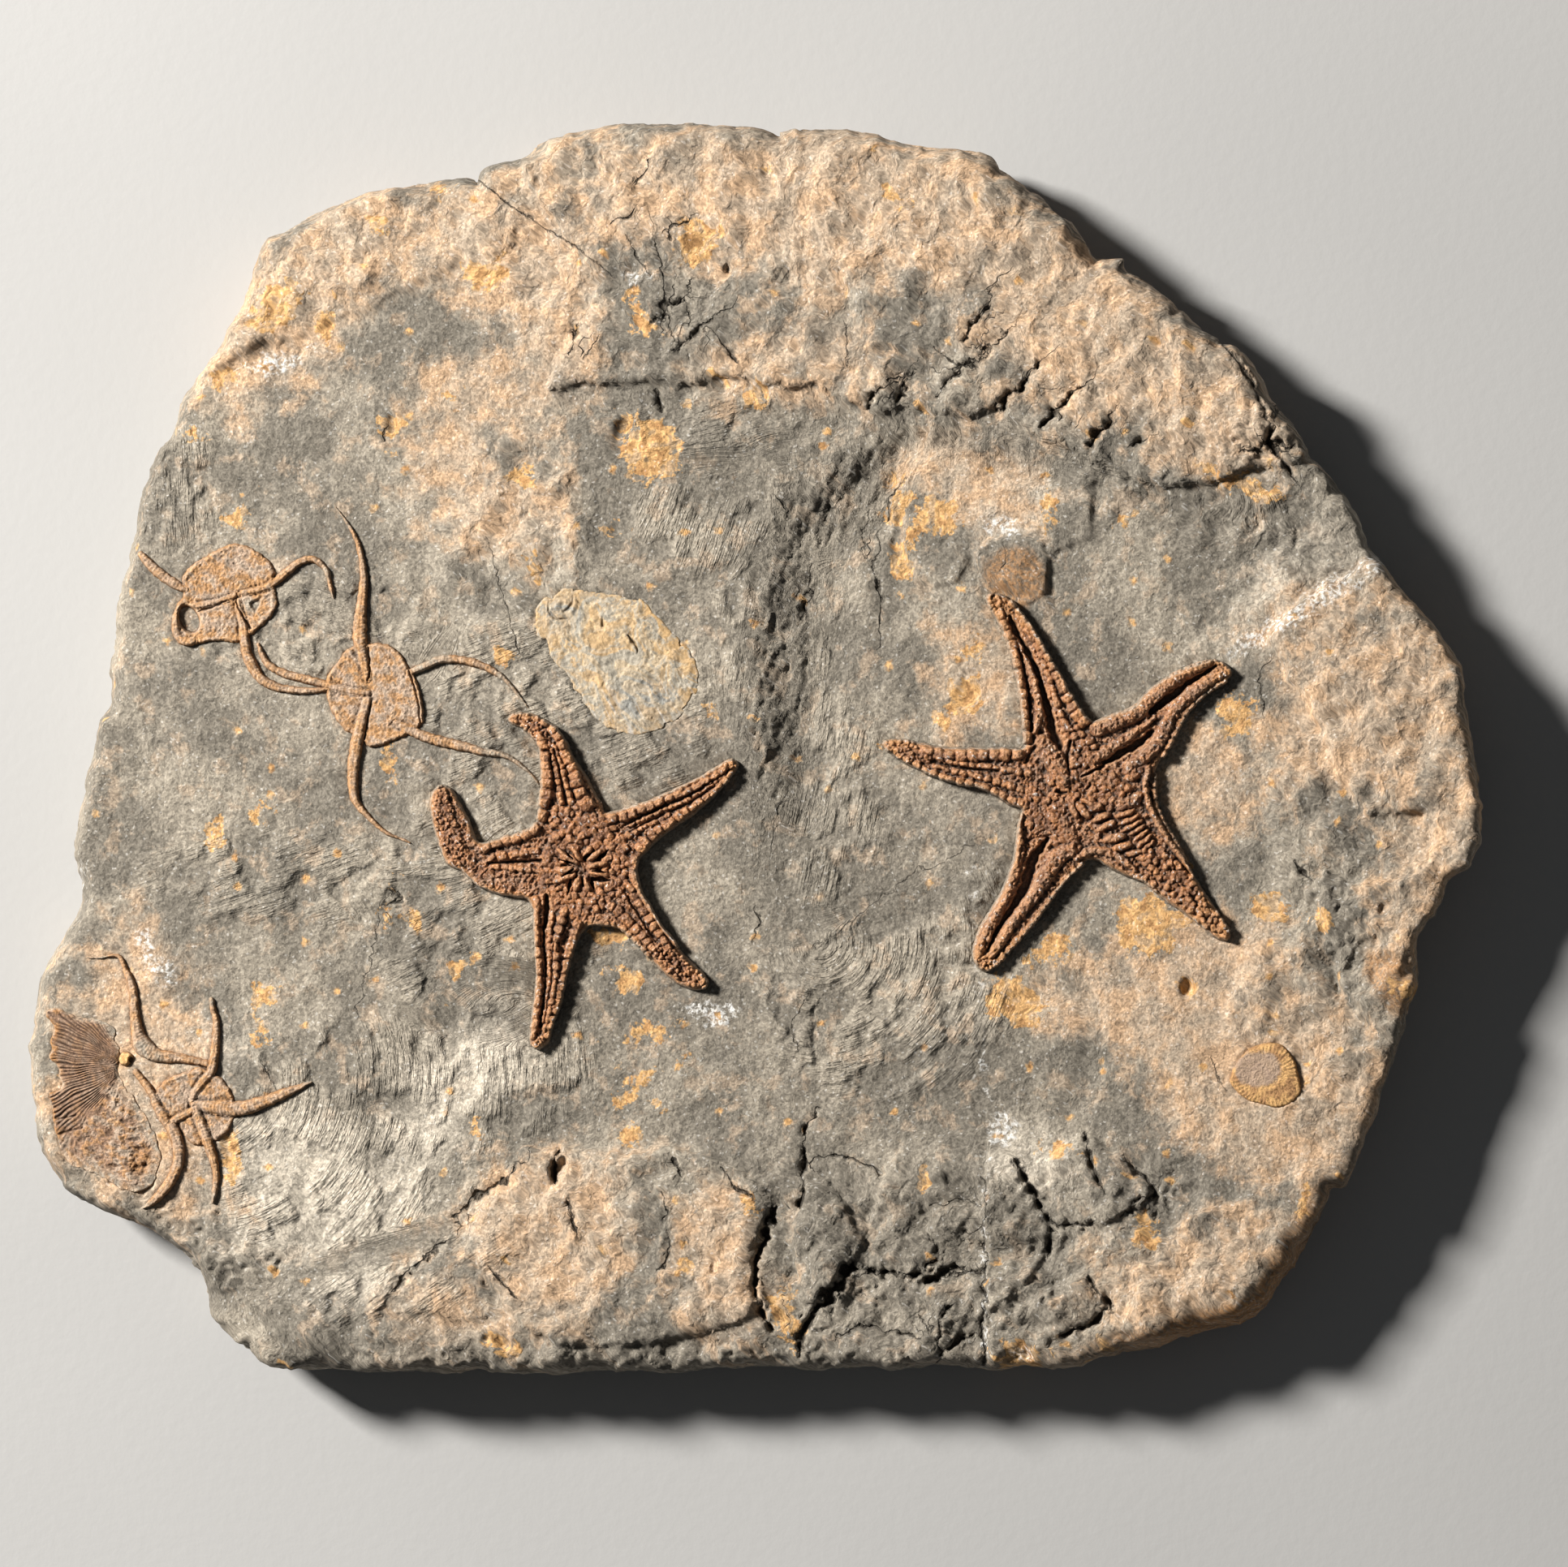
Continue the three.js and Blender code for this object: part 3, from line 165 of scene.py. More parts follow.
# Cracks: middle line with half widths, depth.
CRACKS = [
    ([(1015, 1365, 0.3), (994, 1385, 0.7), (990, 1440, 1.0), (985, 1485, 1.3)], 2.6),
    ([(957, 1483, 0.8), (943, 1520, 1.6), (931, 1560, 1.5), (933, 1600, 1.3), (947, 1632, 0.9),
      (955, 1642, 0.5)], 3.6),
    ([(1050, 1555, 1.0), (1036, 1578, 2.0), (1010, 1604, 2.2), (992, 1632, 1.8), (984, 1668, 1.0)], 3.4),
    ([(1051, 1571, 0.5), (1087, 1566, 0.7), (1136, 1575, 0.8), (1160, 1568, 1.0), (1189, 1557, 0.5)], 1.8),
    ([(1024, 1649, 0.3), (1064, 1633, 0.6), (1098, 1638, 0.5), (1131, 1646, 0.4)], 1.5),
    ([(1247, 1424, 0.6), (1262, 1450, 1.2), (1279, 1480, 1.0), (1283, 1488, 0.4)], 2.2),
    ([(1335, 1391, 0.5), (1344, 1430, 1.1), (1356, 1466, 0.5)], 2.0),
    ([(1389, 1433, 0.5), (1410, 1450, 1.0), (1421, 1468, 1.0), (1400, 1480, 0.9), (1380, 1500, 0.5)], 2.0),
    ([(1340, 1569, 0.4), (1352, 1590, 0.9), (1368, 1611, 1.2), (1340, 1630, 1.2), (1307, 1648, 0.6)], 2.4),
    ([(691, 1418, 0.8), (686, 1440, 2.0), (684, 1453, 1.2)], 2.8),
    ([(700, 1468, 0.3), (707, 1500, 0.9), (716, 1528, 0.3)], 1.6),
    ([(822, 1512, 0.4), (825, 1535, 1.2), (812, 1565, 0.4)], 1.4),
    ([(819, 1470, 0.3), (820, 1490, 0.7), (812, 1500, 0.3)], 1.0),
    ([(892, 1440, 0.4), (905, 1462, 0.8), (925, 1470, 0.8), (930, 1480, 0.3)], 1.3),
    ([(1211, 1450, 0.2), (1214, 1530, 0.4), (1210, 1620, 0.9), (1212, 1680, 0.9)], 1.6),
    ([(1181, 1605, 0.3), (1162, 1620, 1.0), (1155, 1650, 1.0), (1160, 1664, 0.4)], 1.8),
    ([(1200, 1640, 0.5), (1180, 1650, 1.2), (1150, 1676, 0.6)], 1.8),
    ([(317, 1297, 0.1), (330, 1318, 0.25), (344, 1344, 0.15)], 0.7),
    ([(1493, 1301, 0.2), (1498, 1322, 0.4), (1511, 1345, 0.2)], 1.0),
    ([(993, 1230, 0.2), (978, 1255, 0.3), (982, 1300, 0.2)], 0.6),
    ([(1000, 1170, 0.1), (1110, 1090, 0.25), (1200, 1040, 0.2)], 0.4),
    ([(831, 1427, 0.4), (838, 1440, 0.9), (843, 1452, 0.3)], 1.2),
    ([(806, 478, 0.4), (812, 495, 1.0), (818, 512, 0.3)], 1.6),
    ([(1040, 396, 0.2), (1043, 430, 0.5), (1047, 458, 0.3)], 1.0),
    ([(1000, 1431, 0.3), (1031, 1423, 0.6), (1078, 1438, 0.5), (1082, 1450, 0.3)], 1.2),
    ([(1145, 1486, 0.3), (1180, 1478, 0.6), (1208, 1486, 0.4)], 1.2),
    ([(1145, 1521, 0.5), (1153, 1545, 1.5), (1141, 1568, 1.0)], 2.0),
    ([(1173, 1521, 0.3), (1212, 1513, 0.5)], 1.0),
    ([(1063, 1568, 0.6), (1110, 1568, 0.8), (1149, 1574, 0.9), (1204, 1566, 0.6)], 1.8),
    ([(1267, 1462, 0.7), (1294, 1505, 1.2), (1326, 1509, 0.7), (1350, 1500, 0.4)], 2.0),
    ([(1294, 1509, 0.7), (1290, 1548, 1.0)], 1.8),
    ([(1133, 1619, 0.4), (1145, 1637, 0.9)], 1.4),
    ([(580, 215, 0.2), (640, 262, 0.4), (700, 300, 0.35), (760, 345, 0.2)], 0.7),
    ([(770, 290, 0.3), (790, 325, 0.5), (805, 345, 0.4)], 0.9),
    ([(780, 228, 0.3), (795, 215, 0.7), (800, 195, 0.3)], 0.9),
    ([(846, 370, 0.2), (850, 395, 0.5), (838, 415, 0.3)], 0.9),
    ([(1010, 640, 0.2), (1030, 616, 0.5), (1052, 600, 0.2)], 0.7),
    ([(996, 690, 0.3), (1000, 722, 0.8), (992, 752, 0.5), (994, 770, 0.2)], 1.2),
    ([(1085, 652, 0.2), (1078, 700, 0.5), (1086, 750, 0.5), (1082, 806, 0.3)], 0.9),
    ([(1074, 630, 0.3), (1062, 650, 0.4), (1064, 690, 0.2)], 0.8),
    ([(955, 612, 0.2), (972, 630, 0.5), (968, 655, 0.4)], 0.9),
    ([(975, 965, 0.1), (962, 1000, 0.4), (948, 1046, 0.2)], 0.7),
    ([(930, 1112, 0.2), (936, 1140, 0.5), (925, 1160, 0.3)], 0.8),
    ([(700, 1490, 0.3), (715, 1520, 0.8)], 1.0),
    ([(1150, 430, 0.3), (1190, 455, 0.7), (1230, 420, 0.4)], 0.9),
    ([(1250, 330, 0.2), (1215, 360, 0.5)], 0.7),
    ([(1575, 500, 0.4), (1560, 540, 1.2), (1580, 570, 1.0), (1600, 600, 0.4)], 2.0),
    ([(1500, 420, 0.4), (1540, 470, 1.0), (1560, 520, 0.6)], 1.4),
    ([(1525, 560, 0.5), (1560, 548, 1.2), (1600, 552, 0.7)], 1.8),
    ([(600, 660, 0.1), (640, 800, 0.3), (660, 808, 0.2)], 0.4),
    ([(480, 520, 0.3), (474, 545, 0.6)], 0.8),
    ([(1120, 590, 0.3), (1100, 612, 0.7), (1092, 640, 0.4)], 1.0),
    ([(1560, 895, 0.1), (1552, 850, 0.4), (1565, 805, 0.2)], 0.5),
    ([(1590, 1058, 0.4), (1605, 1075, 1.0), (1620, 1090, 0.4)], 1.2),
    ([(1235, 668, 0.1), (1238, 690, 0.3), (1228, 705, 0.15)], 0.6),
    ([(440, 1255, 0.2), (478, 1095, 0.3), (484, 1106, 0.2)], 0.05),
    ([(482, 1092, 0.3), (494, 1106, 0.8), (478, 1124, 0.3)], 1.0),
]

# Pits: middle, half sizes across and down, turn in degrees, depth.
PITS = [
    (690, 1437, 9, 17, 25, 3.0), (897, 335, 5, 9, 0, 1.6), (770, 527, 14, 22, 20, 1.2),
    (1462, 1217, 12, 14, 0, 2.2), (1620, 1097, 10, 12, 0, 1.0), (1706, 1120, 12, 9, 0, 1.2),
    (1732, 1195, 12, 12, 0, 1.4), (1404, 545, 11, 7, 0, 1.0), (770, 545, 30, 36, 20, 0.8),
    (484, 525, 8, 16, 0, 0.9), (400, 640, 3, 3, 0, 0.4), (271, 1494, 5, 4, 0, 1.0),
    (172, 1434, 3, 3, 0, 0.2), (1108, 660, 12, 34, 10, 0.9), (640, 1225, 3, 2, 0, 0.4),
    (1195, 855, 24, 24, 0, 0.9), (1190, 834, 4, 5, 0, 0.8), (946, 215, 8, 5, 0, 0.5),
    (1253, 1668, 30, 18, -15, 1.8), (614, 1652, 24, 16, 0, 0.9), (962, 1630, 20, 26, 10, 1.0),
    (1375, 330, 16, 10, 30, 1.4), (1500, 1128, 6, 5, 0, 0.8), (1316, 1150, 5, 5, 0, 0.6),
    (283, 1415, 10, 24, 0, 0.8), (727, 1380, 3, 4, 0, 0.6), (1086, 1446, 7, 5, 0, 0.8),
    (760, 655, 12, 10, 0, 0.5), (1350, 620, 16, 9, 20, 0.5), (880, 1560, 4, 9, 0, 0.9),
]

# Lumps: middle, half sizes, turn, height.
LUMPS = [
    (1100, 462, 36, 26, -40, 0.8), (862, 418, 60, 34, -30, 0.9), (780, 430, 40, 26, -10, 0.6),
    (1010, 1520, 30, 50, 0, 0.5), (1230, 1580, 46, 60, 20, 0.6), (1430, 1600, 60, 40, -20, 0.7),
    (1290, 1610, 34, 28, 0, 0.6), (1540, 470, 60, 50, 40, 0.5), (1480, 360, 60, 26, 50, 0.5),
    (1200, 1620, 24, 40, 0, 0.4), (480, 300, 50, 36, 20, 0.5), (350, 360, 40, 50, 20, 0.5),
    (1700, 860, 70, 50, 60, 0.6), (1740, 960, 50, 60, 0, 0.5), (1000, 1230, 50, 30, 0, 0.25),
    (1240, 1480, 20, 60, -20, 0.6),
]

# Blocky ground where the stone broke off: middle, half sizes, turn.
BROKEN_GROUND = [
    (760, 1668, 500, 30, 0), (1180, 1560, 150, 110, 0), (1565, 530, 44, 90, 40), (1665, 1150, 50, 90, 0),
    (300, 1560, 60, 40, -35), (1290, 240, 60, 16, -45), (1420, 1470, 60, 50, 0), (1020, 1540, 60, 110, 0),
    (210, 1515, 110, 22, 30),
]

# Rough, broken ground: middle, half sizes, turn.
ROUGH_GROUND = [
    (1000, 300, 430, 220, 8), (1450, 480, 220, 160, 40), (700, 1690, 560, 66, 0),
    (1260, 1560, 330, 130, 0), (1700, 1000, 130, 330, 8), (350, 300, 240, 90, -38),
    (1580, 500, 60, 200, -45), (210, 1500, 150, 40, 35), (1640, 1250, 120, 130, 20),
    (790, 1530, 200, 110, 0), (640, 660, 90, 120, 0), (1640, 700, 90, 50, -30),
]

# Brown plates: middle, half sizes, turn.
BROWN_PLATES = [(1250, 712, 42, 40, 25), (1708, 1205, 26, 48, -25)]

# Ground torn into ridges: middle, half sizes, turn.
TORN_GROUND = [(965, 800, 46, 230, 5), (1040, 610, 46, 110, 42), (1180, 545, 120, 14, 8)]

# Stains on the stone: middle, half sizes across and down, turn in degrees.
OCHRE_STAINS = [
    (268, 1023, 11, 16, 0), (319, 1003, 8, 12, 0), (800, 556, 34, 40, 30), (770, 527, 16, 20, 0),
    (930, 485, 13, 12, 0), (1106, 625, 14, 26, 10), (1112, 690, 14, 34, 15), (1250, 1232, 36, 28, 12),
    (1412, 1140, 46, 34, 8), (1292, 1174, 24, 16, -25), (1463, 1218, 11, 12, 0),
    (752, 1155, 20, 11, 8), (775, 1205, 14, 15, 30), (736, 1205, 9, 9, 0), (790, 1272, 30, 9, -8),
    (788, 1330, 16, 3, -25), (768, 1343, 3, 12, 10), (782, 1352, 14, 3, 10), (778, 1392, 9, 14, 10),
    (756, 654, 12, 9, 0), (640, 590, 18, 13, 0), (1408, 1516, 18, 18, 0), (1302, 1413, 18, 9, 0),
    (1604, 1482, 7, 12, 20), (1256, 1670, 32, 17, -10), (966, 1622, 20, 30, -10),
    (919, 1482, 10, 18, 0), (845, 1556, 5, 10, 0), (616, 1654, 23, 14, 10), (345, 378, 30, 34, 40),
    (457, 278, 14, 12, 0), (405, 396, 12, 20, 20), (280, 465, 22, 9, -30), (484, 525, 11, 20, 0),
    (240, 536, 8, 7, 0), (543, 240, 10, 9, 0), (562, 490, 10, 6, 0), (660, 700, 8, 14, 0),
    (1290, 620, 10, 26, 5), (1200, 800, 16, 10, 0), (1186, 860, 22, 26, 0), (1160, 890, 10, 8, 0),
    (880, 872, 5, 5, 0), (1560, 1115, 26, 16, 0), (1625, 1130, 12, 14, 0), (1730, 1220, 16, 10, 30),
    (283, 1415, 14, 30, 0), (322, 1272, 12, 12, 0), (330, 1225, 12, 10, 0), (512, 1135, 8, 7, 0),
    (483, 1108, 7, 18, 10), (565, 1195, 16, 6, -60), (1138, 1458, 6, 9, -20), (940, 215, 9, 6, 0),
    (1100, 243, 14, 9, 20), (600, 340, 26, 18, 0), (860, 300, 24, 30, 0), (790, 385, 12, 26, -30),
    (1380, 640, 12, 7, 0), (1452, 1075, 20, 22, 0), (1520, 880, 20, 26, 40), (624, 812, 12, 8, 0),
    (478, 932, 6, 14, 0), (290, 640, 16, 10, 0), (310, 610, 7, 6, 0), (1085, 918, 3, 3, 0),
    (1540, 600, 40, 12, 20), (1560, 1640, 40, 12, -25), (585, 1385, 7, 9, 0), (1150, 632, 30, 20, 0),
]
TAN_GROUND = [
    (1000, 250, 330, 95, 4), (1330, 400, 240, 110, 35), (640, 310, 110, 90, 0), (780, 250, 90, 70, 0),
    (330, 400, 110, 90, -40), (470, 300, 110, 70, -25), (1480, 500, 130, 90, 30), (600, 480, 90, 60, 0),
    (680, 1530, 100, 112, 0), (880, 1560, 60, 80, 0), (540, 1585, 60, 28, -30), (1200, 600, 80, 70, 0),
    (1690, 870, 120, 150, 60), (1760, 1050, 60, 170, 10), (1560, 1340, 150, 130, 20),
    (1470, 1220, 120, 90, 0), (1380, 1230, 90, 60, 0), (1480, 1550, 120, 60, -20),
    (620, 620, 70, 60, 0), (1200, 850, 50, 60, 0), (170, 1260, 90, 110, 0), (180, 1420, 110, 80, 30),
    (700, 430, 60, 60, 0), (1630, 760, 70, 40, 0),
    (1500, 960, 50, 60, 0), (560, 1640, 60, 24, 0), (990, 440, 120, 50, 0),
    (560, 560, 50, 50, 0),
]
PALE_GROUND = [
    (400, 1480, 150, 70, -22), (520, 1390, 110, 60, -60), (330, 1430, 90, 60, 0), (450, 1570, 110, 40, -20),
    (600, 1300, 70, 50, -50), (1220, 620, 90, 60, 0), (250, 1290, 60, 60, 0),
    (1600, 700, 110, 40, -35), (1250, 1430, 60, 50, 0),
]
GREY_GROUND = [
    (1010, 600, 70, 60, -40), (960, 760, 44, 150, 0), (880, 540, 160, 40, 0), (1330, 560, 160, 26, 14),
    (1560, 640, 110, 50, 25), (930, 170, 60, 14, 0), (980, 1050, 50, 150, 0), (1150, 1560, 70, 90, 0),
    (1280, 1540, 50, 80, 0), (1010, 1510, 70, 110, 0), (820, 440, 90, 30, -20), (1010, 420, 50, 30, 0), (860, 520, 60, 20, 0),
    (240, 1150, 60, 40, 20), (200, 1520, 110, 26, 35), (600, 1660, 160, 22, 0), (900, 1665, 300, 22, 0),
    (1180, 1650, 90, 40, 0), (740, 480, 60, 20, 0), (200, 620, 30, 60, 0), (1190, 380, 30, 60, 40),
]
CHALK_MARKS = [
    (345, 452, 26, 14, -10), (178, 1160, 12, 20, -30), (200, 1195, 20, 14, 40), (1232, 648, 26, 15, 10),
    (1590, 760, 44, 12, -28), (1640, 728, 50, 14, -28), (1690, 695, 26, 12, -40), (880, 1247, 28, 16, 0),
    (1236, 1392, 20, 22, 10), (1236, 1382, 9, 16, 0), (1258, 1668, 18, 10, 0), (862, 1240, 20, 10, 0),
    (98, 1090, 5, 26, 10), (330, 446, 44, 9, -20), (1540, 790, 30, 12, -30), (1212, 1540, 3, 60, 0),
    (1214, 1640, 3, 46, 0), (1209, 1260, 2, 70, -4), (785, 345, 12, 5, 0),
]
SCRAPED_GROUND = [  # middle, half sizes, turn, and the way its strokes run in degrees
    (200, 600, 90, 90, 0, 92), (470, 1590, 200, 60, -20, 34), (960, 780, 90, 230, 0, 82),
    (1330, 560, 250, 44, 14, -16), (860, 530, 190, 50, 0, 12), (350, 1080, 200, 70, 0, 18),
    (1040, 620, 110, 60, -40, 48), (690, 900, 200, 160, 0, 20), (600, 1120, 160, 160, 0, 24),
    (400, 780, 160, 90, 0, -20), (870, 640, 120, 80, 0, 70), (1010, 980, 90, 160, 0, 78),
    (1560, 640, 130, 50, 25, -35),
]
ARC_GROUND = [  # middle, half sizes, turn, and the middle of its strokes' arcs
    (430, 1400, 190, 150, -20, 250, 1330), (620, 1300, 120, 110, 0, 250, 1330),
    (1090, 1240, 160, 120, 0, 1010, 1160), (1230, 1130, 60, 70, 0, 1010, 1160),
]


# ---- the starfish ------------------------------------------------------------------------------
# Rows are plates set end to end along a line: pitch, rise, squareness, and the line with the
# plates' half widths. Ridges are plain walls: rise and line. Grooves: floor and line. Pebbles:
# size, rise and the line of the ground they cover. Rises and floors are shares of the relief.

LEFT_STARFISH = {
    "node": "starfish_left",
    "sheet": LEFT,
    "centre": (-43.4, -30.1),
    "pitch": 0.168,
    "outline": [
        (628, 886), (633, 880), (651, 879), (671, 887), (688, 900), (699, 915), (708, 935), (722, 955),
        (734, 978), (742, 992), (745, 1001), (762, 999), (786, 992), (803, 986), (832, 973), (863, 958),
        (892, 940), (903, 936), (909, 943), (900, 958), (880, 981), (854, 1004), (829, 1021),
        (814, 1032), (797, 1049), (786, 1064), (786, 1078), (791, 1098), (803, 1118), (814, 1138),
        (829, 1156), (840, 1173), (854, 1187), (869, 1202), (872, 1213), (860, 1219), (840, 1213),
        (820, 1199), (806, 1184), (791, 1167), (777, 1153), (763, 1143), (745, 1140), (728, 1140),
        (717, 1150), (708, 1170), (702, 1190), (697, 1213), (691, 1239), (682, 1262), (677, 1282),
        (666, 1291), (655, 1285), (655, 1262), (659, 1233), (662, 1204), (661, 1176), (659, 1147),
        (659, 1124), (651, 1107), (636, 1104), (613, 1100), (590, 1090), (570, 1072), (553, 1064),
        (542, 1038), (534, 1009), (532, 983), (542, 969), (556, 972), (567, 989), (579, 1012),
        (587, 1034), (596, 1039), (611, 1035), (636, 1028), (656, 1021), (665, 1006), (666, 983),
        (669, 961), (666, 938), (665, 920), (657, 909), (645, 897), (633, 892),
    ],
    "ridges": [
        (0.70, [(822, 445, 1.0), (900, 455, 1.2), (1000, 440, 1.3), (1100, 400, 1.3), (1200, 352, 1.2),
                (1290, 308, 1.1), (1355, 272, 1.0)]),
        (0.60, [(290, 775, 2.0), (370, 785, 2.3), (450, 790, 2.2), (530, 815, 1.8)]),
        (0.72, [(700, 930, 1.6), (760, 945, 1.9), (830, 950, 1.7), (880, 960, 1.2)]),
        (0.86, [(950, 690, 1.3), (945, 740, 1.3), (958, 800, 1.2), (985, 850, 1.0), (1015, 900, 0.9),
                (1050, 950, 0.9), (1090, 1005, 0.8), (1140, 1060, 0.8)]),
        (0.78, [(120, 405, 1.3), (130, 480, 2.2), (155, 560, 2.7), (190, 640, 2.7), (235, 700, 2.2)]),
    ],
    "rows": [
        (2.5, 0.96, 5, [(552, 520, 1.2), (560, 470, 1.4), (566, 430, 1.5), (574, 390, 1.5), (572, 345, 1.4),
                        (572, 305, 1.4), (568, 262, 1.3), (562, 222, 1.2), (552, 185, 1.0), (535, 152, 0.8)]),
        (2.2, 1.0, 5, [(770, 480, 1.5), (735, 440, 1.6), (712, 400, 1.6), (698, 350, 1.5), (686, 310, 1.4),
                       (668, 275, 1.3), (652, 240, 1.1), (638, 205, 1.0), (620, 165, 1.0), (592, 130, 0.9),
                       (556, 106, 0.8)]),
        (1.5, 0.84, 2.6, [(640, 455, 0.7), (630, 400, 0.75), (622, 350, 0.75), (613, 300, 0.7),
                          (606, 262, 0.6), (596, 225, 0.55), (585, 190, 0.5)]),
        (1.7, 0.9, 2.6, [(682, 455, 0.8), (665, 400, 0.85), (652, 350, 0.8), (641, 310, 0.7),
                         (630, 272, 0.6), (616, 235, 0.55), (600, 195, 0.5)]),
        (2.4, 0.98, 4.5, [(835, 520, 1.1), (890, 508, 1.2), (940, 495, 1.25), (985, 478, 1.1), (1030, 460, 0.9),
                          (1080, 437, 0.85), (1130, 420, 0.85), (1175, 402, 0.8), (1215, 382, 0.8),
                          (1255, 358, 0.75), (1295, 335, 0.7), (1340, 300, 0.6)]),
        (1.3, 0.82, 2.5, [(930, 545, 0.6), (985, 520, 0.6), (1040, 495, 0.6), (1090, 475, 0.6), (1140, 455, 0.6),
                          (1190, 430, 0.55), (1240, 400, 0.5), (1290, 365, 0.5), (1340, 322, 0.4)]),
        (1.5, 0.8, 2.5, [(830, 650, 0.8), (880, 610, 0.8), (930, 585, 0.8), (985, 555, 0.75), (1040, 528, 0.7),
                         (1100, 500, 0.65)]),
        (2.0, 0.92, 3.5, [(965, 655, 1.2), (1000, 612, 1.3), (1045, 572, 1.25), (1090, 540, 1.15),
                          (1135, 510, 1.05), (1180, 480, 1.0), (1225, 450, 1.0), (1265, 418, 0.95),
                          (1305, 385, 0.9), (1340, 350, 0.85), (1368, 312, 0.7)]),
        (2.1, 0.92, 2.8, [(925, 800, 0.9), (955, 860, 1.0), (985, 905, 1.05), (1012, 945, 1.05), (1042, 990, 1.0),
                          (1075, 1040, 0.9), (1108, 1082, 0.8)]),
        (1.5, 0.8, 2.5, [(880, 815, 0.6), (905, 850, 0.6), (935, 885, 0.6), (965, 930, 0.6), (990, 975, 0.6),
                         (1018, 1020, 0.55), (1045, 1062, 0.5)]),
        (2.2, 0.92, 3.5, [(830, 880, 1.1), (870, 905, 1.2), (905, 940, 1.2), (940, 975, 1.2), (975, 1010, 1.1),
                          (1008, 1048, 1.0), (1040, 1085, 0.9)]),
        (1.8, 0.72, 3.5, [(850, 945, 0.8), (900, 985, 0.9), (945, 1030, 0.9), (985, 1075, 0.8), (1015, 1112, 0.7)]),
        (2.5, 0.92, 4.5, [(530, 850, 0.9), (532, 905, 0.8), (530, 960, 0.8), (532, 1005, 0.8), (533, 1050, 0.8),
                          (537, 1100, 0.85), (542, 1150, 0.85), (543, 1200, 0.85), (540, 1250, 0.85),
                          (536, 1300, 0.8), (530, 1350, 0.8), (523, 1400, 0.75), (515, 1455, 0.7)]),
        (1.8, 0.8, 2.5, [(598, 925, 0.6), (592, 975, 0.65), (588, 1025, 0.6), (586, 1075, 0.6), (586, 1125, 0.55),
                         (588, 1170, 0.5), (584, 1220, 0.5), (578, 1270, 0.5), (570, 1330, 0.45), (558, 1390, 0.4)]),
        (2.3, 0.95, 2.3, [(655, 900, 1.0), (637, 955, 1.15), (625, 1000, 1.15), (614, 1042, 1.1), (608, 1085, 1.0),
                          (612, 1120, 0.95), (614, 1160, 0.9), (611, 1200, 0.85), (604, 1245, 0.8),
                          (597, 1290, 0.75), (587, 1335, 0.7), (576, 1380, 0.65), (563, 1430, 0.6)]),
        (2.0, 0.84, 3.5, [(712, 950, 1.0), (692, 1010, 1.1), (676, 1060, 1.1), (664, 1110, 1.1), (653, 1160, 1.0),
                          (642, 1210, 0.95), (629, 1260, 0.9), (615, 1310, 0.85), (602, 1360, 0.8),
                          (588, 1405, 0.75), (572, 1452, 0.7)]),
        (2.4, 0.94, 5, [(298, 650, 1.0), (345, 630, 1.05), (390, 615, 1.1), (432, 604, 1.1), (472, 592, 1.15),
                        (512, 572, 1.25), (540, 540, 1.3)]),
        (2.5, 0.84, 3.5, [(325, 695, 0.8), (348, 682, 0.9), (395, 673, 1.0), (440, 668, 1.0), (490, 662, 1.0),
                          (540, 652, 0.9)]),
        (2.2, 0.8, 2.5, [(340, 722, 0.7), (385, 725, 0.75), (425, 728, 0.75), (465, 732, 0.75), (505, 737, 0.7),
                         (550, 742, 0.65)]),
    ],
    "grooves": [
        (0.30, [(662, 458, 0.3), (648, 400, 0.35), (637, 350, 0.35), (627, 300, 0.3), (617, 262, 0.3),
                (604, 220, 0.25)]),
        (0.34, [(900, 552, 0.3), (960, 520, 0.35), (1010, 495, 0.35), (1100, 452, 0.35), (1200, 408, 0.3),
                (1290, 350, 0.25)]),
        (0.34, [(930, 572, 0.3), (1000, 536, 0.3), (1100, 487, 0.3), (1200, 440, 0.3), (1310, 368, 0.25)]),
        (0.30, [(925, 865, 0.3), (958, 915, 0.35), (985, 960, 0.3), (1012, 1002, 0.3), (1040, 1045, 0.25)]),
        (0.05, [(574, 850, 0.6), (573, 890, 0.85), (570, 940, 0.8), (563, 990, 0.45), (562, 1050, 0.25),
                (567, 1120, 0.25), (570, 1180, 0.25), (566, 1250, 0.25), (556, 1330, 0.25), (545, 1410, 0.2)]),
        (0.15, [(325, 708, 0.3), (400, 705, 0.45), (470, 701, 0.5), (550, 697, 0.5)]),
        (0.40, [(605, 1045, 0.2), (598, 1120, 0.2), (594, 1200, 0.2), (580, 1300, 0.2), (562, 1400, 0.2)]),
    ],
    "pebbles": [
        (0.85, 0.80, [(432, 88, 0.8), (470, 92, 1.4), (510, 115, 2.0), (545, 150, 1.9), (570, 185, 1.2)]),
        (0.95, 0.92, [(1060, 1075, 1.6), (1105, 1120, 2.2), (1155, 1165, 2.4), (1205, 1205, 2.0), (1240, 1222, 1.2)]),
        (0.85, 0.92, [(120, 400, 1.3), (130, 480, 2.2), (155, 560, 2.6), (185, 640, 2.4), (205, 690, 1.4)]),
        (0.8, 0.9, [(530, 1490, 0.9), (545, 1465, 1.0)]),
        (1.7, 0.80, [(640, 620, 3.0), (760, 560, 3.4), (850, 640, 3.2), (870, 780, 3.0), (800, 850, 3.0),
                     (700, 880, 3.0), (610, 820, 3.0), (590, 700, 2.6), (640, 620, 3.0)]),
        (1.6, 0.84, [(620, 520, 2.6), (720, 520, 3.0), (800, 560, 2.6)]),
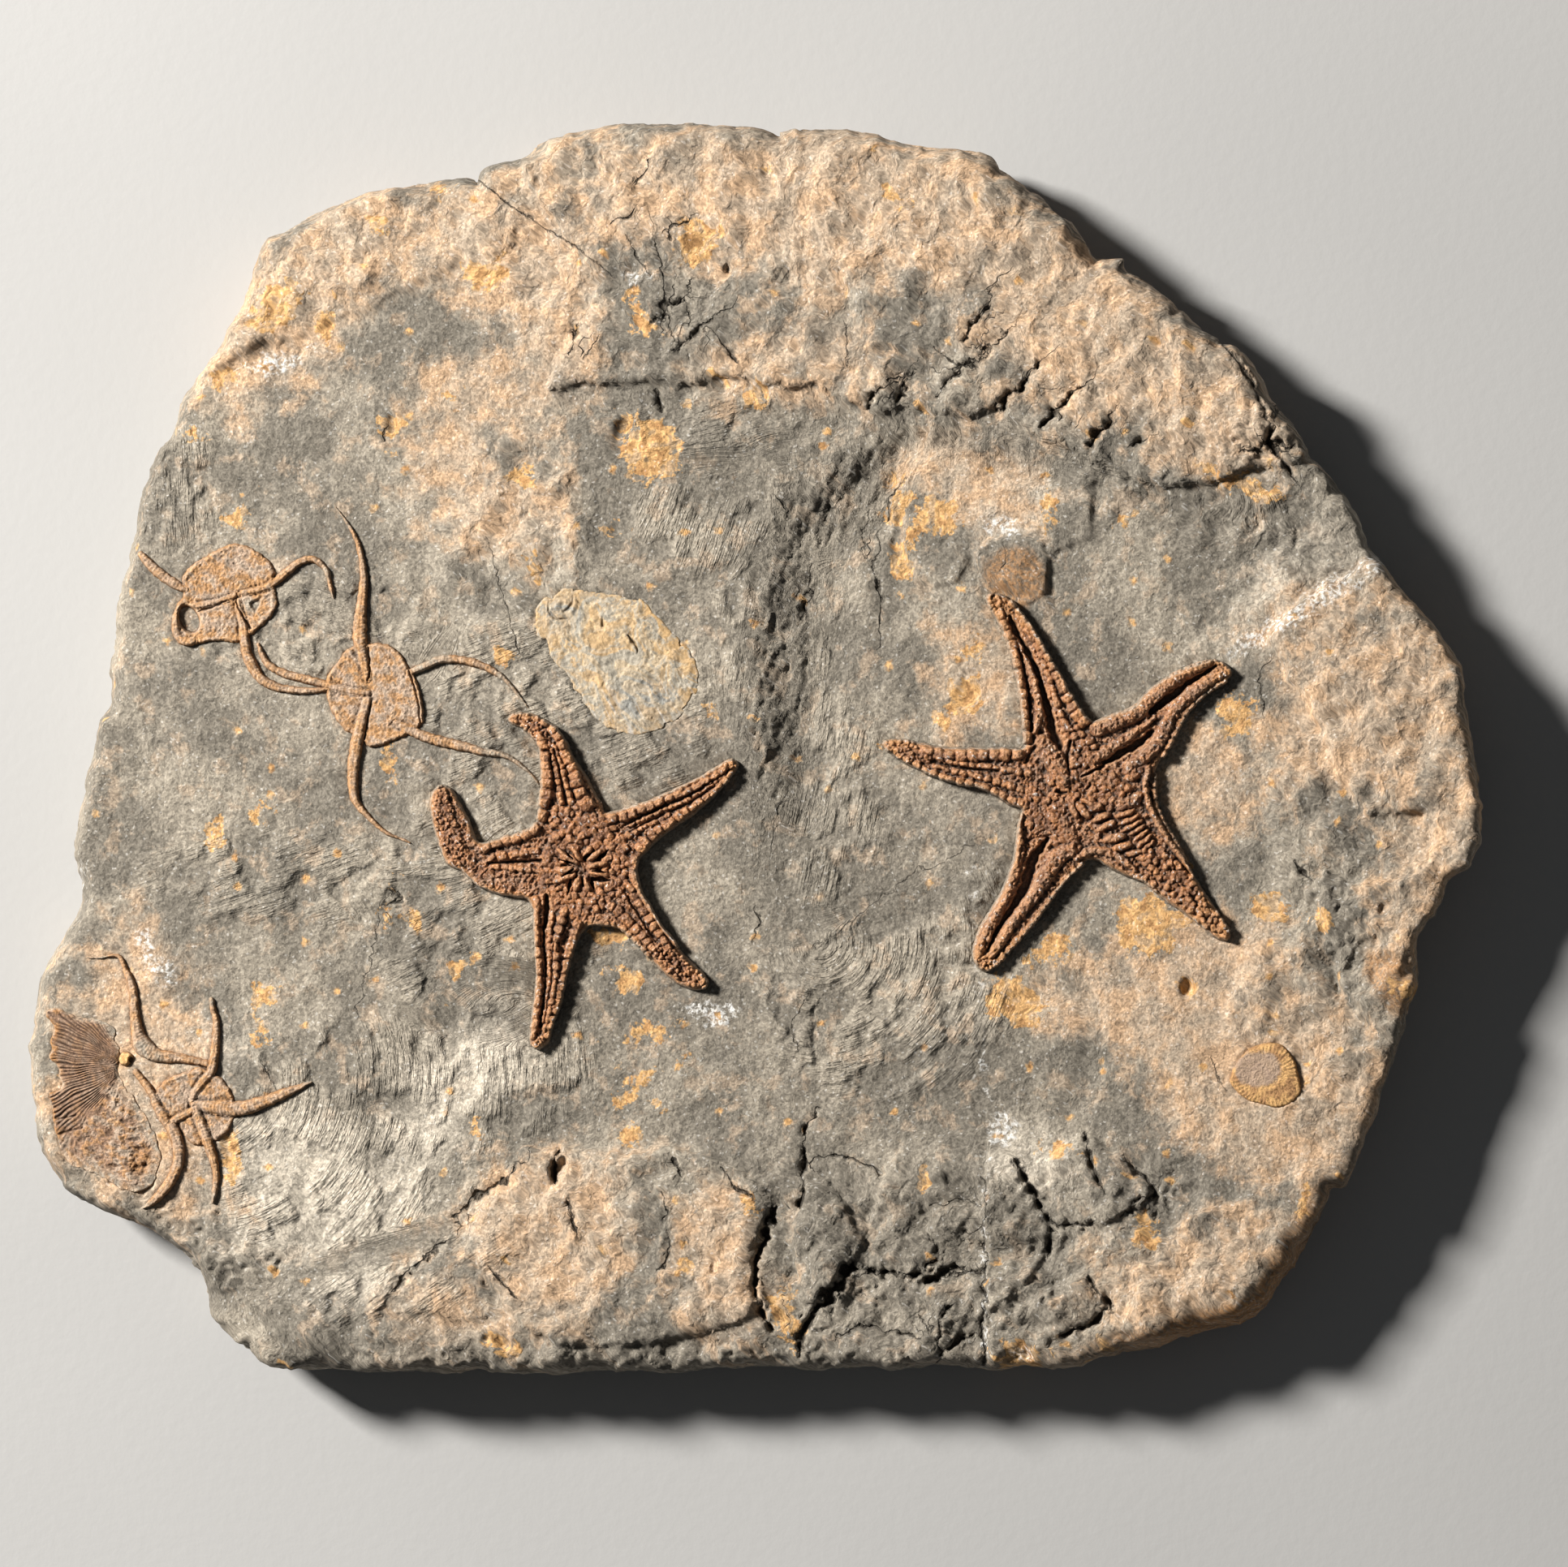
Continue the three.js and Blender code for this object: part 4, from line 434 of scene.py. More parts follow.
        (1.5, 0.76, [(560, 850, 1.4), (640, 880, 2.0), (720, 920, 1.6)]),
        (0.8, 0.86, [(1330, 300, 0.8), (1368, 285, 0.9)]),
    ],
    "mouth": {
        "sheet": LEFT_MOUTH,
        "petals": [
            (690, 715, 612, 600), (668, 740, 480, 612), (655, 790, 470, 800), (640, 830, 440, 905),
            (668, 858, 640, 985), (722, 860, 765, 985), (762, 812, 930, 850), (755, 765, 920, 735),
            (745, 715, 880, 615), (715, 700, 780, 590),
        ],
        "slits": [
            (625, 700, 560, 635, 0.30), (625, 790, 525, 855, 0.40), (700, 870, 712, 935, 0.32),
            (790, 808, 925, 814, 0.30), (715, 700, 785, 645, 0.55), (840, 700, 930, 625, 0.55),
            (600, 880, 575, 1010, 0.45), (640, 745, 500, 705, 0.2), (790, 870, 940, 890, 0.8),
            (780, 880, 800, 965, 0.45),
        ],
    },
}

RIGHT_STARFISH = {
    "node": "starfish_right",
    "sheet": RIGHT,
    "centre": (78.2, -10.3),
    "pitch": 0.185,
    "outline": [
        (1214, 739), (1223, 733), (1239, 737), (1255, 755), (1271, 777), (1290, 809), (1309, 841),
        (1325, 866), (1341, 889), (1367, 882), (1395, 873), (1408, 857), (1427, 841), (1453, 828),
        (1481, 817), (1501, 815), (1515, 828), (1510, 838), (1485, 854), (1465, 873), (1450, 898),
        (1437, 924), (1424, 943), (1421, 965), (1424, 991), (1437, 1019), (1450, 1042), (1462, 1067),
        (1478, 1093), (1497, 1121), (1513, 1147), (1510, 1158), (1494, 1153), (1475, 1137),
        (1453, 1121), (1430, 1105), (1408, 1086), (1383, 1077), (1367, 1069), (1344, 1058),
        (1325, 1070), (1306, 1090), (1290, 1112), (1274, 1134), (1255, 1156), (1233, 1182),
        (1214, 1196), (1201, 1185), (1199, 1166), (1210, 1137), (1226, 1112), (1239, 1086),
        (1249, 1054), (1253, 1023), (1258, 997), (1242, 991), (1223, 978), (1204, 968), (1178, 965),
        (1150, 956), (1121, 943), (1099, 930), (1088, 917), (1102, 911), (1134, 916), (1166, 922),
        (1204, 922), (1239, 922), (1261, 921), (1261, 889), (1257, 854), (1250, 818), (1239, 787),
        (1226, 761),
    ],
    "ridges": [
        (0.95, [(668, 650, 2.4), (700, 690, 2.8), (730, 740, 2.6), (750, 790, 1.8)]),
        (0.84, [(640, 600, 1.0), (655, 540, 1.1), (650, 480, 1.0), (640, 420, 0.9), (622, 360, 0.9),
                (602, 300, 0.8), (590, 270, 0.6)]),
        (0.98, [(880, 590, 2.2), (950, 560, 2.5), (1030, 525, 2.3), (1090, 475, 2.0), (1150, 420, 1.7),
                (1230, 370, 1.4), (1310, 335, 1.2)]),
        (0.84, [(850, 715, 1.7), (920, 670, 1.6), (990, 625, 1.3), (1050, 585, 0.9), (1100, 550, 0.5)]),
        (0.88, [(1000, 735, 1.7), (1070, 690, 1.9), (1120, 630, 1.9), (1150, 570, 1.8), (1185, 510, 1.8),
                (1240, 460, 1.7), (1300, 415, 1.5), (1365, 375, 1.2)]),
        (0.95, [(1075, 740, 0.9), (1065, 800, 0.9), (1072, 860, 0.9), (1095, 920, 0.9), (1125, 975, 0.9),
                (1160, 1030, 0.9), (1200, 1080, 0.9), (1250, 1140, 0.9)]),
        (0.80, [(745, 950, 1.8), (775, 1000, 2.1), (790, 1050, 1.9)]),
        (0.94, [(780, 1060, 2.0), (730, 1080, 2.4), (690, 1140, 2.4), (655, 1200, 2.1), (610, 1265, 1.7),
                (560, 1330, 1.5), (515, 1400, 1.4), (470, 1465, 1.1)]),
        (0.90, [(582, 925, 0.9), (580, 980, 0.8), (577, 1040, 0.8), (570, 1100, 0.8), (552, 1160, 0.85),
                (535, 1220, 0.9), (505, 1280, 0.95), (470, 1340, 1.0), (440, 1400, 1.0), (425, 1460, 1.0)]),
        (0.85, [(800, 1090, 1.0), (840, 1065, 1.3), (900, 1060, 1.2), (960, 1085, 1.2), (1020, 1130, 1.0)]),
        (0.82, [(830, 770, 1.8), (880, 780, 2.2), (930, 800, 1.8)]),
        (0.84, [(940, 870, 1.5), (1000, 875, 1.8), (1040, 850, 1.4)]),
    ],
    "rows": [
        (2.6, 0.92, 3.2, [(610, 640, 1.3), (600, 590, 1.35), (597, 540, 1.35), (592, 490, 1.3), (586, 440, 1.3),
                          (577, 390, 1.2), (567, 340, 1.2), (560, 290, 1.15), (546, 250, 1.1), (530, 210, 1.1),
                          (514, 170, 1.0), (500, 135, 1.0)]),
        (2.1, 0.86, 2.5, [(772, 610, 0.9), (752, 565, 0.9), (736, 530, 0.9), (722, 480, 0.85), (707, 430, 0.8),
                          (695, 390, 0.8), (680, 350, 0.75), (660, 300, 0.7), (640, 260, 0.7), (614, 220, 0.6),
                          (588, 180, 0.6), (568, 148, 0.5)]),
        (2.3, 1.0, 4.5, [(838, 575, 1.6), (800, 530, 1.55), (776, 490, 1.45), (756, 455, 1.35), (740, 415, 1.3),
                         (722, 375, 1.3), (705, 340, 1.25), (688, 300, 1.2), (664, 260, 1.15), (638, 215, 1.1),
                         (608, 170, 1.05), (580, 130, 1.0), (545, 100, 0.9)]),
        (2.2, 0.7, 2.4, [(640, 560, 0.7), (650, 500, 0.7), (640, 440, 0.65), (625, 380, 0.6), (607, 320, 0.6)]),
        (2.7, 0.96, 2.8, [(595, 690, 1.35), (545, 690, 1.4), (500, 690, 1.4), (450, 692, 1.4), (400, 694, 1.35),
                          (350, 695, 1.3), (300, 692, 1.2), (250, 682, 1.1), (205, 668, 0.9)]),
        (2.0, 0.86, 2.4, [(625, 765, 0.9), (570, 755, 0.9), (515, 748, 0.9), (460, 738, 0.85), (410, 733, 0.8),
                          (360, 727, 0.7), (310, 717, 0.6), (262, 704, 0.5)]),
        (2.1, 0.86, 2.6, [(630, 840, 0.9), (580, 822, 0.9), (530, 805, 0.9), (480, 790, 0.85), (420, 774, 0.8),
                          (360, 762, 0.75), (300, 747, 0.7), (250, 733, 0.6)]),
        (2.3, 0.88, 3.2, [(600, 880, 1.0), (548, 862, 1.0), (500, 838, 1.0), (455, 820, 1.0), (410, 807, 0.95),
                          (360, 796, 0.9), (310, 782, 0.9), (260, 766, 0.9), (215, 746, 0.85), (170, 720, 0.8)]),
        (1.7, 0.86, 2.6, [(585, 1010, 0.55), (592, 1060, 0.55), (578, 1120, 0.5), (560, 1180, 0.5), (535, 1240, 0.5),
                          (505, 1300, 0.5), (475, 1360, 0.5), (455, 1410, 0.5)]),
        (1.9, 0.74, 3.0, [(830, 1110, 1.0), (780, 1160, 1.1), (735, 1215, 1.1), (690, 1262, 1.0), (640, 1325, 1.0),
                          (590, 1385, 1.0), (540, 1440, 0.9), (485, 1500, 0.8)]),
        (1.7, 0.7, 3.0, [(1108, 760, 0.7), (1100, 830, 0.7), (1108, 890, 0.7), (1135, 950, 0.7), (1170, 1010, 0.7),
                         (1210, 1065, 0.7), (1255, 1125, 0.7)]),
        (1.9, 0.72, 3.0, [(1130, 700, 0.8), (1165, 640, 0.9), (1190, 585, 0.9), (1225, 530, 0.9), (1275, 485, 0.9),
                          (1330, 440, 0.8), (1375, 400, 0.7)]),
        (2.0, 0.94, 3.0, [(920, 552, 0.6), (980, 528, 0.6), (1040, 495, 0.6), (1100, 440, 0.6), (1160, 395, 0.6),
                          (1230, 350, 0.6), (1300, 325, 0.6)]),
    ],
    "ribs": [  # leaf-like plates lying across the lower right arm: from, to, half width, rise
        (845, 905, 900, 880, 0.75, 0.90), (862, 945, 925, 918, 0.8, 0.92), (880, 982, 945, 948, 0.8, 0.92),
        (905, 1022, 985, 1000, 0.95, 0.95), (940, 1052, 1010, 1035, 0.9, 0.92), (955, 905, 1000, 880, 0.6, 0.86),
        (950, 930, 1020, 905, 0.6, 0.88), (960, 958, 1040, 925, 0.55, 0.88), (972, 985, 1050, 945, 0.5, 0.88),
        (1000, 1000, 1062, 962, 0.5, 0.88), (1020, 1022, 1075, 980, 0.5, 0.86), (1035, 1045, 1085, 1000, 0.5, 0.86),
        (1055, 1060, 1095, 1022, 0.45, 0.84), (990, 1075, 1050, 1062, 0.7, 0.88), (1040, 1095, 1100, 1075, 0.8, 0.9),
        (800, 880, 850, 930, 0.9, 0.9), (770, 870, 800, 930, 0.8, 0.88), (820, 860, 880, 900, 0.7, 0.88),
    ],
    "grooves": [
        (0.00, [(735, 660, 0.9), (712, 610, 1.5), (700, 560, 1.4), (685, 500, 1.1), (668, 440, 0.9),
                (652, 380, 0.8), (632, 330, 0.9), (608, 290, 0.9), (585, 245, 0.5), (568, 215, 1.0),
                (552, 180, 0.9), (542, 158, 0.4)]),
        (0.20, [(628, 600, 0.4), (622, 540, 0.5), (618, 470, 0.45), (606, 400, 0.4), (590, 330, 0.4),
                (575, 280, 0.3)]),
        (0.00, [(905, 722, 0.6), (945, 700, 1.0), (1000, 668, 1.2), (1050, 640, 1.1), (1090, 600, 0.8)]),
        (0.00, [(1085, 530, 0.7), (1130, 490, 1.1), (1180, 455, 1.1), (1230, 415, 0.8), (1290, 380, 0.55),
                (1335, 350, 0.35)]),
        (0.25, [(500, 752, 0.3), (440, 748, 0.35), (370, 742, 0.35), (300, 730, 0.3), (240, 715, 0.25)]),
        (0.0, [(690, 1015, 0.6), (655, 1060, 1.3), (628, 1110, 1.9), (612, 1165, 1.8), (585, 1225, 1.4),
               (545, 1290, 1.0), (505, 1350, 0.7), (478, 1400, 0.5), (458, 1445, 0.35)]),
        (0.2, [(820, 775, 0.3), (870, 750, 0.4), (905, 735, 0.5)]),
        (0.25, [(775, 640, 0.4), (765, 700, 0.4), (768, 750, 0.3)]),
        (0.3, [(640, 660, 0.6), (620, 690, 0.7), (605, 720, 0.4)]),
        (0.35, [(725, 830, 0.5), (745, 838, 0.75), (762, 834, 0.45)]),
        (0.4, [(985, 1128, 0.4), (1012, 1135, 0.5)]),
        (0.45, [(830, 830, 0.35), (852, 812, 0.45), (850, 800, 0.3)]),
        (0.35, [(610, 1020, 0.3), (650, 1010, 0.4), (700, 1000, 0.4)]),
    ],
    "pebbles": [
        (1.15, 0.86, [(475, 95, 1.6), (500, 120, 1.6)]),
        (1.05, 0.84, [(75, 655, 1.0), (120, 665, 2.0), (170, 685, 2.4), (215, 700, 1.8)]),
        (1.5, 0.9, [(1070, 1080, 2.2), (1130, 1110, 3.0), (1190, 1180, 3.2), (1250, 1250, 2.8), (1310, 1320, 2.3),
                    (1360, 1375, 1.6)]),
        (0.9, 0.84, [(1340, 345, 1.2), (1375, 365, 1.2)]),
        (0.9, 0.86, [(430, 1480, 1.6), (470, 1500, 1.4)]),
        (1.6, 0.82, [(870, 760, 2.0), (900, 850, 3.2), (880, 800, 3.0), (960, 830, 3.0)]),
        (1.5, 0.78, [(620, 850, 2.6), (680, 910, 3.2), (740, 880, 3.0), (780, 830, 2.6)]),
        (1.7, 0.84, [(780, 620, 2.6), (840, 680, 2.8), (800, 730, 2.6), (730, 800, 2.4)]),
        (1.6, 0.80, [(1000, 760, 1.8), (1050, 720, 1.6)]),
        (1.2, 0.74, [(1060, 1160, 1.8), (1090, 1210, 1.6)]),
        (1.5, 0.78, [(640, 960, 2.0), (690, 950, 2.4), (740, 1010, 2.2)]),
    ],
}


# ---- the brittle stars ---------------------------------------------------------------------------
# Arms run from the tip inwards, with half widths.

UPPER_BRITTLE_STAR = {
    "node": "brittle_star_upper",
    "sheet": UPPER,
    "pitch": 0.15,
    "disc": [
        (445, 575), (500, 515), (600, 445), (700, 390), (800, 350), (930, 375), (1030, 435), (1085, 500),
        (1108, 590), (1115, 680), (1125, 780), (1100, 850), (1040, 920), (980, 970), (940, 1010),
        (850, 1060), (750, 1055), (650, 1050), (560, 1070), (480, 1090), (420, 1070), (380, 1000),
        (365, 920), (380, 850), (410, 780), (450, 720), (440, 640),
    ],
    "arms": [
        [(150, 430, 0.9), (200, 485, 1.2), (260, 545, 1.35), (330, 600, 1.45), (400, 645, 1.4), (460, 680, 0.9)],
        [(1525, 745, 0.25), (1510, 690, 0.5), (1490, 610, 0.7), (1470, 540, 0.8), (1420, 485, 0.9),
         (1350, 462, 0.95), (1280, 485, 1.0), (1200, 545, 1.1), (1120, 615, 1.1), (1050, 660, 1.0),
         (960, 690, 0.9), (870, 705, 0.7)],
        [(530, 1045, 0.9), (480, 1055, 1.2), (425, 1025, 1.2), (398, 970, 1.1), (398, 915, 1.0), (425, 860, 1.0),
         (475, 815, 1.0), (540, 795, 0.95), (620, 785, 0.9), (700, 765, 0.85), (780, 740, 0.8), (840, 715, 0.7)],
        [(1525, 1378, 0.6), (1400, 1400, 0.8), (1290, 1402, 1.0), (1180, 1388, 1.1), (1080, 1362, 1.25),
         (990, 1300, 1.4), (930, 1200, 1.45),
         (900, 1110, 1.4), (890, 1020, 1.4), (880, 930, 1.2), (855, 840, 1.0), (840, 760, 0.8)],
    ],
    "hollow": (492, 893, 2.1, 3.1, 24),
    "worn": [(1480, 560, 60), (1530, 740, 60), (1480, 480, 50), (930, 800, 60)],
    "window": [(915, 775), (1015, 725), (1005, 790), (965, 860)],
    "steps": [[(835, 710, 0.3), (840, 800, 0.35), (900, 900, 0.4), (935, 960, 0.35)],
              [(560, 835, 0.25), (660, 805, 0.3), (760, 760, 0.25)],
              [(600, 1075, 0.2), (720, 1060, 0.2), (840, 1075, 0.2)]],
    "crown": 0.9,
}
MIDDLE_BRITTLE_STAR = {
    "node": "brittle_star_middle",
    "sheet": MIDDLE,
    "pitch": 0.16,
    "disc": [
        (265, 640), (340, 640), (390, 670), (425, 720), (450, 760), (475, 810), (490, 870), (500, 930),
        (495, 985), (460, 1020), (400, 1045), (330, 1075), (265, 1085), (235, 1060), (205, 1040),
        (160, 1010), (120, 960), (90, 900), (80, 850), (78, 800), (100, 750), (150, 690), (190, 650),
    ],
    "arms": [
        [(122, 55, 0.2), (160, 105, 0.4), (195, 160, 0.6), (220, 220, 0.8), (235, 290, 0.9), (243, 360, 1.15),
         (237, 440, 1.35), (230, 500, 1.5), (226, 580, 1.9), (228, 640, 1.8), (240, 700, 1.4), (258, 790, 1.0)],
        [(945, 912, 0.25), (920, 878, 0.4), (890, 840, 0.55), (850, 795, 0.7), (810, 765, 0.9), (750, 735, 1.05),
         (690, 716, 1.1), (620, 706, 1.1), (560, 712, 1.1), (500, 738, 1.0), (440, 765, 0.9)],
        [(990, 1240, 0.25), (960, 1200, 0.4), (920, 1165, 0.55), (870, 1130, 0.75), (820, 1112, 0.9),
         (760, 1105, 1.0), (700, 1088, 1.2), (620, 1070, 1.4), (560, 1055, 1.4), (500, 1035, 1.4),
         (440, 1010, 1.3), (380, 980, 0.8)],
        [(440, 1492, 0.3), (400, 1475, 0.4), (350, 1455, 0.55), (300, 1420, 0.7), (265, 1382, 0.8),
         (225, 1340, 1.0), (202, 1290, 1.3), (195, 1220, 1.5), (200, 1150, 1.6), (210, 1080, 1.7),
         (222, 1020, 1.7), (235, 960, 1.5), (258, 880, 1.1)],
        [(-208, 645, 0.5), (-190, 690, 0.8), (-160, 735, 1.0), (-90, 770, 1.1), (-20, 788, 1.15), (50, 806, 1.15),
         (120, 828, 1.1), (200, 845, 1.0), (262, 850, 0.8)],
    ],
    "worn": [(500, 738, 50), (560, 715, 60), (860, 810, 80), (930, 890, 90), (810, 1112, 80), (890, 1150, 90),
             (975, 1220, 90), (122, 60, 60), (150, 110, 50)],
    "steps": [[(262, 660, 0.3), (268, 740, 0.3), (262, 800, 0.25)],
              [(275, 890, 0.3), (262, 960, 0.35), (248, 1050, 0.3)],
              [(440, 760, 0.3), (462, 830, 0.35), (478, 900, 0.35), (485, 980, 0.3)]],
    "crown": 1.0,
}
LOWER_BRITTLE_STAR = {
    "node": "brittle_star_lower",
    "sheet": LOWER,
    "pitch": 0.16,
    "disc": [
        (700, 770), (740, 720), (800, 690), (880, 665), (940, 650), (1010, 690), (1060, 730), (1095, 790),
        (1105, 840), (1100, 930), (1080, 980), (1040, 1020), (1000, 1040), (930, 1065), (880, 1055),
        (830, 1000), (800, 940), (740, 920), (690, 880), (680, 830),
    ],
    "arms": [
        [(330, 82, 0.2), (400, 85, 0.35), (470, 72, 0.35), (510, 85, 0.6), (540, 150, 0.9), (565, 210, 1.1),
         (580, 280, 1.25), (583, 350, 1.3), (590, 420, 1.5), (605, 490, 2.0), (630, 545, 2.5), (700, 590, 1.9),
         (780, 602, 1.5), (860, 612, 1.2), (930, 628, 1.0), (985, 640, 0.9)],
        [(985, 300, 0.7), (995, 360, 0.85), (1010, 420, 0.95), (1010, 490, 1.1), (1005, 560, 1.2),
         (995, 620, 1.3), (980, 680, 1.3), (940, 730, 1.1), (900, 780, 1.0), (880, 830, 0.8)],
        [(1505, 732, 0.4), (1450, 755, 0.8), (1390, 780, 1.2), (1320, 810, 1.5), (1250, 838, 1.7),
         (1180, 860, 1.9), (1110, 870, 2.0), (1040, 865, 2.0), (960, 858, 1.6), (890, 848, 1.0)],
        [(992, 1358, 0.4), (1003, 1290, 0.8), (1010, 1220, 0.9), (1000, 1150, 1.1), (975, 1070, 1.3),
         (950, 1000, 1.4), (922, 930, 1.4), (900, 870, 1.2)],
        [(630, 1388, 0.4), (670, 1360, 0.9), (720, 1312, 1.2), (765, 1255, 1.4), (800, 1190, 1.5),
         (815, 1120, 1.6), (810, 1050, 1.7), (785, 980, 1.7), (745, 925, 1.5), (705, 865, 1.3), (680, 800, 1.1),
         (640, 740, 1.1), (595, 680, 1.0)],
        [(770, 940, 1.1), (820, 915, 1.1), (880, 880, 0.9)],
    ],
    "steps": [[(640, 655, 0.45), (700, 668, 0.9), (780, 662, 0.8), (850, 650, 0.4), (930, 645, 0.2)]],
    "worn": [(330, 82, 60), (400, 85, 50), (985, 300, 40), (1500, 735, 40), (990, 1350, 50), (640, 560, 60),
             (700, 620, 50), (620, 1388, 50)],
    "crown": 0.8,
}

FAN = {
    "outline": [
        (130, 355), (190, 350), (300, 385), (400, 400), (470, 440), (500, 520), (505, 580), (505, 660),
        (530, 740), (590, 820), (650, 910), (690, 1000), (715, 1080), (715, 1170), (680, 1250), (610, 1310),
        (540, 1300), (450, 1250), (370, 1210), (290, 1180), (220, 1140), (190, 1070), (170, 1000),
        (150, 930), (140, 850), (135, 790), (190, 770), (195, 700), (150, 620), (150, 540), (160, 460),
        (130, 400),
    ],
    "hinge": (560, 640),
    "boss": (540, 610, 1.9),
    "ledges": [[(150, 925, 0.3), (210, 920, 0.4), (280, 905, 0.3)], [(160, 1015, 0.3), (230, 990, 0.45),
                                                                     (310, 970, 0.3)]],
    "pit": (610, 1150, 75, 85),
}
OVAL_SHELL = [
    (230, 430), (260, 350), (330, 270), (430, 220), (560, 215), (700, 240), (830, 260), (950, 270),
    (1050, 310), (1110, 380), (1190, 460), (1280, 560), (1390, 670), (1440, 780), (1465, 920), (1430, 1020),
    (1380, 1100), (1280, 1200), (1150, 1270), (1000, 1300), (850, 1285), (760, 1240), (680, 1180),
    (600, 1080), (540, 1000), (500, 900), (440, 820), (370, 740), (310, 640), (250, 560), (220, 490),
]
ROUND_SHELL = [
    (410, 800), (450, 680), (530, 570), (640, 470), (760, 420), (900, 405), (1010, 440), (1100, 540),
    (1150, 640), (1180, 760), (1212, 880), (1200, 990), (1130, 1080), (1020, 1130), (900, 1150),
    (780, 1110), (650, 1080), (540, 1020), (450, 930), (405, 860),
]


# ---- lines and outlines --------------------------------------------------------------------------

def from_sheet(sheet, points):
    """Points drawn on a sheet, as places on the slab. A third number is kept as it is."""
    left, top, unit = sheet
    return [(left + p[0] * unit, top - p[1] * unit, *p[2:]) for p in points]


def curve_through(points, step, closed=False):
    """Points about every step mm on a smooth curve through the given ones."""
    p = np.array(points, float)
    if closed:
        q = np.vstack([p[-1:], p, p[:2]])
    else:
        q = np.vstack([2 * p[0] - p[1], p, 2 * p[-1] - p[-2]])
    pieces = []
    for a, b, c, d in zip(q, q[1:], q[2:], q[3:]):
        count = max(1, math.ceil(math.dist(b[:2], c[:2]) / step))
        t = (np.arange(count) / count)[:, None]
        pieces.append(0.5 * (2 * b + (c - a) * t + (2 * a - 5 * b + 4 * c - d) * t ** 2
                             + (3 * b - a - 3 * c + d) * t ** 3))
    if not closed:
        pieces.append(p[-1:])
    return np.vstack(pieces)


def near_line(x, y, line):
    """Distance from a line, length along it, side of it and its half width at the nearest point."""
    best = np.full(x.shape, 1e18)
    along, side, half = np.zeros(x.shape), np.zeros(x.shape), np.zeros(x.shape)
    run = 0.0
    for p, q in zip(line[:-1], line[1:]):
        dx, dy = q[0] - p[0], q[1] - p[1]
        length = math.hypot(dx, dy) or 1e-9
        ox, oy = x - p[0], y - p[1]
        t = np.clip((ox * dx + oy * dy) / length ** 2, 0, 1)
        ex, ey = ox - t * dx, oy - t * dy
        gap = ex * ex + ey * ey
        closer = gap < best
        best = np.where(closer, gap, best)
        along = np.where(closer, run + t * length, along)
        side = np.where(closer, (dx * oy - dy * ox) / length, side)
        if len(p) > 2:
            half = np.where(closer, p[2] + t * (q[2] - p[2]), half)
        run += length
    return np.sqrt(best), along, side, half


def inside_by(x, y, outline):
    """How far each place lies inside a closed outline, negative outside."""
    best = np.full(x.shape, 1e18)
    inside = np.zeros(x.shape, bool)
    for p, q in zip(outline, np.roll(outline, -1, axis=0)):
        dx, dy = q[0] - p[0], q[1] - p[1]
        ox, oy = x - p[0], y - p[1]
        t = np.clip((ox * dx + oy * dy) / (dx * dx + dy * dy + 1e-12), 0, 1)
        best = np.minimum(best, (ox - t * dx) ** 2 + (oy - t * dy) ** 2)
        if dy:
            crosses = ((p[1] > y) != (q[1] > y)) & (x < dx * oy / dy + p[0])
            inside ^= crosses
    return np.where(inside, 1, -1) * np.sqrt(best)


def near_box(x, y, points, reach):
    """Which places lie within reach of the points' box."""
    p = np.array([q[:2] for q in points])
    low, high = p.min(axis=0) - reach, p.max(axis=0) + reach
    return (x > low[0]) & (x < high[0]) & (y > low[1]) & (y < high[1])


def ease(value, low, high):
    """0 below low, 1 above high, and a smooth step between them."""
    t = np.clip((value - low) / (high - low), 0, 1)
    return t * t * (3 - 2 * t)


def inside_oval(x, y, oval):
    """How far each place lies inside a turned oval drawn on the whole sheet, in mm."""
    (cx, cy), = from_sheet(WHOLE, [oval[:2]])
    across, down = oval[2] * WHOLE[2], oval[3] * WHOLE[2]
    turn = math.radians(oval[4])
    dx, dy = x - cx, y - cy
    a = (dx * math.cos(turn) - dy * math.sin(turn)) / across
    b = (dx * math.sin(turn) + dy * math.cos(turn)) / down
    return (1 - np.hypot(a, b)) * min(across, down)


def inside_ovals(x, y, ovals):
    """How far each place lies inside the nearest of some ovals."""
    best = np.full(x.shape, -60.0)
    for oval in ovals:
        np.maximum(best, inside_oval(x, y, oval), out=best)
    return best


# ---- steady noise ----------------------------------------------------------------------------------

def scatter(ix, iy, seed):
    """A steady random number from 0 to 1 for each whole-number place."""
    h = (np.int64(ix) * 0x27D4EB2D + np.int64(iy) * 0x165667B1 + seed * 0x9E3779B1) & 0xFFFFFFFF
    for shift, factor in ((15, 0x2C1B3C6D), (12, 0x297A2D39)):
        h = ((h ^ (h >> shift)) * factor) & 0xFFFFFFFF
    return ((h ^ (h >> 15)) & 0xFFFFFF) / 0xFFFFFF


def waves(x, y, size, seed):
    """Smooth noise from about -1 to 1, its bumps of the given size."""
    u, v = np.asarray(x) / size, np.asarray(y) / size
    iu, iv = np.floor(u), np.floor(v)
    fu, fv = u - iu, v - iv
    su, sv = fu ** 3 * (fu * (fu * 6 - 15) + 10), fv ** 3 * (fv * (fv * 6 - 15) + 10)
    total = 0
    for a in (0, 1):
        for b in (0, 1):
            angle = scatter(iu + a, iv + b, seed) * math.tau
            slope = np.cos(angle) * (fu - a) + np.sin(angle) * (fv - b)
            total = total + (su if a else 1 - su) * (sv if b else 1 - sv) * slope
    return total * 1.5


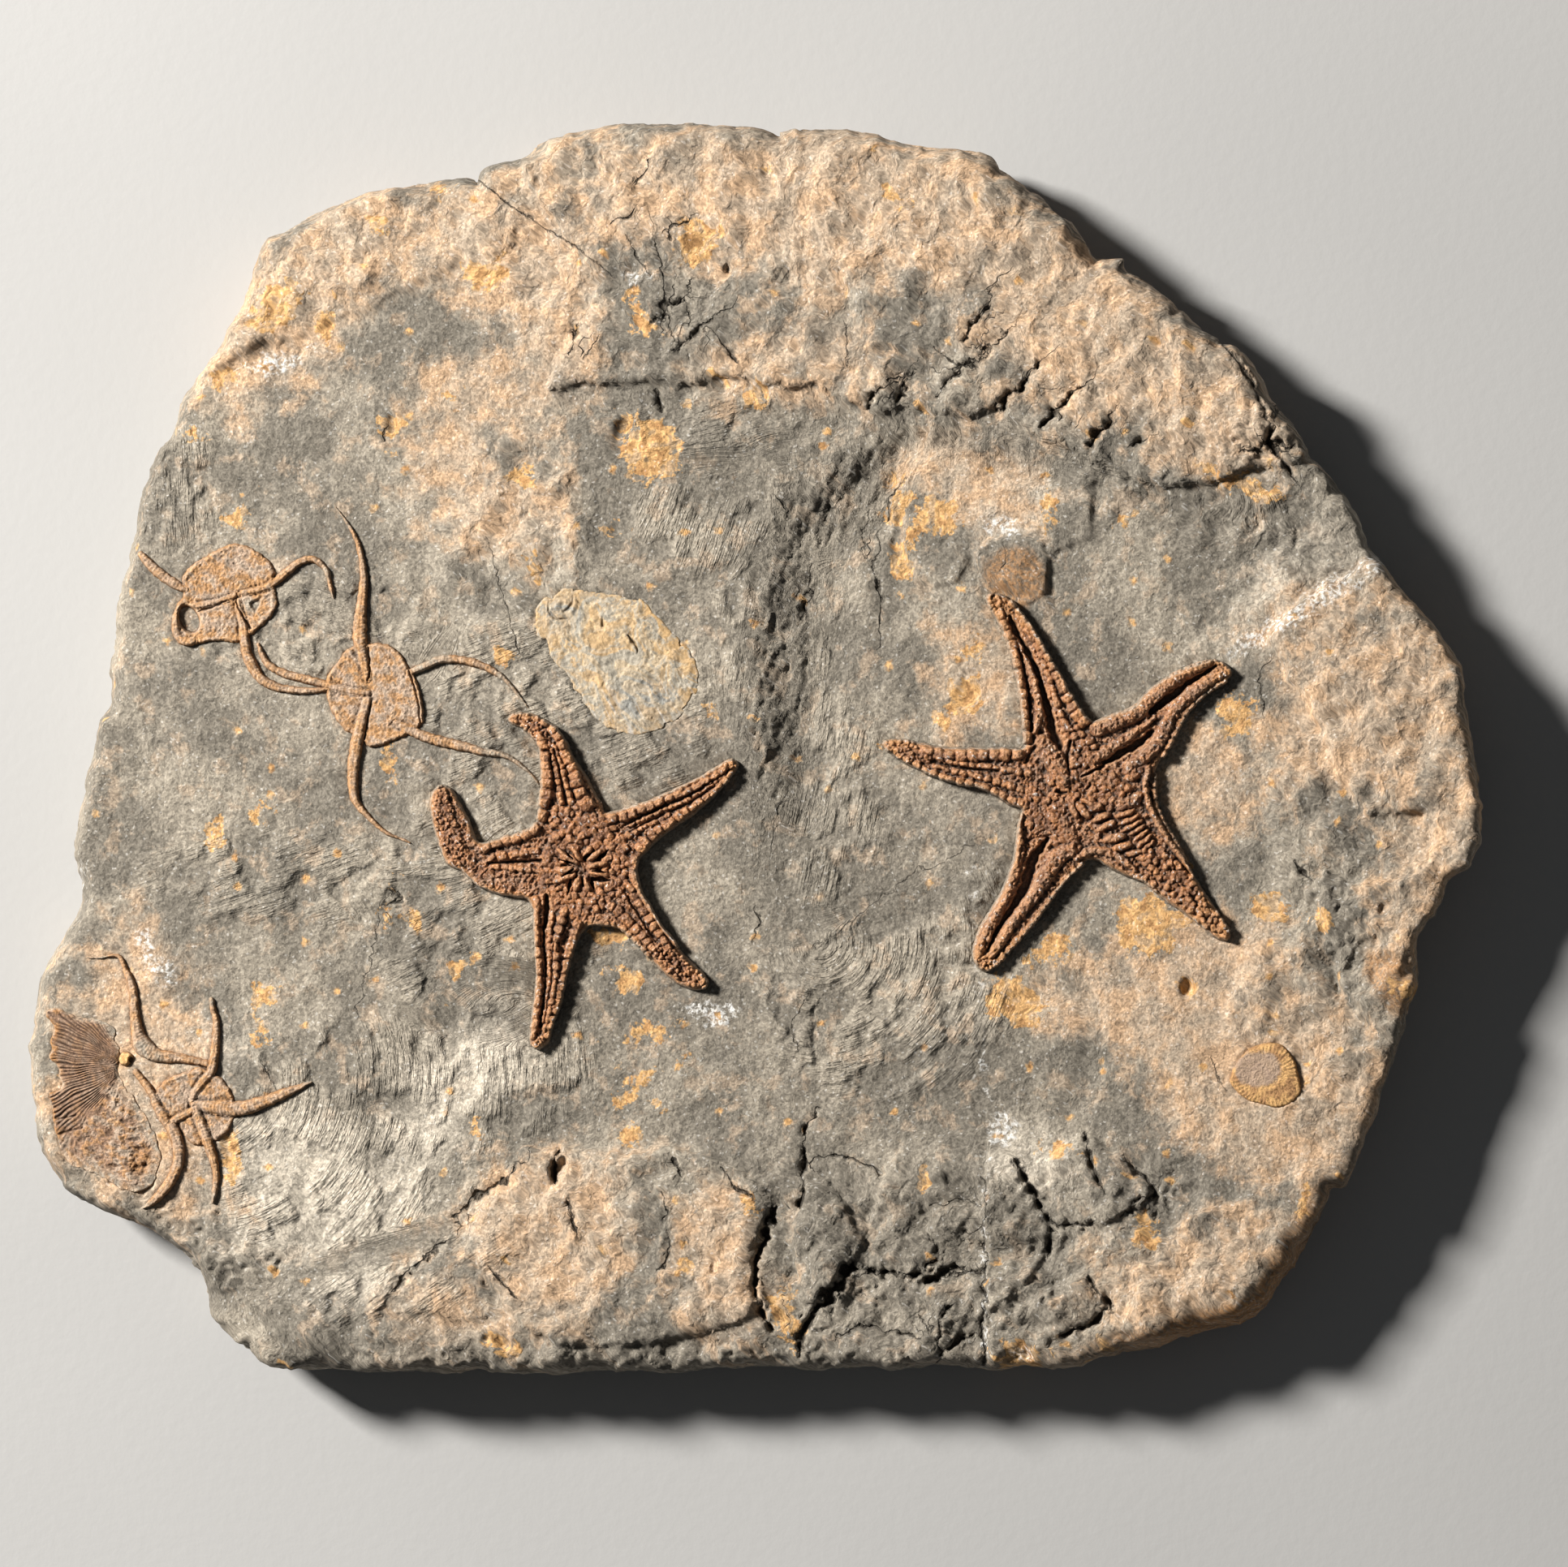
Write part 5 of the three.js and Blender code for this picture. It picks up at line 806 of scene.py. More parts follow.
def grain(x, y, size, seed, octaves=3, gain=0.5, creased=False):
    """Noise in several sizes, each half the one before; creased noise has sharp crests."""
    total, weight = 0, 1.0
    for k in range(octaves):
        n = waves(x + 17.3 * k, y - 9.1 * k, size / 2 ** k, seed + 7 * k)
        total = total + weight * ((0.5 - 2 * np.abs(n)) if creased else n)
        weight *= gain
    return total


def terraces(height, step, edge):
    """Heights cut into thin ledges, as layers of stone split."""
    level = np.floor(height / step)
    return step * (level + ease(height / step - level, 0.5 - edge, 0.5 + edge))


# ---- a fossil's relief -----------------------------------------------------------------------------

class Relief:
    """Heights above the face on an even grid over one fossil, built up stroke by stroke."""

    def __init__(self, pitch, points, reach=2.0):
        p = np.array([q[:2] for q in points])
        low, high = p.min(axis=0) - reach, p.max(axis=0) + reach
        self.pitch = pitch * 1
        self.xs = np.arange(low[0], high[0], self.pitch)
        self.ys = np.arange(low[1], high[1], self.pitch)
        self.x, self.y = np.meshgrid(self.xs, self.ys)
        # Strokes are laid on slightly wavering ground, so that no two plates come out alike.
        self.wx = self.x + 0.26 * waves(self.x, self.y, 1.9, 92) + 0.12 * waves(self.x, self.y, 0.9, 94)
        self.wy = self.y + 0.26 * waves(self.x, self.y, 1.9, 93) + 0.12 * waves(self.x, self.y, 0.9, 95)
        self.edge = np.full(self.x.shape, -9.0)
        self.outer = None
        self.height = np.zeros(self.x.shape)
        self.tone = np.zeros(self.x.shape)
        self.plate = np.zeros(self.x.shape)

    def window(self, points, reach):
        p = np.array([q[:2] for q in points])
        low, high = p.min(axis=0) - reach, p.max(axis=0) + reach
        i = np.searchsorted(self.xs, [low[0], high[0]])
        j = np.searchsorted(self.ys, [low[1], high[1]])
        return slice(j[0], j[1]), slice(i[0], i[1])

    def lay_plate(self, at, turn, along, across, low, high, square, tone, lean=0.0, widen=False):
        """A rounded plate laid on what is there, leaning along its length."""
        w = self.window([at], max(along, across) * 1.4 + 0.4)
        dx, dy = self.wx[w] - at[0], self.wy[w] - at[1]
        c, s = math.cos(turn), math.sin(turn)
        a, b = (dx * c + dy * s) / along, (dy * c - dx * s) / across
        r = (np.abs(a) ** square + np.abs(b) ** square) ** (1 / square)
        top = low + (high - low) * np.sqrt(np.clip(1 - r ** 4, 0, 1)) * (1 + lean * a)
        wins = (r < 1) & (top > self.height[w])
        self.height[w] = np.where(wins, top, self.height[w])
        self.tone[w] = np.where(wins, tone, self.tone[w])
        self.plate[w] = np.where(wins, 1, self.plate[w])
        if widen:
            grown = np.minimum((1 - r) * min(along, across), self.outer[w] + 0.3)
            np.maximum(self.edge[w], grown, out=self.edge[w])

    def lay_row(self, line, pitch, low, high, square, seed, widen=False):
        """Plates end to end along a line."""
        line = curve_through(line, 0.4)
        steps = np.hypot(*np.diff(line[:, :2], axis=0).T)
        run = np.concatenate([[0], np.cumsum(steps)])
        count = max(1, round(run[-1] / pitch))
        pitch = run[-1] / count
        for k in range(count):
            shift = 0.16 * pitch * (2 * scatter(k, 3, seed) - 1)
            at = (k + 0.5) * pitch + shift
            x, y, half = (np.interp(at, run, line[:, c]) for c in range(3))
            ahead = np.interp(at + 0.2, run, line[:, 0]), np.interp(at + 0.2, run, line[:, 1])
            back = np.interp(at - 0.2, run, line[:, 0]), np.interp(at - 0.2, run, line[:, 1])
            turn = math.atan2(ahead[1] - back[1], ahead[0] - back[0])
            turn += 0.5 * (scatter(k, 5, seed) - 0.5)
            size = 0.92 + 0.34 * scatter(k, 7, seed)
            top = low + (high - low) * (0.78 + 0.28 * scatter(k, 9, seed))
            long = pitch * (0.55 + 0.1 * scatter(k, 12, seed))
            self.lay_plate((x, y), turn, long, half * size, low, top, square,
                           2 * scatter(k, 11, seed) - 1, 0.3 * (scatter(k, 13, seed) - 0.3), widen)

    def lay_ridge(self, line, low, high):
        """A plain rounded wall along a line."""
        line = curve_through(line, 0.8)
        w = self.window(line, line[:, 2].max() + 0.5)
        gap, along, _, half = near_line(self.wx[w], self.wy[w], line)
        r = gap / np.maximum(half, 0.05)
        top = low + (high - low) * np.clip(1 - r ** 2.6, 0, 1) ** 0.6
        top += 0.10 * np.sin(along * math.tau / 1.9 + 3 * waves(self.x[w], self.y[w], 4, 96)) * (r < 0.9)
        self.height[w] = np.where((r < 1) & (top > self.height[w]), top, self.height[w])

    def cut_groove(self, line, floor, wall=0.35):
        """A steep-sided groove along a line, down to a floor."""
        line = curve_through(line, 0.6)
        w = self.window(line, line[:, 2].max() * 1.6 + 0.5)
        x = self.x[w] + 0.22 * waves(self.x[w], self.y[w], 1.3, 90)
        y = self.y[w] + 0.22 * waves(self.x[w], self.y[w], 1.3, 91)
        gap, _, _, half = near_line(x, y, line)
        half = half * (0.85 + 0.3 * waves(x, y, 2.2, 92))
        cut = ease(-gap, -half - wall * 0.5, -half + wall)
        lowered = np.minimum(self.height[w], self.height[w] * (1 - cut) + floor * cut)
        self.height[w] = lowered
        self.plate[w] *= 1 - cut

    def lay_pebbles(self, line, size, low, high, seed):
        """Small rounded plates crowded over the ground along a line."""
        line = curve_through(line, 0.8)
        w = self.window(line, line[:, 2].max() + 0.5)
        x0, x1 = self.x[w].min(), self.x[w].max()
        y0, y1 = self.y[w].min(), self.y[w].max()
        gx, gy = np.meshgrid(np.arange(int((x1 - x0) / size) + 2), np.arange(int((y1 - y0) / size / 0.87) + 2))
        jitter = [(scatter(gx, gy, seed + k) - 0.5) * 0.55 for k in (0, 1)]
        px = x0 + (gx + 0.5 * (gy % 2) + jitter[0]) * size
        py = y0 + (gy * 0.87 + jitter[1]) * size
        gap, _, _, half = near_line(px, py, line)
        for x, y, i, j in zip(px[gap < half], py[gap < half], gx[gap < half], gy[gap < half]):
            wide = size * (0.46 + 0.2 * scatter(i, j, seed + 2))
            long = wide * (1 + 0.35 * scatter(i, j, seed + 3))
            top = low + (high - low) * (0.6 + 0.5 * scatter(i, j, seed + 4))
            self.lay_plate((x, y), math.pi * scatter(i, j, seed + 5), long, wide, low, top, 2.8,
                           2 * scatter(i, j, seed + 6) - 1, 0.5 * (scatter(i, j, seed + 7) - 0.5))

    def blurred(self, reach):
        """The heights smoothed over a square of the given reach."""
        n = max(1, round(reach / self.pitch))
        smooth = self.height
        for _ in range(2):
            for axis in (0, 1):
                pad = [(n + 1, n) if a == axis else (0, 0) for a in (0, 1)]
                total = np.cumsum(np.pad(smooth, pad, mode="edge"), axis=axis)
                ahead = np.take(total, range(2 * n + 1, total.shape[axis]), axis=axis)
                behind = np.take(total, range(0, total.shape[axis] - 2 * n - 1), axis=axis)
                smooth = (ahead - behind) / (2 * n + 1)
        return smooth

    def edge_at(self, x, y):
        """The edge distance at any places, from the grid, and -9 off it."""
        u = (np.asarray(x) - self.xs[0]) / self.pitch
        v = (np.asarray(y) - self.ys[0]) / self.pitch
        ok = (u >= 0) & (v >= 0) & (u < len(self.xs) - 1) & (v < len(self.ys) - 1)
        i, j = np.where(ok, u, 0).astype(int), np.where(ok, v, 0).astype(int)
        fu, fv = u - i, v - j
        e = self.edge
        mixed = ((e[j, i] * (1 - fu) + e[j, i + 1] * fu) * (1 - fv)
                 + (e[j + 1, i] * (1 - fu) + e[j + 1, i + 1] * fu) * fv)
        return np.where(ok, mixed, -9.0)


def spread_through(mask, start):
    """The part of a mask that is joined to a starting part."""
    reached = start & mask
    while True:
        grown = reached.copy()
        grown[1:] |= reached[:-1]
        grown[:-1] |= reached[1:]
        grown[:, 1:] |= reached[:, :-1]
        grown[:, :-1] |= reached[:, 1:]
        grown &= mask
        if (grown == reached).all():
            return reached
        reached = grown


def whole_patch(cells):
    """A mask of cells as one patch with no holes and no corners that only touch."""
    cells = np.pad(cells, 1)
    for _ in range(6):
        a, b, c, d = cells[:-1, :-1], cells[:-1, 1:], cells[1:, :-1], cells[1:, 1:]
        touch = (a & d & ~b & ~c) | (b & c & ~a & ~d)
        if not touch.any():
            break
        for part in (a, b, c, d):
            part |= touch
    border = np.zeros_like(cells)
    border[0] = border[-1] = True
    border[:, 0] = border[:, -1] = True
    filled = ~spread_through(~cells, border)
    left, best = filled.copy(), np.zeros_like(filled)
    while left.any():
        start = np.zeros_like(left)
        start[tuple(np.argwhere(left)[0])] = True
        part = spread_through(left, start)
        if part.sum() > best.sum():
            best = part
        left &= ~part
    return best[1:-1, 1:-1]


def body_of_relief(relief, foot, values):
    """Points, triangles and values at the points for a closed body: the relief, its sides and a flat foot."""
    e = relief.edge
    cells = whole_patch((e[:-1, :-1] + e[:-1, 1:] + e[1:, :-1] + e[1:, 1:]) > 0)
    rows, cols = e.shape
    number = np.arange(rows * cols).reshape(rows, cols)
    j, i = np.nonzero(cells)
    a, b, c, d = number[j, i], number[j, i + 1], number[j + 1, i + 1], number[j + 1, i]
    flip = (i + j) % 2 == 0
    triangles = np.concatenate([
        np.stack([a, b, np.where(flip, c, d)], 1), np.stack([np.where(flip, a, b), c, d], 1)])
    # The loop round the patch, walked with the patch on its left.
    padded = np.pad(cells, 1)
    edges = {}
    for dj, di, start, end in ((-1, 0, a, b), (0, 1, b, c), (1, 0, c, d), (0, -1, d, a)):
        outer = ~padded[j + 1 + dj, i + 1 + di]
        edges.update(zip(start[outer].tolist(), end[outer].tolist()))
    first = next(iter(edges))
    loop = [first]
    while edges[loop[-1]] != first:
        loop.append(edges[loop[-1]])
    loop = np.array(loop)
    # Points on the loop are drawn to where the edge distance is nought.
    x, y, z = relief.x.ravel().copy(), relief.y.ravel().copy(), relief.height.ravel().copy()
    gy, gx = np.gradient(e, relief.pitch)
    pull = e.ravel()[loop] / np.maximum(gx.ravel()[loop] ** 2 + gy.ravel()[loop] ** 2, 0.3)
    pull = np.clip(pull, -0.7 * relief.pitch, 0.7 * relief.pitch)
    x[loop] -= pull * gx.ravel()[loop]
    y[loop] -= pull * gy.ravel()[loop]
    used, triangles = np.unique(triangles, return_inverse=True)
    triangles = triangles.reshape(-1, 3)
    loop = np.searchsorted(used, loop)
    points = np.stack([x[used], y[used], z[used]], 1)
    below = points[loop].copy()
    below[:, 2] = foot
    count = len(points)
    under = np.arange(count, count + len(loop))
    ahead, under_ahead = np.roll(loop, -1), np.roll(under, -1)
    sides = np.concatenate([np.stack([ahead, loop, under], 1), np.stack([ahead, under, under_ahead], 1)])
    cap = flat_cap(below[:, :2], []) + count
    values = {name: np.concatenate([v.ravel()[used], v.ravel()[used][loop]]) for name, v in values.items()}
    return np.vstack([points, below]), np.concatenate([triangles, sides, cap[:, ::-1]]), values


def flat_cap(loop, inner):
    """Triangles, seen from above, that fill a loop of points and take in the inner points."""
    points = [Vector(map(float, p)) for p in (*loop, *inner)]
    n = len(loop)
    edges = [(k, (k + 1) % n) for k in range(n)]
    _, _, faces, origin, _, _ = delaunay_2d_cdt(points, edges, [], 1, 1e-7, True)
    found = {k: o[0] for k, o in enumerate(origin) if o}
    triangles = np.array([[found.get(k, -1) for k in f] for f in faces if len(f) == 3])
    triangles = triangles[(triangles >= 0).all(axis=1)]
    flat = np.array([tuple(p) for p in points])
    p, q, r = (flat[triangles[:, k]] for k in range(3))
    area = (q[:, 0] - p[:, 0]) * (r[:, 1] - p[:, 1]) - (q[:, 1] - p[:, 1]) * (r[:, 0] - p[:, 0])
    triangles[area < 0] = triangles[area < 0][:, ::-1]
    # Triangles between points of the loop alone may lie in its bays, outside it.
    at_rim = np.flatnonzero((triangles < n).all(axis=1))
    middle = flat[triangles[at_rim]].mean(axis=1)
    outside = inside_by(middle[:, 0], middle[:, 1], flat[:n]) < 0
    return np.delete(triangles, at_rim[outside], axis=0)


def make_piece(name, node, points, triangles, values, finish, smooth=True):
    """Adds a mesh to the scene in place of a CAD node."""
    mesh = bpy.data.meshes.new(name)
    mesh.vertices.add(len(points))
    mesh.vertices.foreach_set("co", (np.asarray(points) * MM).astype(np.float32).ravel())
    mesh.loops.add(len(triangles) * 3)
    mesh.loops.foreach_set("vertex_index", np.asarray(triangles, np.int32).ravel())
    mesh.polygons.add(len(triangles))
    mesh.polygons.foreach_set("loop_start", np.arange(len(triangles), dtype=np.int32) * 3)
    mesh.update(calc_edges=True)
    mesh.polygons.foreach_set("use_smooth", np.broadcast_to(smooth, len(triangles)).copy())
    for key, value in values.items():
        layer = mesh.attributes.new(key, "FLOAT", "POINT")
        layer.data.foreach_set("value", np.asarray(value, np.float32))
    mesh.validate()
    mesh.materials.append(finish)
    piece = bpy.data.objects.new(name, mesh)
    bpy.context.scene.collection.objects.link(piece)
    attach(piece, "root")
    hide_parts(node)
    return piece


# ---- the reliefs themselves --------------------------------------------------------------------------

def swell(x, y):
    """The slow rise and fall of the stone that the fossils follow."""
    return 0.22 * waves(x, y, 95, 1) + 0.14 * waves(x, y, 41, 2)


def lay_mouth(relief, mouth, rise):
    """Ten petal-like plates round the mouth, with slits between them."""
    left, top, unit = mouth["sheet"]
    for k, (u0, v0, u1, v1) in enumerate(mouth["petals"]):
        (x0, y0), (x1, y1) = from_sheet(mouth["sheet"], [(u0, v0), (u1, v1)])
        turn = math.atan2(y1 - y0, x1 - x0)
        length = math.dist((x0, y0), (x1, y1))
        relief.lay_plate(((x0 + x1) / 2, (y0 + y1) / 2), turn, length * 0.56, 0.8, rise * 0.5,
                         rise * 0.92, 2.2, 2 * scatter(k, 1, 70) - 1)
    for u0, v0, u1, v1, half in mouth["slits"]:
        p, q = from_sheet(mouth["sheet"], [(u0, v0), (u1, v1)])
        relief.cut_groove([(*p, half * 0.6), ((p[0] + q[0]) / 2, (p[1] + q[1]) / 2, half), (*q, half * 0.3)],
                          rise * 0.12, 0.2)


@lru_cache(maxsize=None)
def starfish_relief(node):
    """The relief of one starfish."""
    star = next(s for s in (LEFT_STARFISH, RIGHT_STARFISH) if s["node"] == node)
    rise = bpy.context.scene.fossil_slab.starfish_rise / MM
    outline = curve_through(from_sheet(WHOLE, star["outline"]), 1.2, closed=True)
    relief = Relief(star["pitch"], outline)
    sheet = star["sheet"]
    x, y = relief.x, relief.y
    relief.edge = inside_by(x, y, outline) + 0.3 + 0.16 * waves(x, y, 1.8, 14)
    relief.outer = relief.edge.copy()
    inner = ease(relief.edge, 0.3, 1.4)
    relief.height = rise * 0.60 * np.sqrt(np.clip(1 - (1 - np.clip(relief.edge / 1.4, 0, 1)) ** 2, 0, 1))
    relief.height += 0.42 * grain(x, y, 2.4, 11, 3, creased=True) * inner
    low = rise * 0.48
    for height, line in star["ridges"]:
        relief.lay_ridge(from_sheet(sheet, line), low, rise * height)
    relief.height += 0.30 * grain(x, y, 1.5, 12, 3, creased=True) * inner
    for k, (size, height, line) in enumerate(star["pebbles"]):
        relief.lay_pebbles(from_sheet(sheet, line), size, low, rise * height, 40 + 10 * k)
    for k, (pitch, height, square, line) in enumerate(star["rows"]):
        relief.lay_row(from_sheet(sheet, line), pitch, low, rise * height, square, 200 + k, widen=True)
    for k, (u0, v0, u1, v1, half, height) in enumerate(star.get("ribs", [])):
        (x0, y0), (x1, y1) = from_sheet(sheet, [(u0, v0), (u1, v1)])
        turn, length = math.atan2(y1 - y0, x1 - x0), math.dist((x0, y0), (x1, y1))
        relief.lay_plate(((x0 + x1) / 2, (y0 + y1) / 2), turn, length * 0.6, half * 1.2, low, rise * height,
                         2.3, 2 * scatter(k, 2, 71) - 1, 0.15)
    if "mouth" in star:
        lay_mouth(relief, star["mouth"], rise)
    relief.height += 0.12 * grain(x, y, 1.9, 15, 3, creased=True) * inner
    for floor, line in star["grooves"]:
        relief.cut_groove(from_sheet(sheet, line), rise * (floor + 0.06), 0.5)
    relief.height += 0.1 * grain(x, y, 1.3, 16, 3, creased=True) * inner
    # The arms thin towards their tips, and everything rounds down to the edge.
    out = np.hypot(relief.x - star["centre"][0], relief.y - star["centre"][1])
    relief.height *= 1 - 0.22 * ease(out, 18, 46)
    relief.height *= np.sqrt(np.clip(1 - (1 - np.clip((relief.edge + 0.1) / 0.6, 0, 1)) ** 2, 0, 1))
    relief.height += 0.08 * grain(relief.x, relief.y, 0.7, 13, 2)
    crest = relief.height - relief.blurred(0.9)
    relief.crest = crest
    relief.out = out
    return relief


@lru_cache(maxsize=None)
def brittle_relief(node):
    """The relief of one brittle star: a low disc with a firm rim, and cross-ribbed arms."""
    star = next(s for s in (UPPER_BRITTLE_STAR, MIDDLE_BRITTLE_STAR, LOWER_BRITTLE_STAR) if s["node"] == node)
    rise = bpy.context.scene.fossil_slab.brittle_rise / MM
    sheet = star["sheet"]
    disc = curve_through(from_sheet(sheet, star["disc"]), 0.8, closed=True)
    arms = [curve_through(from_sheet(sheet, arm), 0.7) for arm in star["arms"]]
    relief = Relief(star["pitch"], np.vstack([disc, *(a[:, :2] for a in arms)]))
    x, y = relief.x, relief.y
    inner = inside_by(x, y, disc) + 0.26 * waves(x, y, 2.0, 24) + 0.14 * waves(x, y, 0.9, 25)
    profile = np.sqrt(np.clip(1 - (1 - np.clip(inner / 0.9, 0, 1)) ** 2, 0, 1))
    rim = np.exp(-((inner - 0.9) / 0.6) ** 2) * 0.18
    relief.height = rise * star["crown"] * (0.62 * profile + rim)
    relief.height += (0.16 * grain(x, y, 3.0, 21, 3) + 0.11 * grain(x, y, 1.1, 22, 2, creased=True)) * ease(inner, 0, 0.8)
    relief.edge = inner.copy()
    relief.arm = np.zeros(x.shape)
    for arm in arms:
        w = relief.window(arm, 3)
        gap, along, side, half = near_line(x[w], y[w], arm)
        gap = gap + 0.13 * waves(x[w], y[w], 1.1, 26) + 0.10 * waves(x[w], y[w], 3.1, 27)
        r = np.maximum(gap, 0) / np.maximum(half, 0.05)
        tall = rise * np.minimum(1.3, 0.42 + 0.52 * half) * (1 + 0.12 * waves(along, 0 * along, 2.6, 28))
        ribs = 0.5 + 0.5 * np.cos(along * math.tau / 0.84 + 1.6 * np.abs(side))
        top = tall * np.clip(1 - r ** 2, 0, 1) ** 0.55 * (0.94 + 0.055 * ribs)
        top -= 0.12 * np.exp(-(r / 0.16) ** 2) * ease(half, 0.7, 1.2)
        on = (r < 1) & (top > relief.height[w] - 0.2 * rise)
        relief.height[w] = np.where(on, np.maximum(top, relief.height[w] * 0.85), relief.height[w])
        relief.arm[w] = np.maximum(relief.arm[w], on * np.clip(1.3 - r, 0, 1))
        beside = (r > 1) & (r < 1.6) & (inner[w] > 0.3)
        relief.height[w] -= beside * 0.22 * rise * (1.6 - r) / 0.6
        np.maximum(relief.edge[w], half - gap, out=relief.edge[w])
    for line in star["steps"]:
        relief.cut_groove(from_sheet(sheet, line), 0.1 * rise, 0.3)
    if "hollow" in star:
        u, v, across, along, turn = star["hollow"]
        (cx, cy), = from_sheet(sheet, [(u, v)])
        t = math.radians(turn)
        across, along = 1.22 * across, 1.18 * along
        a = ((x - cx) * math.cos(t) - (y - cy) * -math.sin(t)) / across
        b = ((x - cx) * -math.sin(t) + (y - cy) * math.cos(t)) / along
        deep = ease(-np.hypot(a, b), -1.12, -0.8)
        relief.height = relief.height * (1 - deep) - 1.0 * deep
    relief.worn = np.zeros(x.shape)
    if "window" in star:
        gone = ease(inside_by(x, y, np.array(from_sheet(sheet, star["window"]))), -0.1, 0.6)
        relief.height = relief.height * (1 - gone) + gone * 0.12
        relief.worn = gone
    relief.height *= np.sqrt(np.clip(1 - (1 - np.clip((relief.edge + 0.05) / 0.55, 0, 1)) ** 2, 0, 1))
    relief.height += 0.10 * grain(x, y, 1.0, 23, 3)
    for u, v, reach in star["worn"]:
        (cx, cy), = from_sheet(sheet, [(u, v)])
        far = np.hypot(x - cx, y - cy) / (reach * sheet[2])
        relief.worn = np.maximum(relief.worn, 0.85 * ease(-far + 0.3 * waves(x, y, 2.5, 29), -1.3, -0.5))
    relief.crest = relief.height - relief.blurred(0.8)
    return relief


@lru_cache(maxsize=None)
def fan_relief():
    """The fan: fine ribs spread from the hinge, lumpy ground below them, and the boss."""
    outline = curve_through(from_sheet(LOWER, FAN["outline"]), 0.8, closed=True)
    relief = Relief(0.15, outline)
    x, y = relief.x, relief.y
    wobble = 0.7 * waves(x, y, 3.5, 31) + 0.35 * waves(x, y, 1.6, 32)
    relief.edge = inside_by(x, y, outline) + wobble
    (hx, hy), = from_sheet(LOWER, [FAN["hinge"]])
    out = np.hypot(x - hx, y - hy)
    bearing = np.degrees(np.arctan2(y - hy, x - hx)) % 360
    upper = ease(bearing + 6 * waves(x, y, 5, 33), 112, 135) * (1 - ease(bearing + 8 * waves(x, y, 6, 40), 216, 240))
    bearing += 2.4 * waves(x, y, 5, 33)
    ribs = np.abs(np.sin(np.radians(bearing) * 60 + 1.8 * waves(bearing, out / 3, 6, 34)))
    rib_height = 0.55 * (ribs - 0.6) * ease(out, 0.6, 2.5) * (0.75 + 0.5 * waves(x, y, 4, 41))
    arcs = grain(out * 1.0, bearing * 0.16, 2.2, 35, 3, creased=True)
    lumps = 0.34 * grain(x, y, 4.0, 36, 4, 0.6) + 0.26 * arcs
    rest = 0.58 + 0.14 * waves(x, y, 9, 37)
    relief.height = rest + upper * rib_height + (1 - upper) * lumps
    # The ribs value is high in the grooves between the ribs, where the finish paints dark shade.
    relief.ribs = upper * np.clip(1.3 - 1.5 * ribs, 0, 1) * ease(out, 0.8, 2.5) * ease(waves(x, y, 3, 42), -1, -0.1)
    relief.upper = upper
    for line in FAN["ledges"]:
        relief.cut_groove(from_sheet(LOWER, line), 0.05, 0.5)
    u, v, across, down = FAN["pit"]
    (px, py), = from_sheet(LOWER, [(u, v)])
    pit = ease(-np.hypot((x - px) / (across * LOWER[2]), (y - py) / (down * LOWER[2])), -1.1, -0.4)
    relief.pit = pit
    relief.height -= pit * (0.5 + 0.6 * grain(x, y, 1.8, 38, 3))
    # Only the left edge stands clear of the stone: elsewhere the fan runs out into it.
    feather = 0.7 + (0.9 + 2.2 * (1 - upper)) * ease(x, -173, -168)
    relief.blend = 1 - ease(relief.edge, 0.0, feather)
    relief.height = 0.16 + (relief.height - 0.16) * (1 - relief.blend)
    relief.height *= np.sqrt(np.clip(1 - (1 - np.clip((relief.edge + 0.05) / 0.5, 0, 1)) ** 2, 0, 1))
    (bx, by), = from_sheet(LOWER, [FAN["boss"][:2]])
    relief.edge = np.maximum(relief.edge, FAN["boss"][2] + 0.15 - np.hypot(x - bx, y - by))
    relief.lay_plate((bx, by), 0.4, FAN["boss"][2], FAN["boss"][2] * 0.85, 0.0, 1.5, 2.1, 0.6)
    relief.boss = np.clip(1.4 - np.hypot(x - bx, y - by) / FAN["boss"][2], 0, 1)
    hollow = ease(-np.hypot((x - bx - 1.25) / 0.75, (y - by + 0.3) / 1.0), -1.1, -0.5)
    relief.height = relief.height * (1 - hollow) - 0.2 * hollow
    relief.height += 0.04 * grain(x, y, 0.6, 39, 2)
    relief.crest = relief.height - relief.blurred(0.8)
    return relief


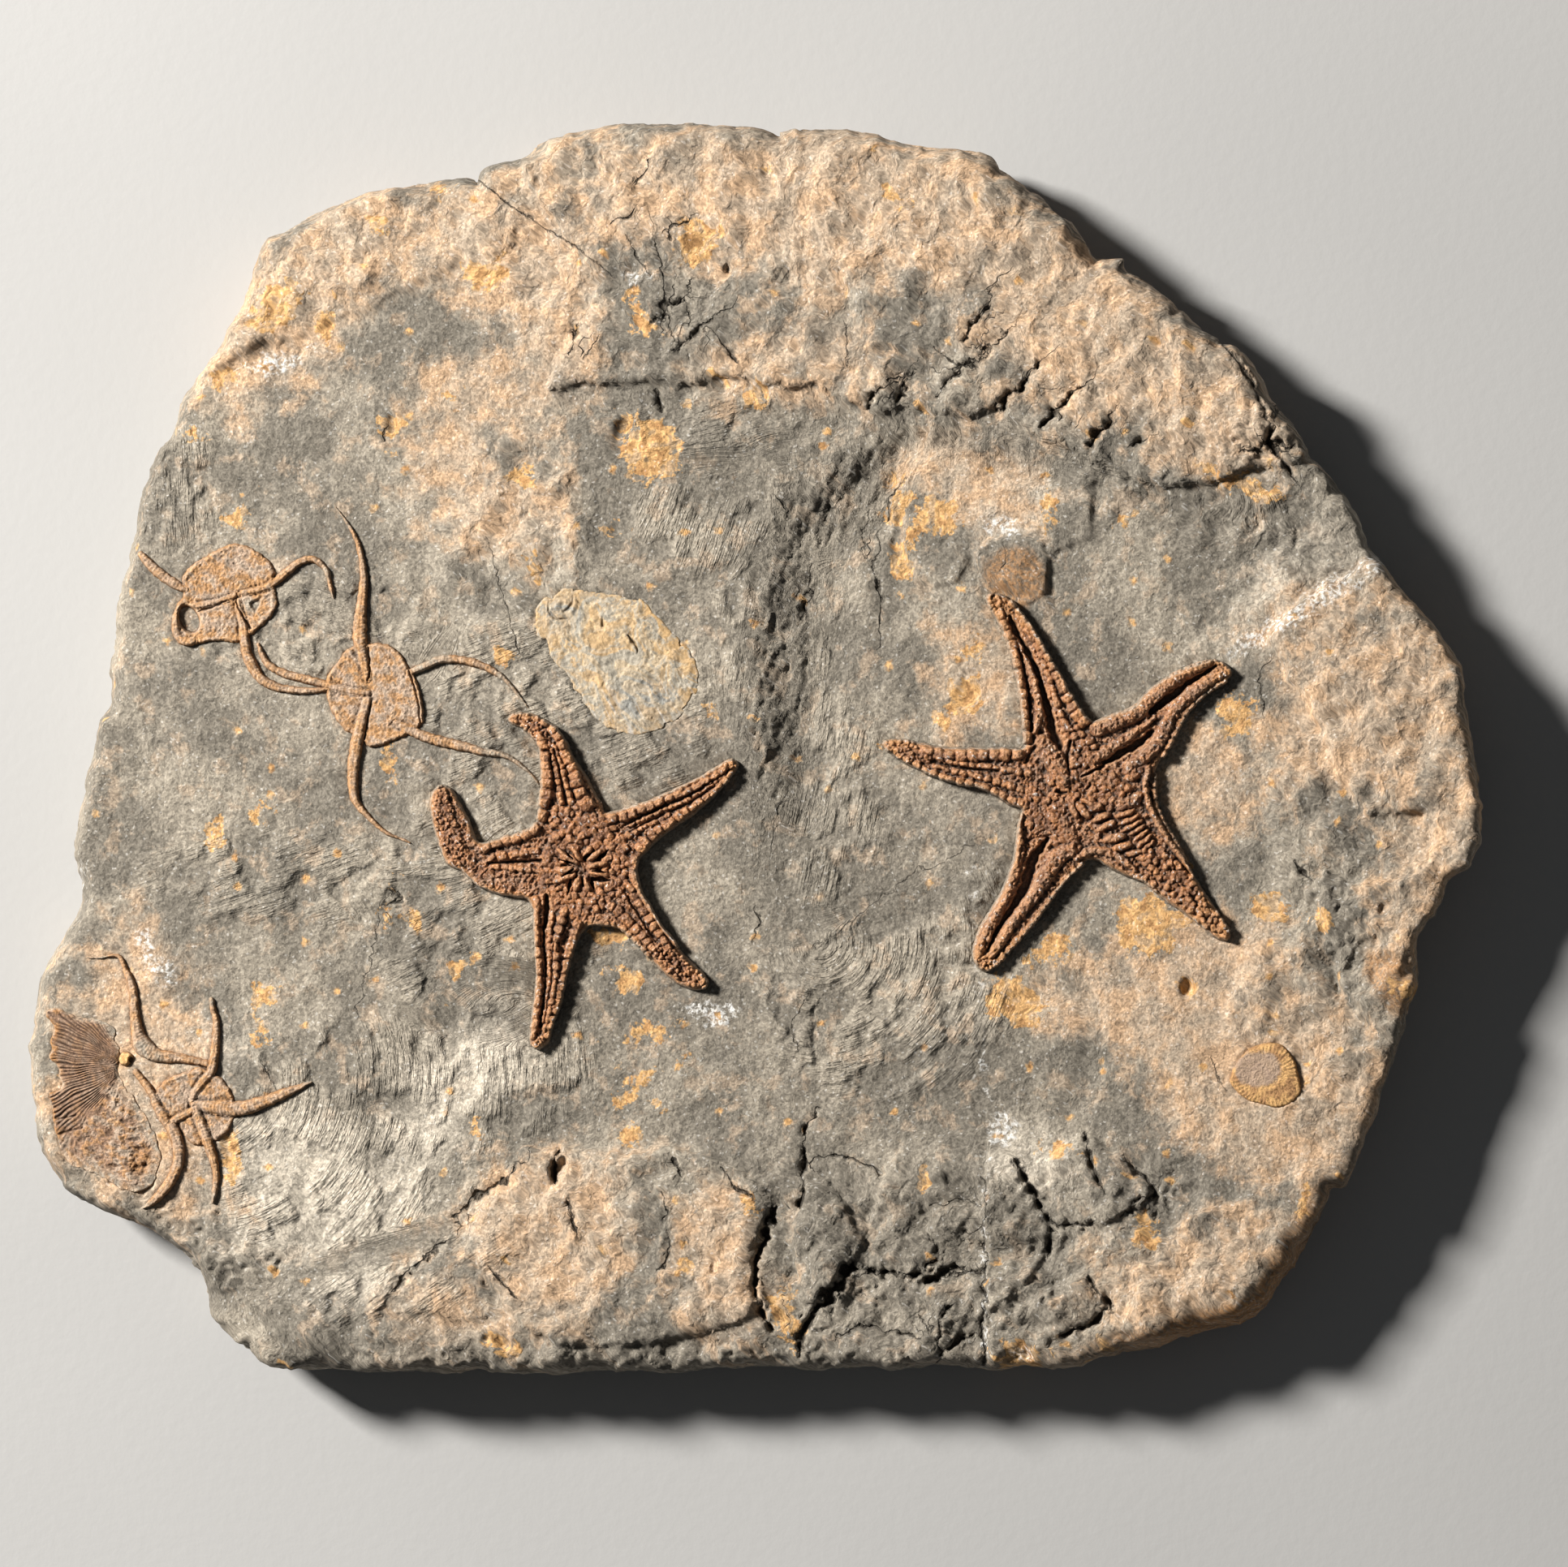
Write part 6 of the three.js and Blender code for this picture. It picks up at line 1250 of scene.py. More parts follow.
@lru_cache(maxsize=None)
def shell_relief(which):
    """The oval shell, a smooth low dome with a creased beak, or the small round one."""
    sheet, drawn, pitch, crown = (OVAL, OVAL_SHELL, 0.2, 0.8) if which == "oval" else (ROUND, ROUND_SHELL, 0.14, 1.25)
    outline = curve_through(from_sheet(sheet, drawn), 0.7, closed=True)
    relief = Relief(pitch, outline)
    x, y = relief.x, relief.y
    relief.edge = inside_by(x, y, outline) + 0.18 * waves(x, y, 2.2, 51)
    if which == "oval":
        relief.edge -= np.clip(1.0 * waves(x, y, 7, 57) + 1.0 * grain(x, y, 3.0, 58, 3), -0.1, 2.0)
    dome = np.clip(relief.edge / (9.0 if which == "oval" else 6.0), 0, 1)
    relief.height = crown * (0.42 + 0.58 * np.sqrt(1 - (1 - dome) ** 2))
    if which == "oval":
        (bx, by), = from_sheet(OVAL, [(440, 330)])
        out = np.hypot(x - bx, y - by)
        relief.height = 0.22 + 0.5 * dome + 0.30 * grain(x, y, 6, 52, 4, 0.6)
        relief.height += 0.25 * terraces(grain(x + 0.4 * y, y * 0.5, 5, 59, 3), 0.5, 0.12)
        relief.height += 0.08 * grain(x, y, 1.4, 53, 2)
        rings = np.abs(np.sin(out * 1.5 + 1.2 * waves(x, y, 4, 97)))
        relief.height += 0.3 * (rings - 0.6) * ease(-out, -6.5, -2.5)
        for line in ([(345, 300, 0.3), (345, 380, 0.5), (400, 440, 0.4), (480, 440, 0.2)],
                     [(520, 270, 0.2), (515, 330, 0.5), (460, 395, 0.3)], [(740, 430, 0.2), (745, 490, 0.4)],
                     [(930, 560, 0.2), (990, 640, 0.4), (1000, 700, 0.2)]):
            relief.cut_groove(from_sheet(OVAL, line), 0.0, 0.3)
        relief.blend = 1 - ease(relief.edge, 0.2, 3.4)
        relief.height = relief.height * (1 - 0.8 * relief.blend) + 0.08 * relief.blend
    else:
        (cx, cy), = from_sheet(ROUND, [(800, 780)])
        out = np.hypot(x - cx, y - cy)
        relief.height -= 0.35 * ease(-out, -7.5, -3.0) * ease(-(x - cx) + (y - cy) * 0.7, -2, 6)
        relief.height += 0.07 * grain(x, y, 1.1, 55, 3) + 0.08 * grain(x, y, 3.2, 56, 2)
        turn = np.degrees(np.arctan2(y - cy, x - cx))
        relief.height += 0.06 * np.sin(np.radians(turn) * 46) * ease(out, 4.0, 7.0)
    relief.height *= np.sqrt(np.clip(1 - (1 - np.clip((relief.edge + 0.05) / 0.8, 0, 1)) ** 2, 0, 1))
    relief.crest = relief.height - relief.blurred(0.8)
    return relief


def all_reliefs():
    """Every fossil's relief and how deep its seat in the stone is."""
    stars = [(starfish_relief(s["node"]), 2.7) for s in (LEFT_STARFISH, RIGHT_STARFISH)]
    brittle = [(brittle_relief(s["node"]), 0.9)
               for s in (UPPER_BRITTLE_STAR, MIDDLE_BRITTLE_STAR, LOWER_BRITTLE_STAR)]
    return stars + brittle + [(fan_relief(), 0.9), (shell_relief("oval"), 0.9), (shell_relief("round"), 0.9)]


def place_relief(name, relief, foot, values, finish):
    """Sets a relief on the stone as a closed piece."""
    relief = shifted_to_stone(relief)
    points, triangles, values = body_of_relief(relief, foot, values)
    return make_piece(name + "_relief", name, points, triangles, values, finish)


def shifted_to_stone(relief):
    """A copy of a relief whose heights are above the underside and whose edge lies below the stone."""
    copy = Relief.__new__(Relief)
    copy.__dict__.update(relief.__dict__)
    sunk = 0.55 * (1 - ease(relief.edge, 0.0, 0.35))
    copy.height = np.minimum(FACE + swell(relief.x, relief.y) + relief.height - sunk, FOSSIL_TOP)
    return copy


# ---- the stone --------------------------------------------------------------------------------------

def bevel_at(bearing):
    """How far the face's edge lies inside the slab's widest outline at a bearing."""
    def bump(middle, width):
        turn = np.arctan2(np.sin(bearing - middle), np.cos(bearing - middle))
        return np.exp(-(turn / width) ** 2)
    return 2.6 + 6 * bump(-0.87, 0.16) + 3.5 * bump(0.95, 0.4) + 2.5 * bump(-1.75, 0.5)


def roughness_at(x, y):
    """0 on scraped ground to 1 on broken ground."""
    return ease(inside_ovals(x, y, ROUGH_GROUND) + 4 * waves(x, y, 22, 61), -6, 5)


def plates_at(x, y):
    """Height of the bedding plates, and how near each place is to a plate's broken edge."""
    height, edge = np.zeros(x.shape), np.full(x.shape, 99.0)
    for k, (outline, rise, width, ragged) in enumerate(PLATES):
        outline = np.array(from_sheet(WHOLE, outline))
        w = near_box(x, y, outline, 5)
        inner = inside_by(x[w], y[w], outline)
        inner += ragged * grain(x[w], y[w], 7, 300 + k, 3) + 0.35 * waves(x[w], y[w], 1.8, 320 + k)
        height[w] += rise * ease(inner, -width * 0.5, width * 0.5)
        edge[w] = np.minimum(edge[w], np.abs(inner) - width * 0.5)
    return height, edge


@lru_cache(maxsize=None)
def grooves():
    """Cracks and chisel marks: lines with half widths in mm, and how deep each is."""
    made = [(curve_through(from_sheet(WHOLE, line), 1.5), depth) for line, depth in CRACKS]
    for from_, to, half, depth in CHISEL_MARKS:
        low, high = sorted((from_, to), key=lambda end: -end[1])
        points = [(low[0] + t * (high[0] - low[0]), low[1] + t * (high[1] - low[1]), wide * half)
                  for t, wide in ((0, 0.35), (0.12, 0.8), (0.45, 0.6), (1, 0.1))]
        made.append((curve_through(from_sheet(WHOLE, points), 1.5), depth))
    return made


def beside_groove(x, y, line):
    """Where places near a wavering groove lie: distance, signed distance and half width."""
    shift = 0.7 * grain(x, y, 4.2, 68, 3, 0.6) * 1.6
    gap, _, side, half = near_line(x + shift, y - shift, line)
    return gap, side, half * np.clip(0.62 + 0.8 * waves(x, y, 2.7, 100), 0.2, 1.3)


def stone_height(x, y):
    """The height of the stone's top surface above the underside, and how much detail it needs."""
    rough = roughness_at(x, y)
    height = FACE + swell(x, y)
    height += (0.12 + 0.42 * rough) * grain(x, y, 21, 62, 2)
    layered = grain(x + 2 * waves(x, y, 9, 63), y + 2 * waves(x, y, 9, 64), 12, 65, 4, 0.55)
    height += (0.22 + 0.55 * rough) * terraces(layered, 0.34, 0.13)
    height += (0.12 + 0.20 * rough) * grain(x, y, 5.0, 66, 2, creased=True)
    height += (0.10 + 0.08 * rough) * grain(x, y, 2.6, 67, 1)
    broken = ease(inside_ovals(x, y, BROKEN_GROUND) + 3 * waves(x, y, 11, 76), -2, 3)
    blocks = grain(x + 1.5 * waves(x, y, 5, 77), y, 13, 78, 3, 0.45)
    height += broken * 1.5 * (terraces(blocks, 0.42, 0.06) - 0.2)
    trench = ease(inside_ovals(x, y, TORN_GROUND), -4, 5)
    slant = x - 0.25 * y
    height += trench * 0.5 * grain(slant * 2.2, y * 0.8, 5, 79, 3, creased=True)
    height += trench * 0.7 * terraces(grain(slant * 2.3, y * 0.9, 9, 87, 4, 0.6), 0.42, 0.08)
    plates, need = plates_at(x, y)
    need = np.where((broken > 0.4) | (trench > 0.7), np.minimum(need, -0.1), need)
    height += plates
    for line, depth, left, right in HOLLOWS:
        line = curve_through(from_sheet(WHOLE, line), 3)
        w = near_box(x, y, line, 18)
        gap, _, side, half = near_line(x[w] + 1.2 * waves(x[w], y[w], 9, 75), y[w], line)
        half = half * np.where(side > 0, right, left)
        height[w] -= depth * ease(-gap, -half, -half * 0.05)
    for line, depth in grooves():
        w = near_box(x, y, line, 4)
        gap, side, half = beside_groove(x[w], y[w], line)
        height[w] += 0.4 * ease(half, 0.15, 0.7) * np.exp(-gap / 1.3) * np.tanh(3 * side)
        height[w] -= depth * np.clip(1 - gap / (0.75 * half + 0.35), 0, 1) ** 0.8 * ease(half, 0.2, 0.7)
        need[w] = np.minimum(need[w], np.where(half > 0.3, gap - half - 0.5, 99))
    for *oval, depth in PITS:
        inner = inside_oval(x, y, oval) + 0.4 * waves(x, y, 2.5, 69)
        wide = min(oval[2], oval[3]) * WHOLE[2]
        height -= depth * ease(inner, -0.2, wide * 0.75)
        need = np.minimum(need, np.abs(inner) - min(1.4, wide))
    for *oval, tall in LUMPS:
        height += tall * ease(inside_oval(x, y, oval), 0, min(oval[2], oval[3]) * WHOLE[2] * 0.7)
    return height, need


def edge_drop(x, y, depth_in):
    """How far the face rounds down towards the slab's broken edge, from the distance inside it."""
    bearing = np.arctan2(y, x)
    wide = bevel_at(bearing) * (1 + 0.4 * waves(x, y, 7, 71))
    t = np.clip(1 - depth_in / wide, 0, 1)
    steep = 1 + 1.3 * np.exp(-((bearing + 0.87) / 0.18) ** 2)
    drop = (1.3 * t ** 1.3 + 2.2 * t ** 4) * steep + 0.45 * t * grain(x, y, 5, 72, 3)
    drop = drop + 0.4 * (terraces(drop, 0.9, 0.14) - drop)
    flakes = np.clip(0.05 + 0.9 * waves(x, y, 15, 73) + 0.5 * waves(x, y, 5, 70), 0, 1)
    return drop + 1.1 * ease(flakes * 5.5 - depth_in, 0.0, 1.2)


def seats(x, y):
    """How far the stone is cut away under each fossil, and how near each place is to a fossil's edge."""
    cut, need = np.zeros(x.shape), np.full(x.shape, 99.0)
    hidden = np.zeros(x.shape, bool)
    for relief, depth in all_reliefs():
        edge = relief.edge_at(x, y)
        cut = np.maximum(cut, depth * ease(edge, 0.15, 1.3 if depth > 1 else 0.9))
        if depth > 1:
            cut = np.maximum(cut, 0.35 * np.exp(-((edge + 0.4) / 0.7) ** 2))
        near = np.where(edge > -8.9, np.abs(edge) - (1.5 if depth > 1 else 0.9), 99)
        need = np.minimum(need, near)
        hidden |= edge > 1.8
    return cut, need, hidden


def slab_edge():
    """The loop that bounds the slab's top surface, and the widest outline beyond it."""
    widest = curve_through(SLAB_OUTLINE, 1.0, closed=True)
    bearing = np.arctan2(widest[:, 1], widest[:, 0])
    run = np.arange(len(widest)) * 1.0
    worn = edge_wear(run, 0 * run)
    reach = np.hypot(widest[:, 0], widest[:, 1])
    inset = worn + 0.15 + 0.1 * bevel_at(bearing) + 0.5 * np.clip(grain(run, 0 * run, 5, 81, 3), 0, 1)
    top = widest * (1 - inset / reach)[:, None]
    return top, widest, worn, reach, run


def edge_wear(run, down):
    """How far the broken side is worn back from the outline, along it and down it."""
    return np.clip(0.7 + 2.0 * grain(run, down, 17, 80, 4, 0.5), 0, 2.4)


def slab_points():
    """Places on the face, closer together where the stone has detail."""
    edge, *_ = slab_edge()
    coarse, fine = ((1.42, 0.74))
    chosen = []
    for pitch, want_fine, seed in ((coarse, False, 83), (fine, True, 86)):
        gx, gy = np.meshgrid(np.arange(-181, 181, pitch), np.arange(-156, 156, pitch * 0.866))
        i, j = np.meshgrid(np.arange(gx.shape[1]), np.arange(gx.shape[0]))
        gx = gx + (j % 2) * pitch * 0.5
        gx = gx + (scatter(i, j, seed) - 0.5) * pitch * 0.4
        gy = gy + (scatter(i, j, seed + 1) - 0.5) * pitch * 0.4
        x, y = gx.ravel(), gy.ravel()
        inner = inside_by(x, y, edge)
        keep = inner > pitch * 0.5
        x, y, inner = x[keep], y[keep], inner[keep]
        _, need = stone_height(x, y)
        _, near, hidden = seats(x, y)
        detail = (np.minimum(need, near) < 0) | (inner < 2.0)
        sparse = hidden & (scatter(np.arange(len(x)), 0, seed + 2) > 0.3)
        keep = (detail & ~hidden) if want_fine else (~detail & ~sparse)
        chosen.append(np.stack([x[keep], y[keep]], 1))
    return edge, np.vstack(chosen)


def stone_marks(x, y, edge_in):
    """The stains, as distances inside them in millimetres, and the way scraped ground is stroked."""
    marks = {
        "ochre": inside_ovals(x, y, OCHRE_STAINS),
        "tan": inside_ovals(x, y, TAN_GROUND),
        "pale": inside_ovals(x, y, PALE_GROUND),
        "grey": inside_ovals(x, y, GREY_GROUND),
        "chalk": inside_ovals(x, y, CHALK_MARKS),
        "rough": roughness_at(x, y),
        "trench": ease(inside_ovals(x, y, TORN_GROUND) + 2 * waves(x, y, 12, 88), -5, 7),
        "rust": np.maximum(np.exp(-((np.arctan2(y, x) + 0.87) / 0.2) ** 2) * ease(-edge_in, -6.5, -4.0),
                           0.75 * ease(inside_ovals(x, y, BROWN_PLATES) + waves(x, y, 3, 101), -0.5, 2)),
    }
    marks["crack"], marks["crack_half"] = np.full(x.shape, 5.0), np.full(x.shape, -5.0)
    for line, _ in grooves():
        w = near_box(x, y, line, 4)
        gap, side, half = beside_groove(x[w], y[w], line)
        half = 0.75 * half + 0.1 - np.sqrt(np.maximum(gap ** 2 - side ** 2, 0))
        closer = half - gap > marks["crack_half"][w] - np.abs(marks["crack"][w])
        marks["crack"][w] = np.where(closer, side, marks["crack"][w])
        marks["crack_half"][w] = np.where(closer, half, marks["crack_half"][w])
    stroke, phase, along = np.zeros(x.shape), np.zeros(x.shape), np.zeros(x.shape)
    total = np.full(x.shape, 1e-6)
    for *oval, way in SCRAPED_GROUND:
        share = ease(inside_oval(x, y, oval), -2, 8) + 1e-6
        turn = math.radians(way)
        phase += share * (y * math.cos(turn) - x * math.sin(turn))
        along += share * (x * math.cos(turn) + y * math.sin(turn))
        total += share
        stroke = np.maximum(stroke, share)
    for *oval, u, v in ARC_GROUND:
        share = 1.5 * ease(inside_oval(x, y, oval), -3, 9)
        (cx, cy), = from_sheet(WHOLE, [(u, v)])
        out = np.hypot(x - cx, y - cy)
        phase += share * out
        along += share * out * np.arctan2(y - cy, x - cx)
        total += share
        stroke = np.maximum(stroke, share)
    marks["stroke"] = np.clip(stroke, 0, 1)
    marks["stroke_across"] = phase / total
    marks["stroke_along"] = along / total
    return marks


# ---- finishes -----------------------------------------------------------------------------------------

class Finish:
    """Builds a material's nodes."""

    def __init__(self, name):
        self.material = bpy.data.materials.new(name)
        self.material.use_nodes = True
        self.tree = self.material.node_tree
        self.shader = self.tree.nodes["Principled BSDF"]
        # Textures lie in the slab's plane, sheared by the height so that its sides show beds.
        whole = self.node("ShaderNodeTexCoord").outputs["Object"]
        split = self.node("ShaderNodeSeparateXYZ", None, Vector=whole).outputs
        self.place = self.node("ShaderNodeCombineXYZ", None, X=self.math("MULTIPLY_ADD", split["Z"], 1.7, split["X"]),
                               Y=self.math("MULTIPLY_ADD", split["Z"], -1.3, split["Y"])).outputs[0]
        self.warp = None

    def node(self, kind, settings=None, **inputs):
        made = self.tree.nodes.new(kind)
        for key, value in (settings or {}).items():
            setattr(made, key, value)
        for key, value in inputs.items():
            socket = made.inputs[key.replace("_", " ")]
            self.feed(socket, value)
        return made

    def feed(self, socket, value):
        if isinstance(value, bpy.types.NodeSocket):
            self.tree.links.new(value, socket)
        elif isinstance(value, (tuple, list)) and len(value) == 3 and socket.type == "RGBA":
            socket.default_value = (*value, 1)
        else:
            socket.default_value = value

    def value(self, name):
        return self.node("ShaderNodeAttribute", {"attribute_name": name}).outputs["Fac"]

    def noise(self, size_mm, detail=3.0, roughness=0.55, distortion=0.0, place=None):
        made = self.node("ShaderNodeTexNoise", {"noise_dimensions": "2D"}, Scale=1000 / size_mm, Detail=detail,
                         Roughness=roughness, Distortion=distortion)
        self.tree.links.new(place or self.place, made.inputs["Vector"])
        return made.outputs["Fac"]

    def cells(self, size_mm, ragged_mm=0.0):
        """Cells of a size, their walls made ragged by noise."""
        made = self.node("ShaderNodeTexVoronoi", {"voronoi_dimensions": "2D"}, Scale=1000 / size_mm)
        place = self.place
        if ragged_mm:
            if self.warp is None:
                noise = self.node("ShaderNodeTexNoise", {"noise_dimensions": "2D"}, Scale=1000 / 3.2, Detail=4.0,
                                  Roughness=0.62, Vector=self.place)
                self.warp = self.vector("SUBTRACT", noise.outputs["Color"], (0.5, 0.5, 0.5))
            place = self.vector("ADD", place, self.vector("SCALE", self.warp, 2 * ragged_mm * MM))
        self.tree.links.new(place, made.inputs["Vector"])
        return made

    def vector(self, operation, first, second):
        made = self.tree.nodes.new("ShaderNodeVectorMath")
        made.operation = operation
        self.feed(made.inputs[0], first)
        self.feed(made.inputs["Scale" if operation == "SCALE" else 1], second)
        return made.outputs[0]

    def chips(self, size_mm, ragged_mm=0.0):
        """A random level for each of many small ragged cells."""
        made = self.cells(size_mm, ragged_mm)
        return self.node("ShaderNodeSeparateColor", None, Color=made.outputs["Color"]).outputs["Red"]

    def math(self, operation, *values, clamp=False):
        made = self.tree.nodes.new("ShaderNodeMath")
        made.operation = operation
        made.use_clamp = clamp
        for socket, value in zip(made.inputs, values):
            self.feed(socket, value)
        return made.outputs[0]

    def step(self, value, low, high, start=0.0, end=1.0):
        made = self.node("ShaderNodeMapRange", {"interpolation_type": "SMOOTHSTEP"})
        for socket, given in zip(made.inputs, (value, low, high, start, end)):
            self.feed(socket, given)
        return made.outputs[0]

    def mix(self, share, first, second, blend="MIX"):
        made = self.tree.nodes.new("ShaderNodeMix")
        made.data_type = "RGBA"
        made.blend_type = blend
        for index, value in ((0, share), (6, first), (7, second)):
            self.feed(made.inputs[index], value)
        return made.outputs[2]

    def shade(self, colour, amount):
        """A colour made lighter or darker by a number."""
        return self.vector("SCALE", colour, amount)

    def ledges(self, value, count, soft=0.2):
        """A smooth value cut into steps."""
        level = self.math("MULTIPLY", value, count)
        part = self.step(self.math("FRACT", level), 0.5 - soft, 0.5 + soft)
        return self.math("DIVIDE", self.math("ADD", self.math("FLOOR", level), part), count)

    def stain(self, name, spread, grain, low=-0.6, high=0.6):
        """A mask from a distance inside a stain, its edge broken up by noise of a grain in mm, or a made one."""
        noise = grain if isinstance(grain, bpy.types.NodeSocket) else self.noise(grain, 4, 0.7)
        ragged = self.math("MULTIPLY", self.math("SUBTRACT", noise, 0.5), spread)
        return self.step(self.math("ADD", self.value(name), ragged), low, high)

    def spots(self, size_mm, radius, share):
        """Small scattered spots: one in a share of the cells of a given size."""
        made = self.cells(size_mm)
        chosen = self.node("ShaderNodeSeparateColor", None, Color=made.outputs["Color"]).outputs["Red"]
        near = self.step(self.math("MULTIPLY_ADD", self.noise(size_mm * 0.22, 3, 0.6), 0.35, made.outputs["Distance"]),
                         radius + 0.24, radius + 0.12)
        return self.math("MULTIPLY", near, self.step(chosen, 1 - share, 1 - share + 0.02))

    def bump(self, height, distance_mm, strength=1.0, under=None):
        made = self.node("ShaderNodeBump", None, Strength=strength, Distance=distance_mm * MM)
        self.feed(made.inputs["Height"], height)
        if under is not None:
            self.feed(made.inputs["Normal"], under)
        return made.outputs[0]

    def done(self, colour, normal, roughness):
        self.feed(self.shader.inputs["Base Color"], colour)
        self.feed(self.shader.inputs["Normal"], normal)
        self.feed(self.shader.inputs["Roughness"], roughness)
        return self.material


def stone_finish(looks):
    """Grey sandy stone with tan ground, ochre stains, pale scraped places and chalky marks, with painted shade in its
    cracks, chisel marks, small pits and torn trench, and a few painted glints.
    """
    f = Finish("Sandy stone")
    f.shader.inputs["Specular IOR Level"].default_value = 0.25
    sand = f.chips(0.5)
    fine = f.noise(1.1, 3, 0.62)
    coarse = f.noise(3.4, 3, 0.55)
    mottle = f.noise(8, 5, 0.66)
    cloud = f.noise(26, 4, 0.6)
    flakes = f.chips(6.5, 1.6)
    upright = f.vector("MULTIPLY", f.place, (1.5, 0.5, 1.0))
    torn = f.ledges(f.noise(3.4, 3, 0.6, place=upright), 10, 0.16)
    # colour
    ragged = f.math("MULTIPLY_ADD", f.math("SUBTRACT", mottle, 0.5), 0.7, cloud)
    colour = f.mix(f.step(cloud, 0.4, 0.6), tuple(looks.grey), tuple(looks.warm_grey))
    colour = f.mix(f.step(mottle, 0.54, 0.66, 0, 0.5), colour, tuple(looks.tan))
    colour = f.mix(f.math("MULTIPLY", f.stain("pale", 26, ragged, -5, 11), 0.72), colour, tuple(looks.pale))
    tan = f.math("MULTIPLY", f.stain("tan", 34, ragged, -7, 7), f.step(mottle, 0.34, 0.5, 0.55, 0.97))
    colour = f.mix(tan, colour, f.mix(f.step(mottle, 0.46, 0.64), tuple(looks.tan), tuple(looks.peach)))
    grey = f.math("MULTIPLY", f.stain("grey", 28, ragged, -3, 6), f.step(mottle, 0.64, 0.46, 0.35, 0.95))
    colour = f.mix(grey, colour, tuple(looks.grey))
    colour = f.mix(f.math("MULTIPLY", f.value("rust"), f.step(fine, 0.35, 0.6, 0.35, 0.95)), colour,
                   tuple(looks.rust))
    ochre = f.math("MAXIMUM", f.stain("ochre", 13, 5.5, -0.3, 0.6), f.spots(8.5, 0.1, 0.14))
    ochre = f.math("MULTIPLY", ochre, f.step(coarse, 0.36, 0.5, 0.4, 0.95))
    colour = f.mix(ochre, colour, f.mix(f.step(coarse, 0.5, 0.66, 0.1, 0.75), tuple(looks.ochre), tuple(looks.rust)))
    chalk = f.math("MULTIPLY", f.stain("chalk", 9, 3.2, -0.4, 1.6), f.step(fine, 0.42, 0.6))
    colour = f.mix(f.math("MULTIPLY", chalk, 0.7), colour, tuple(looks.chalk))
    # Painted glints: a few sand grains are turned chalk white.
    colour = f.mix(f.math("MULTIPLY", f.step(sand, 0.97, 0.985), 0.2), colour, tuple(looks.chalk))
    # Painted shade: the torn trench is darkened towards the deep colour, most in the low steps of its ridges.
    trench = f.value("trench")
    colour = f.mix(f.math("MULTIPLY", trench, f.step(torn, 0.36, 0.56, 0.5, 0.08)), colour, tuple(looks.deep))
    # cracks and chisel marks, painted dark inside as shade
    ragged = f.math("MULTIPLY", f.math("SUBTRACT", fine, 0.5), 1.2)
    off = f.math("ABSOLUTE", f.math("ADD", f.value("crack"), ragged))
    into = f.math("MAXIMUM", f.math("SUBTRACT", f.value("crack_half"), off), 0.0)
    colour = f.mix(f.step(into, 0.02, 0.4, 0, 0.85), colour, tuple(looks.deep))
    # grain, and painted shade where the fine relief dips into small pits
    speck = f.step(sand, 0, 1, 0.8, 1.2)
    painted_pit_shade = f.step(fine, 0.34, 0.56, 0.7, 0.96)
    colour = f.shade(colour, f.math("MULTIPLY", speck, painted_pit_shade))
    # relief, in millimetres
    def strokes(stretch):
        return f.node("ShaderNodeCombineXYZ", None, X=f.math("MULTIPLY", f.value("stroke_across"), MM),
                      Y=f.math("MULTIPLY", f.value("stroke_along"), MM * stretch)).outputs[0]
    stroke = f.math("MULTIPLY", f.value("stroke"), f.step(f.noise(13, 2, 0.6), 0.4, 0.58, 0.08, 0.9))
    scratch = f.math("MULTIPLY", f.ledges(f.noise(3.0, 3, 0.6, place=strokes(0.22)), 11, 0.2), 1.7)
    scratch = f.math("MULTIPLY_ADD", f.noise(1.0, 2, 0.55, place=strokes(0.12)), 0.6, scratch)
    rough = f.step(f.value("rough"), 0, 1, 0.55, 1.25)
    relief = f.math("MULTIPLY", flakes, f.math("MULTIPLY", rough, 0.4))
    relief = f.math("MULTIPLY_ADD", f.chips(2.3, 0.5), f.math("MULTIPLY", rough, 0.2), relief)
    relief = f.math("MULTIPLY_ADD", f.noise(9, 1, 0.5), f.math("MULTIPLY", rough, 2.0), relief)
    relief = f.math("MULTIPLY_ADD", f.noise(2.8, 1, 0.4), f.math("MULTIPLY_ADD", rough, 0.25, 0.3), relief)
    relief = f.math("MULTIPLY_ADD", fine, 0.3, relief)
    relief = f.math("MULTIPLY_ADD", sand, 0.15, relief)
    relief = f.math("MULTIPLY_ADD", scratch, f.math("MULTIPLY", stroke, f.step(trench, 0.1, 0.7, 1, 0.1)), relief)
    relief = f.math("MULTIPLY_ADD", torn, f.math("MULTIPLY", trench, 2.6), relief)
    relief = f.math("MULTIPLY_ADD", into, -2.2, relief)
    return f.done(colour, f.bump(relief, 1.0), f.step(sand, 0, 1, 0.95, 0.7))


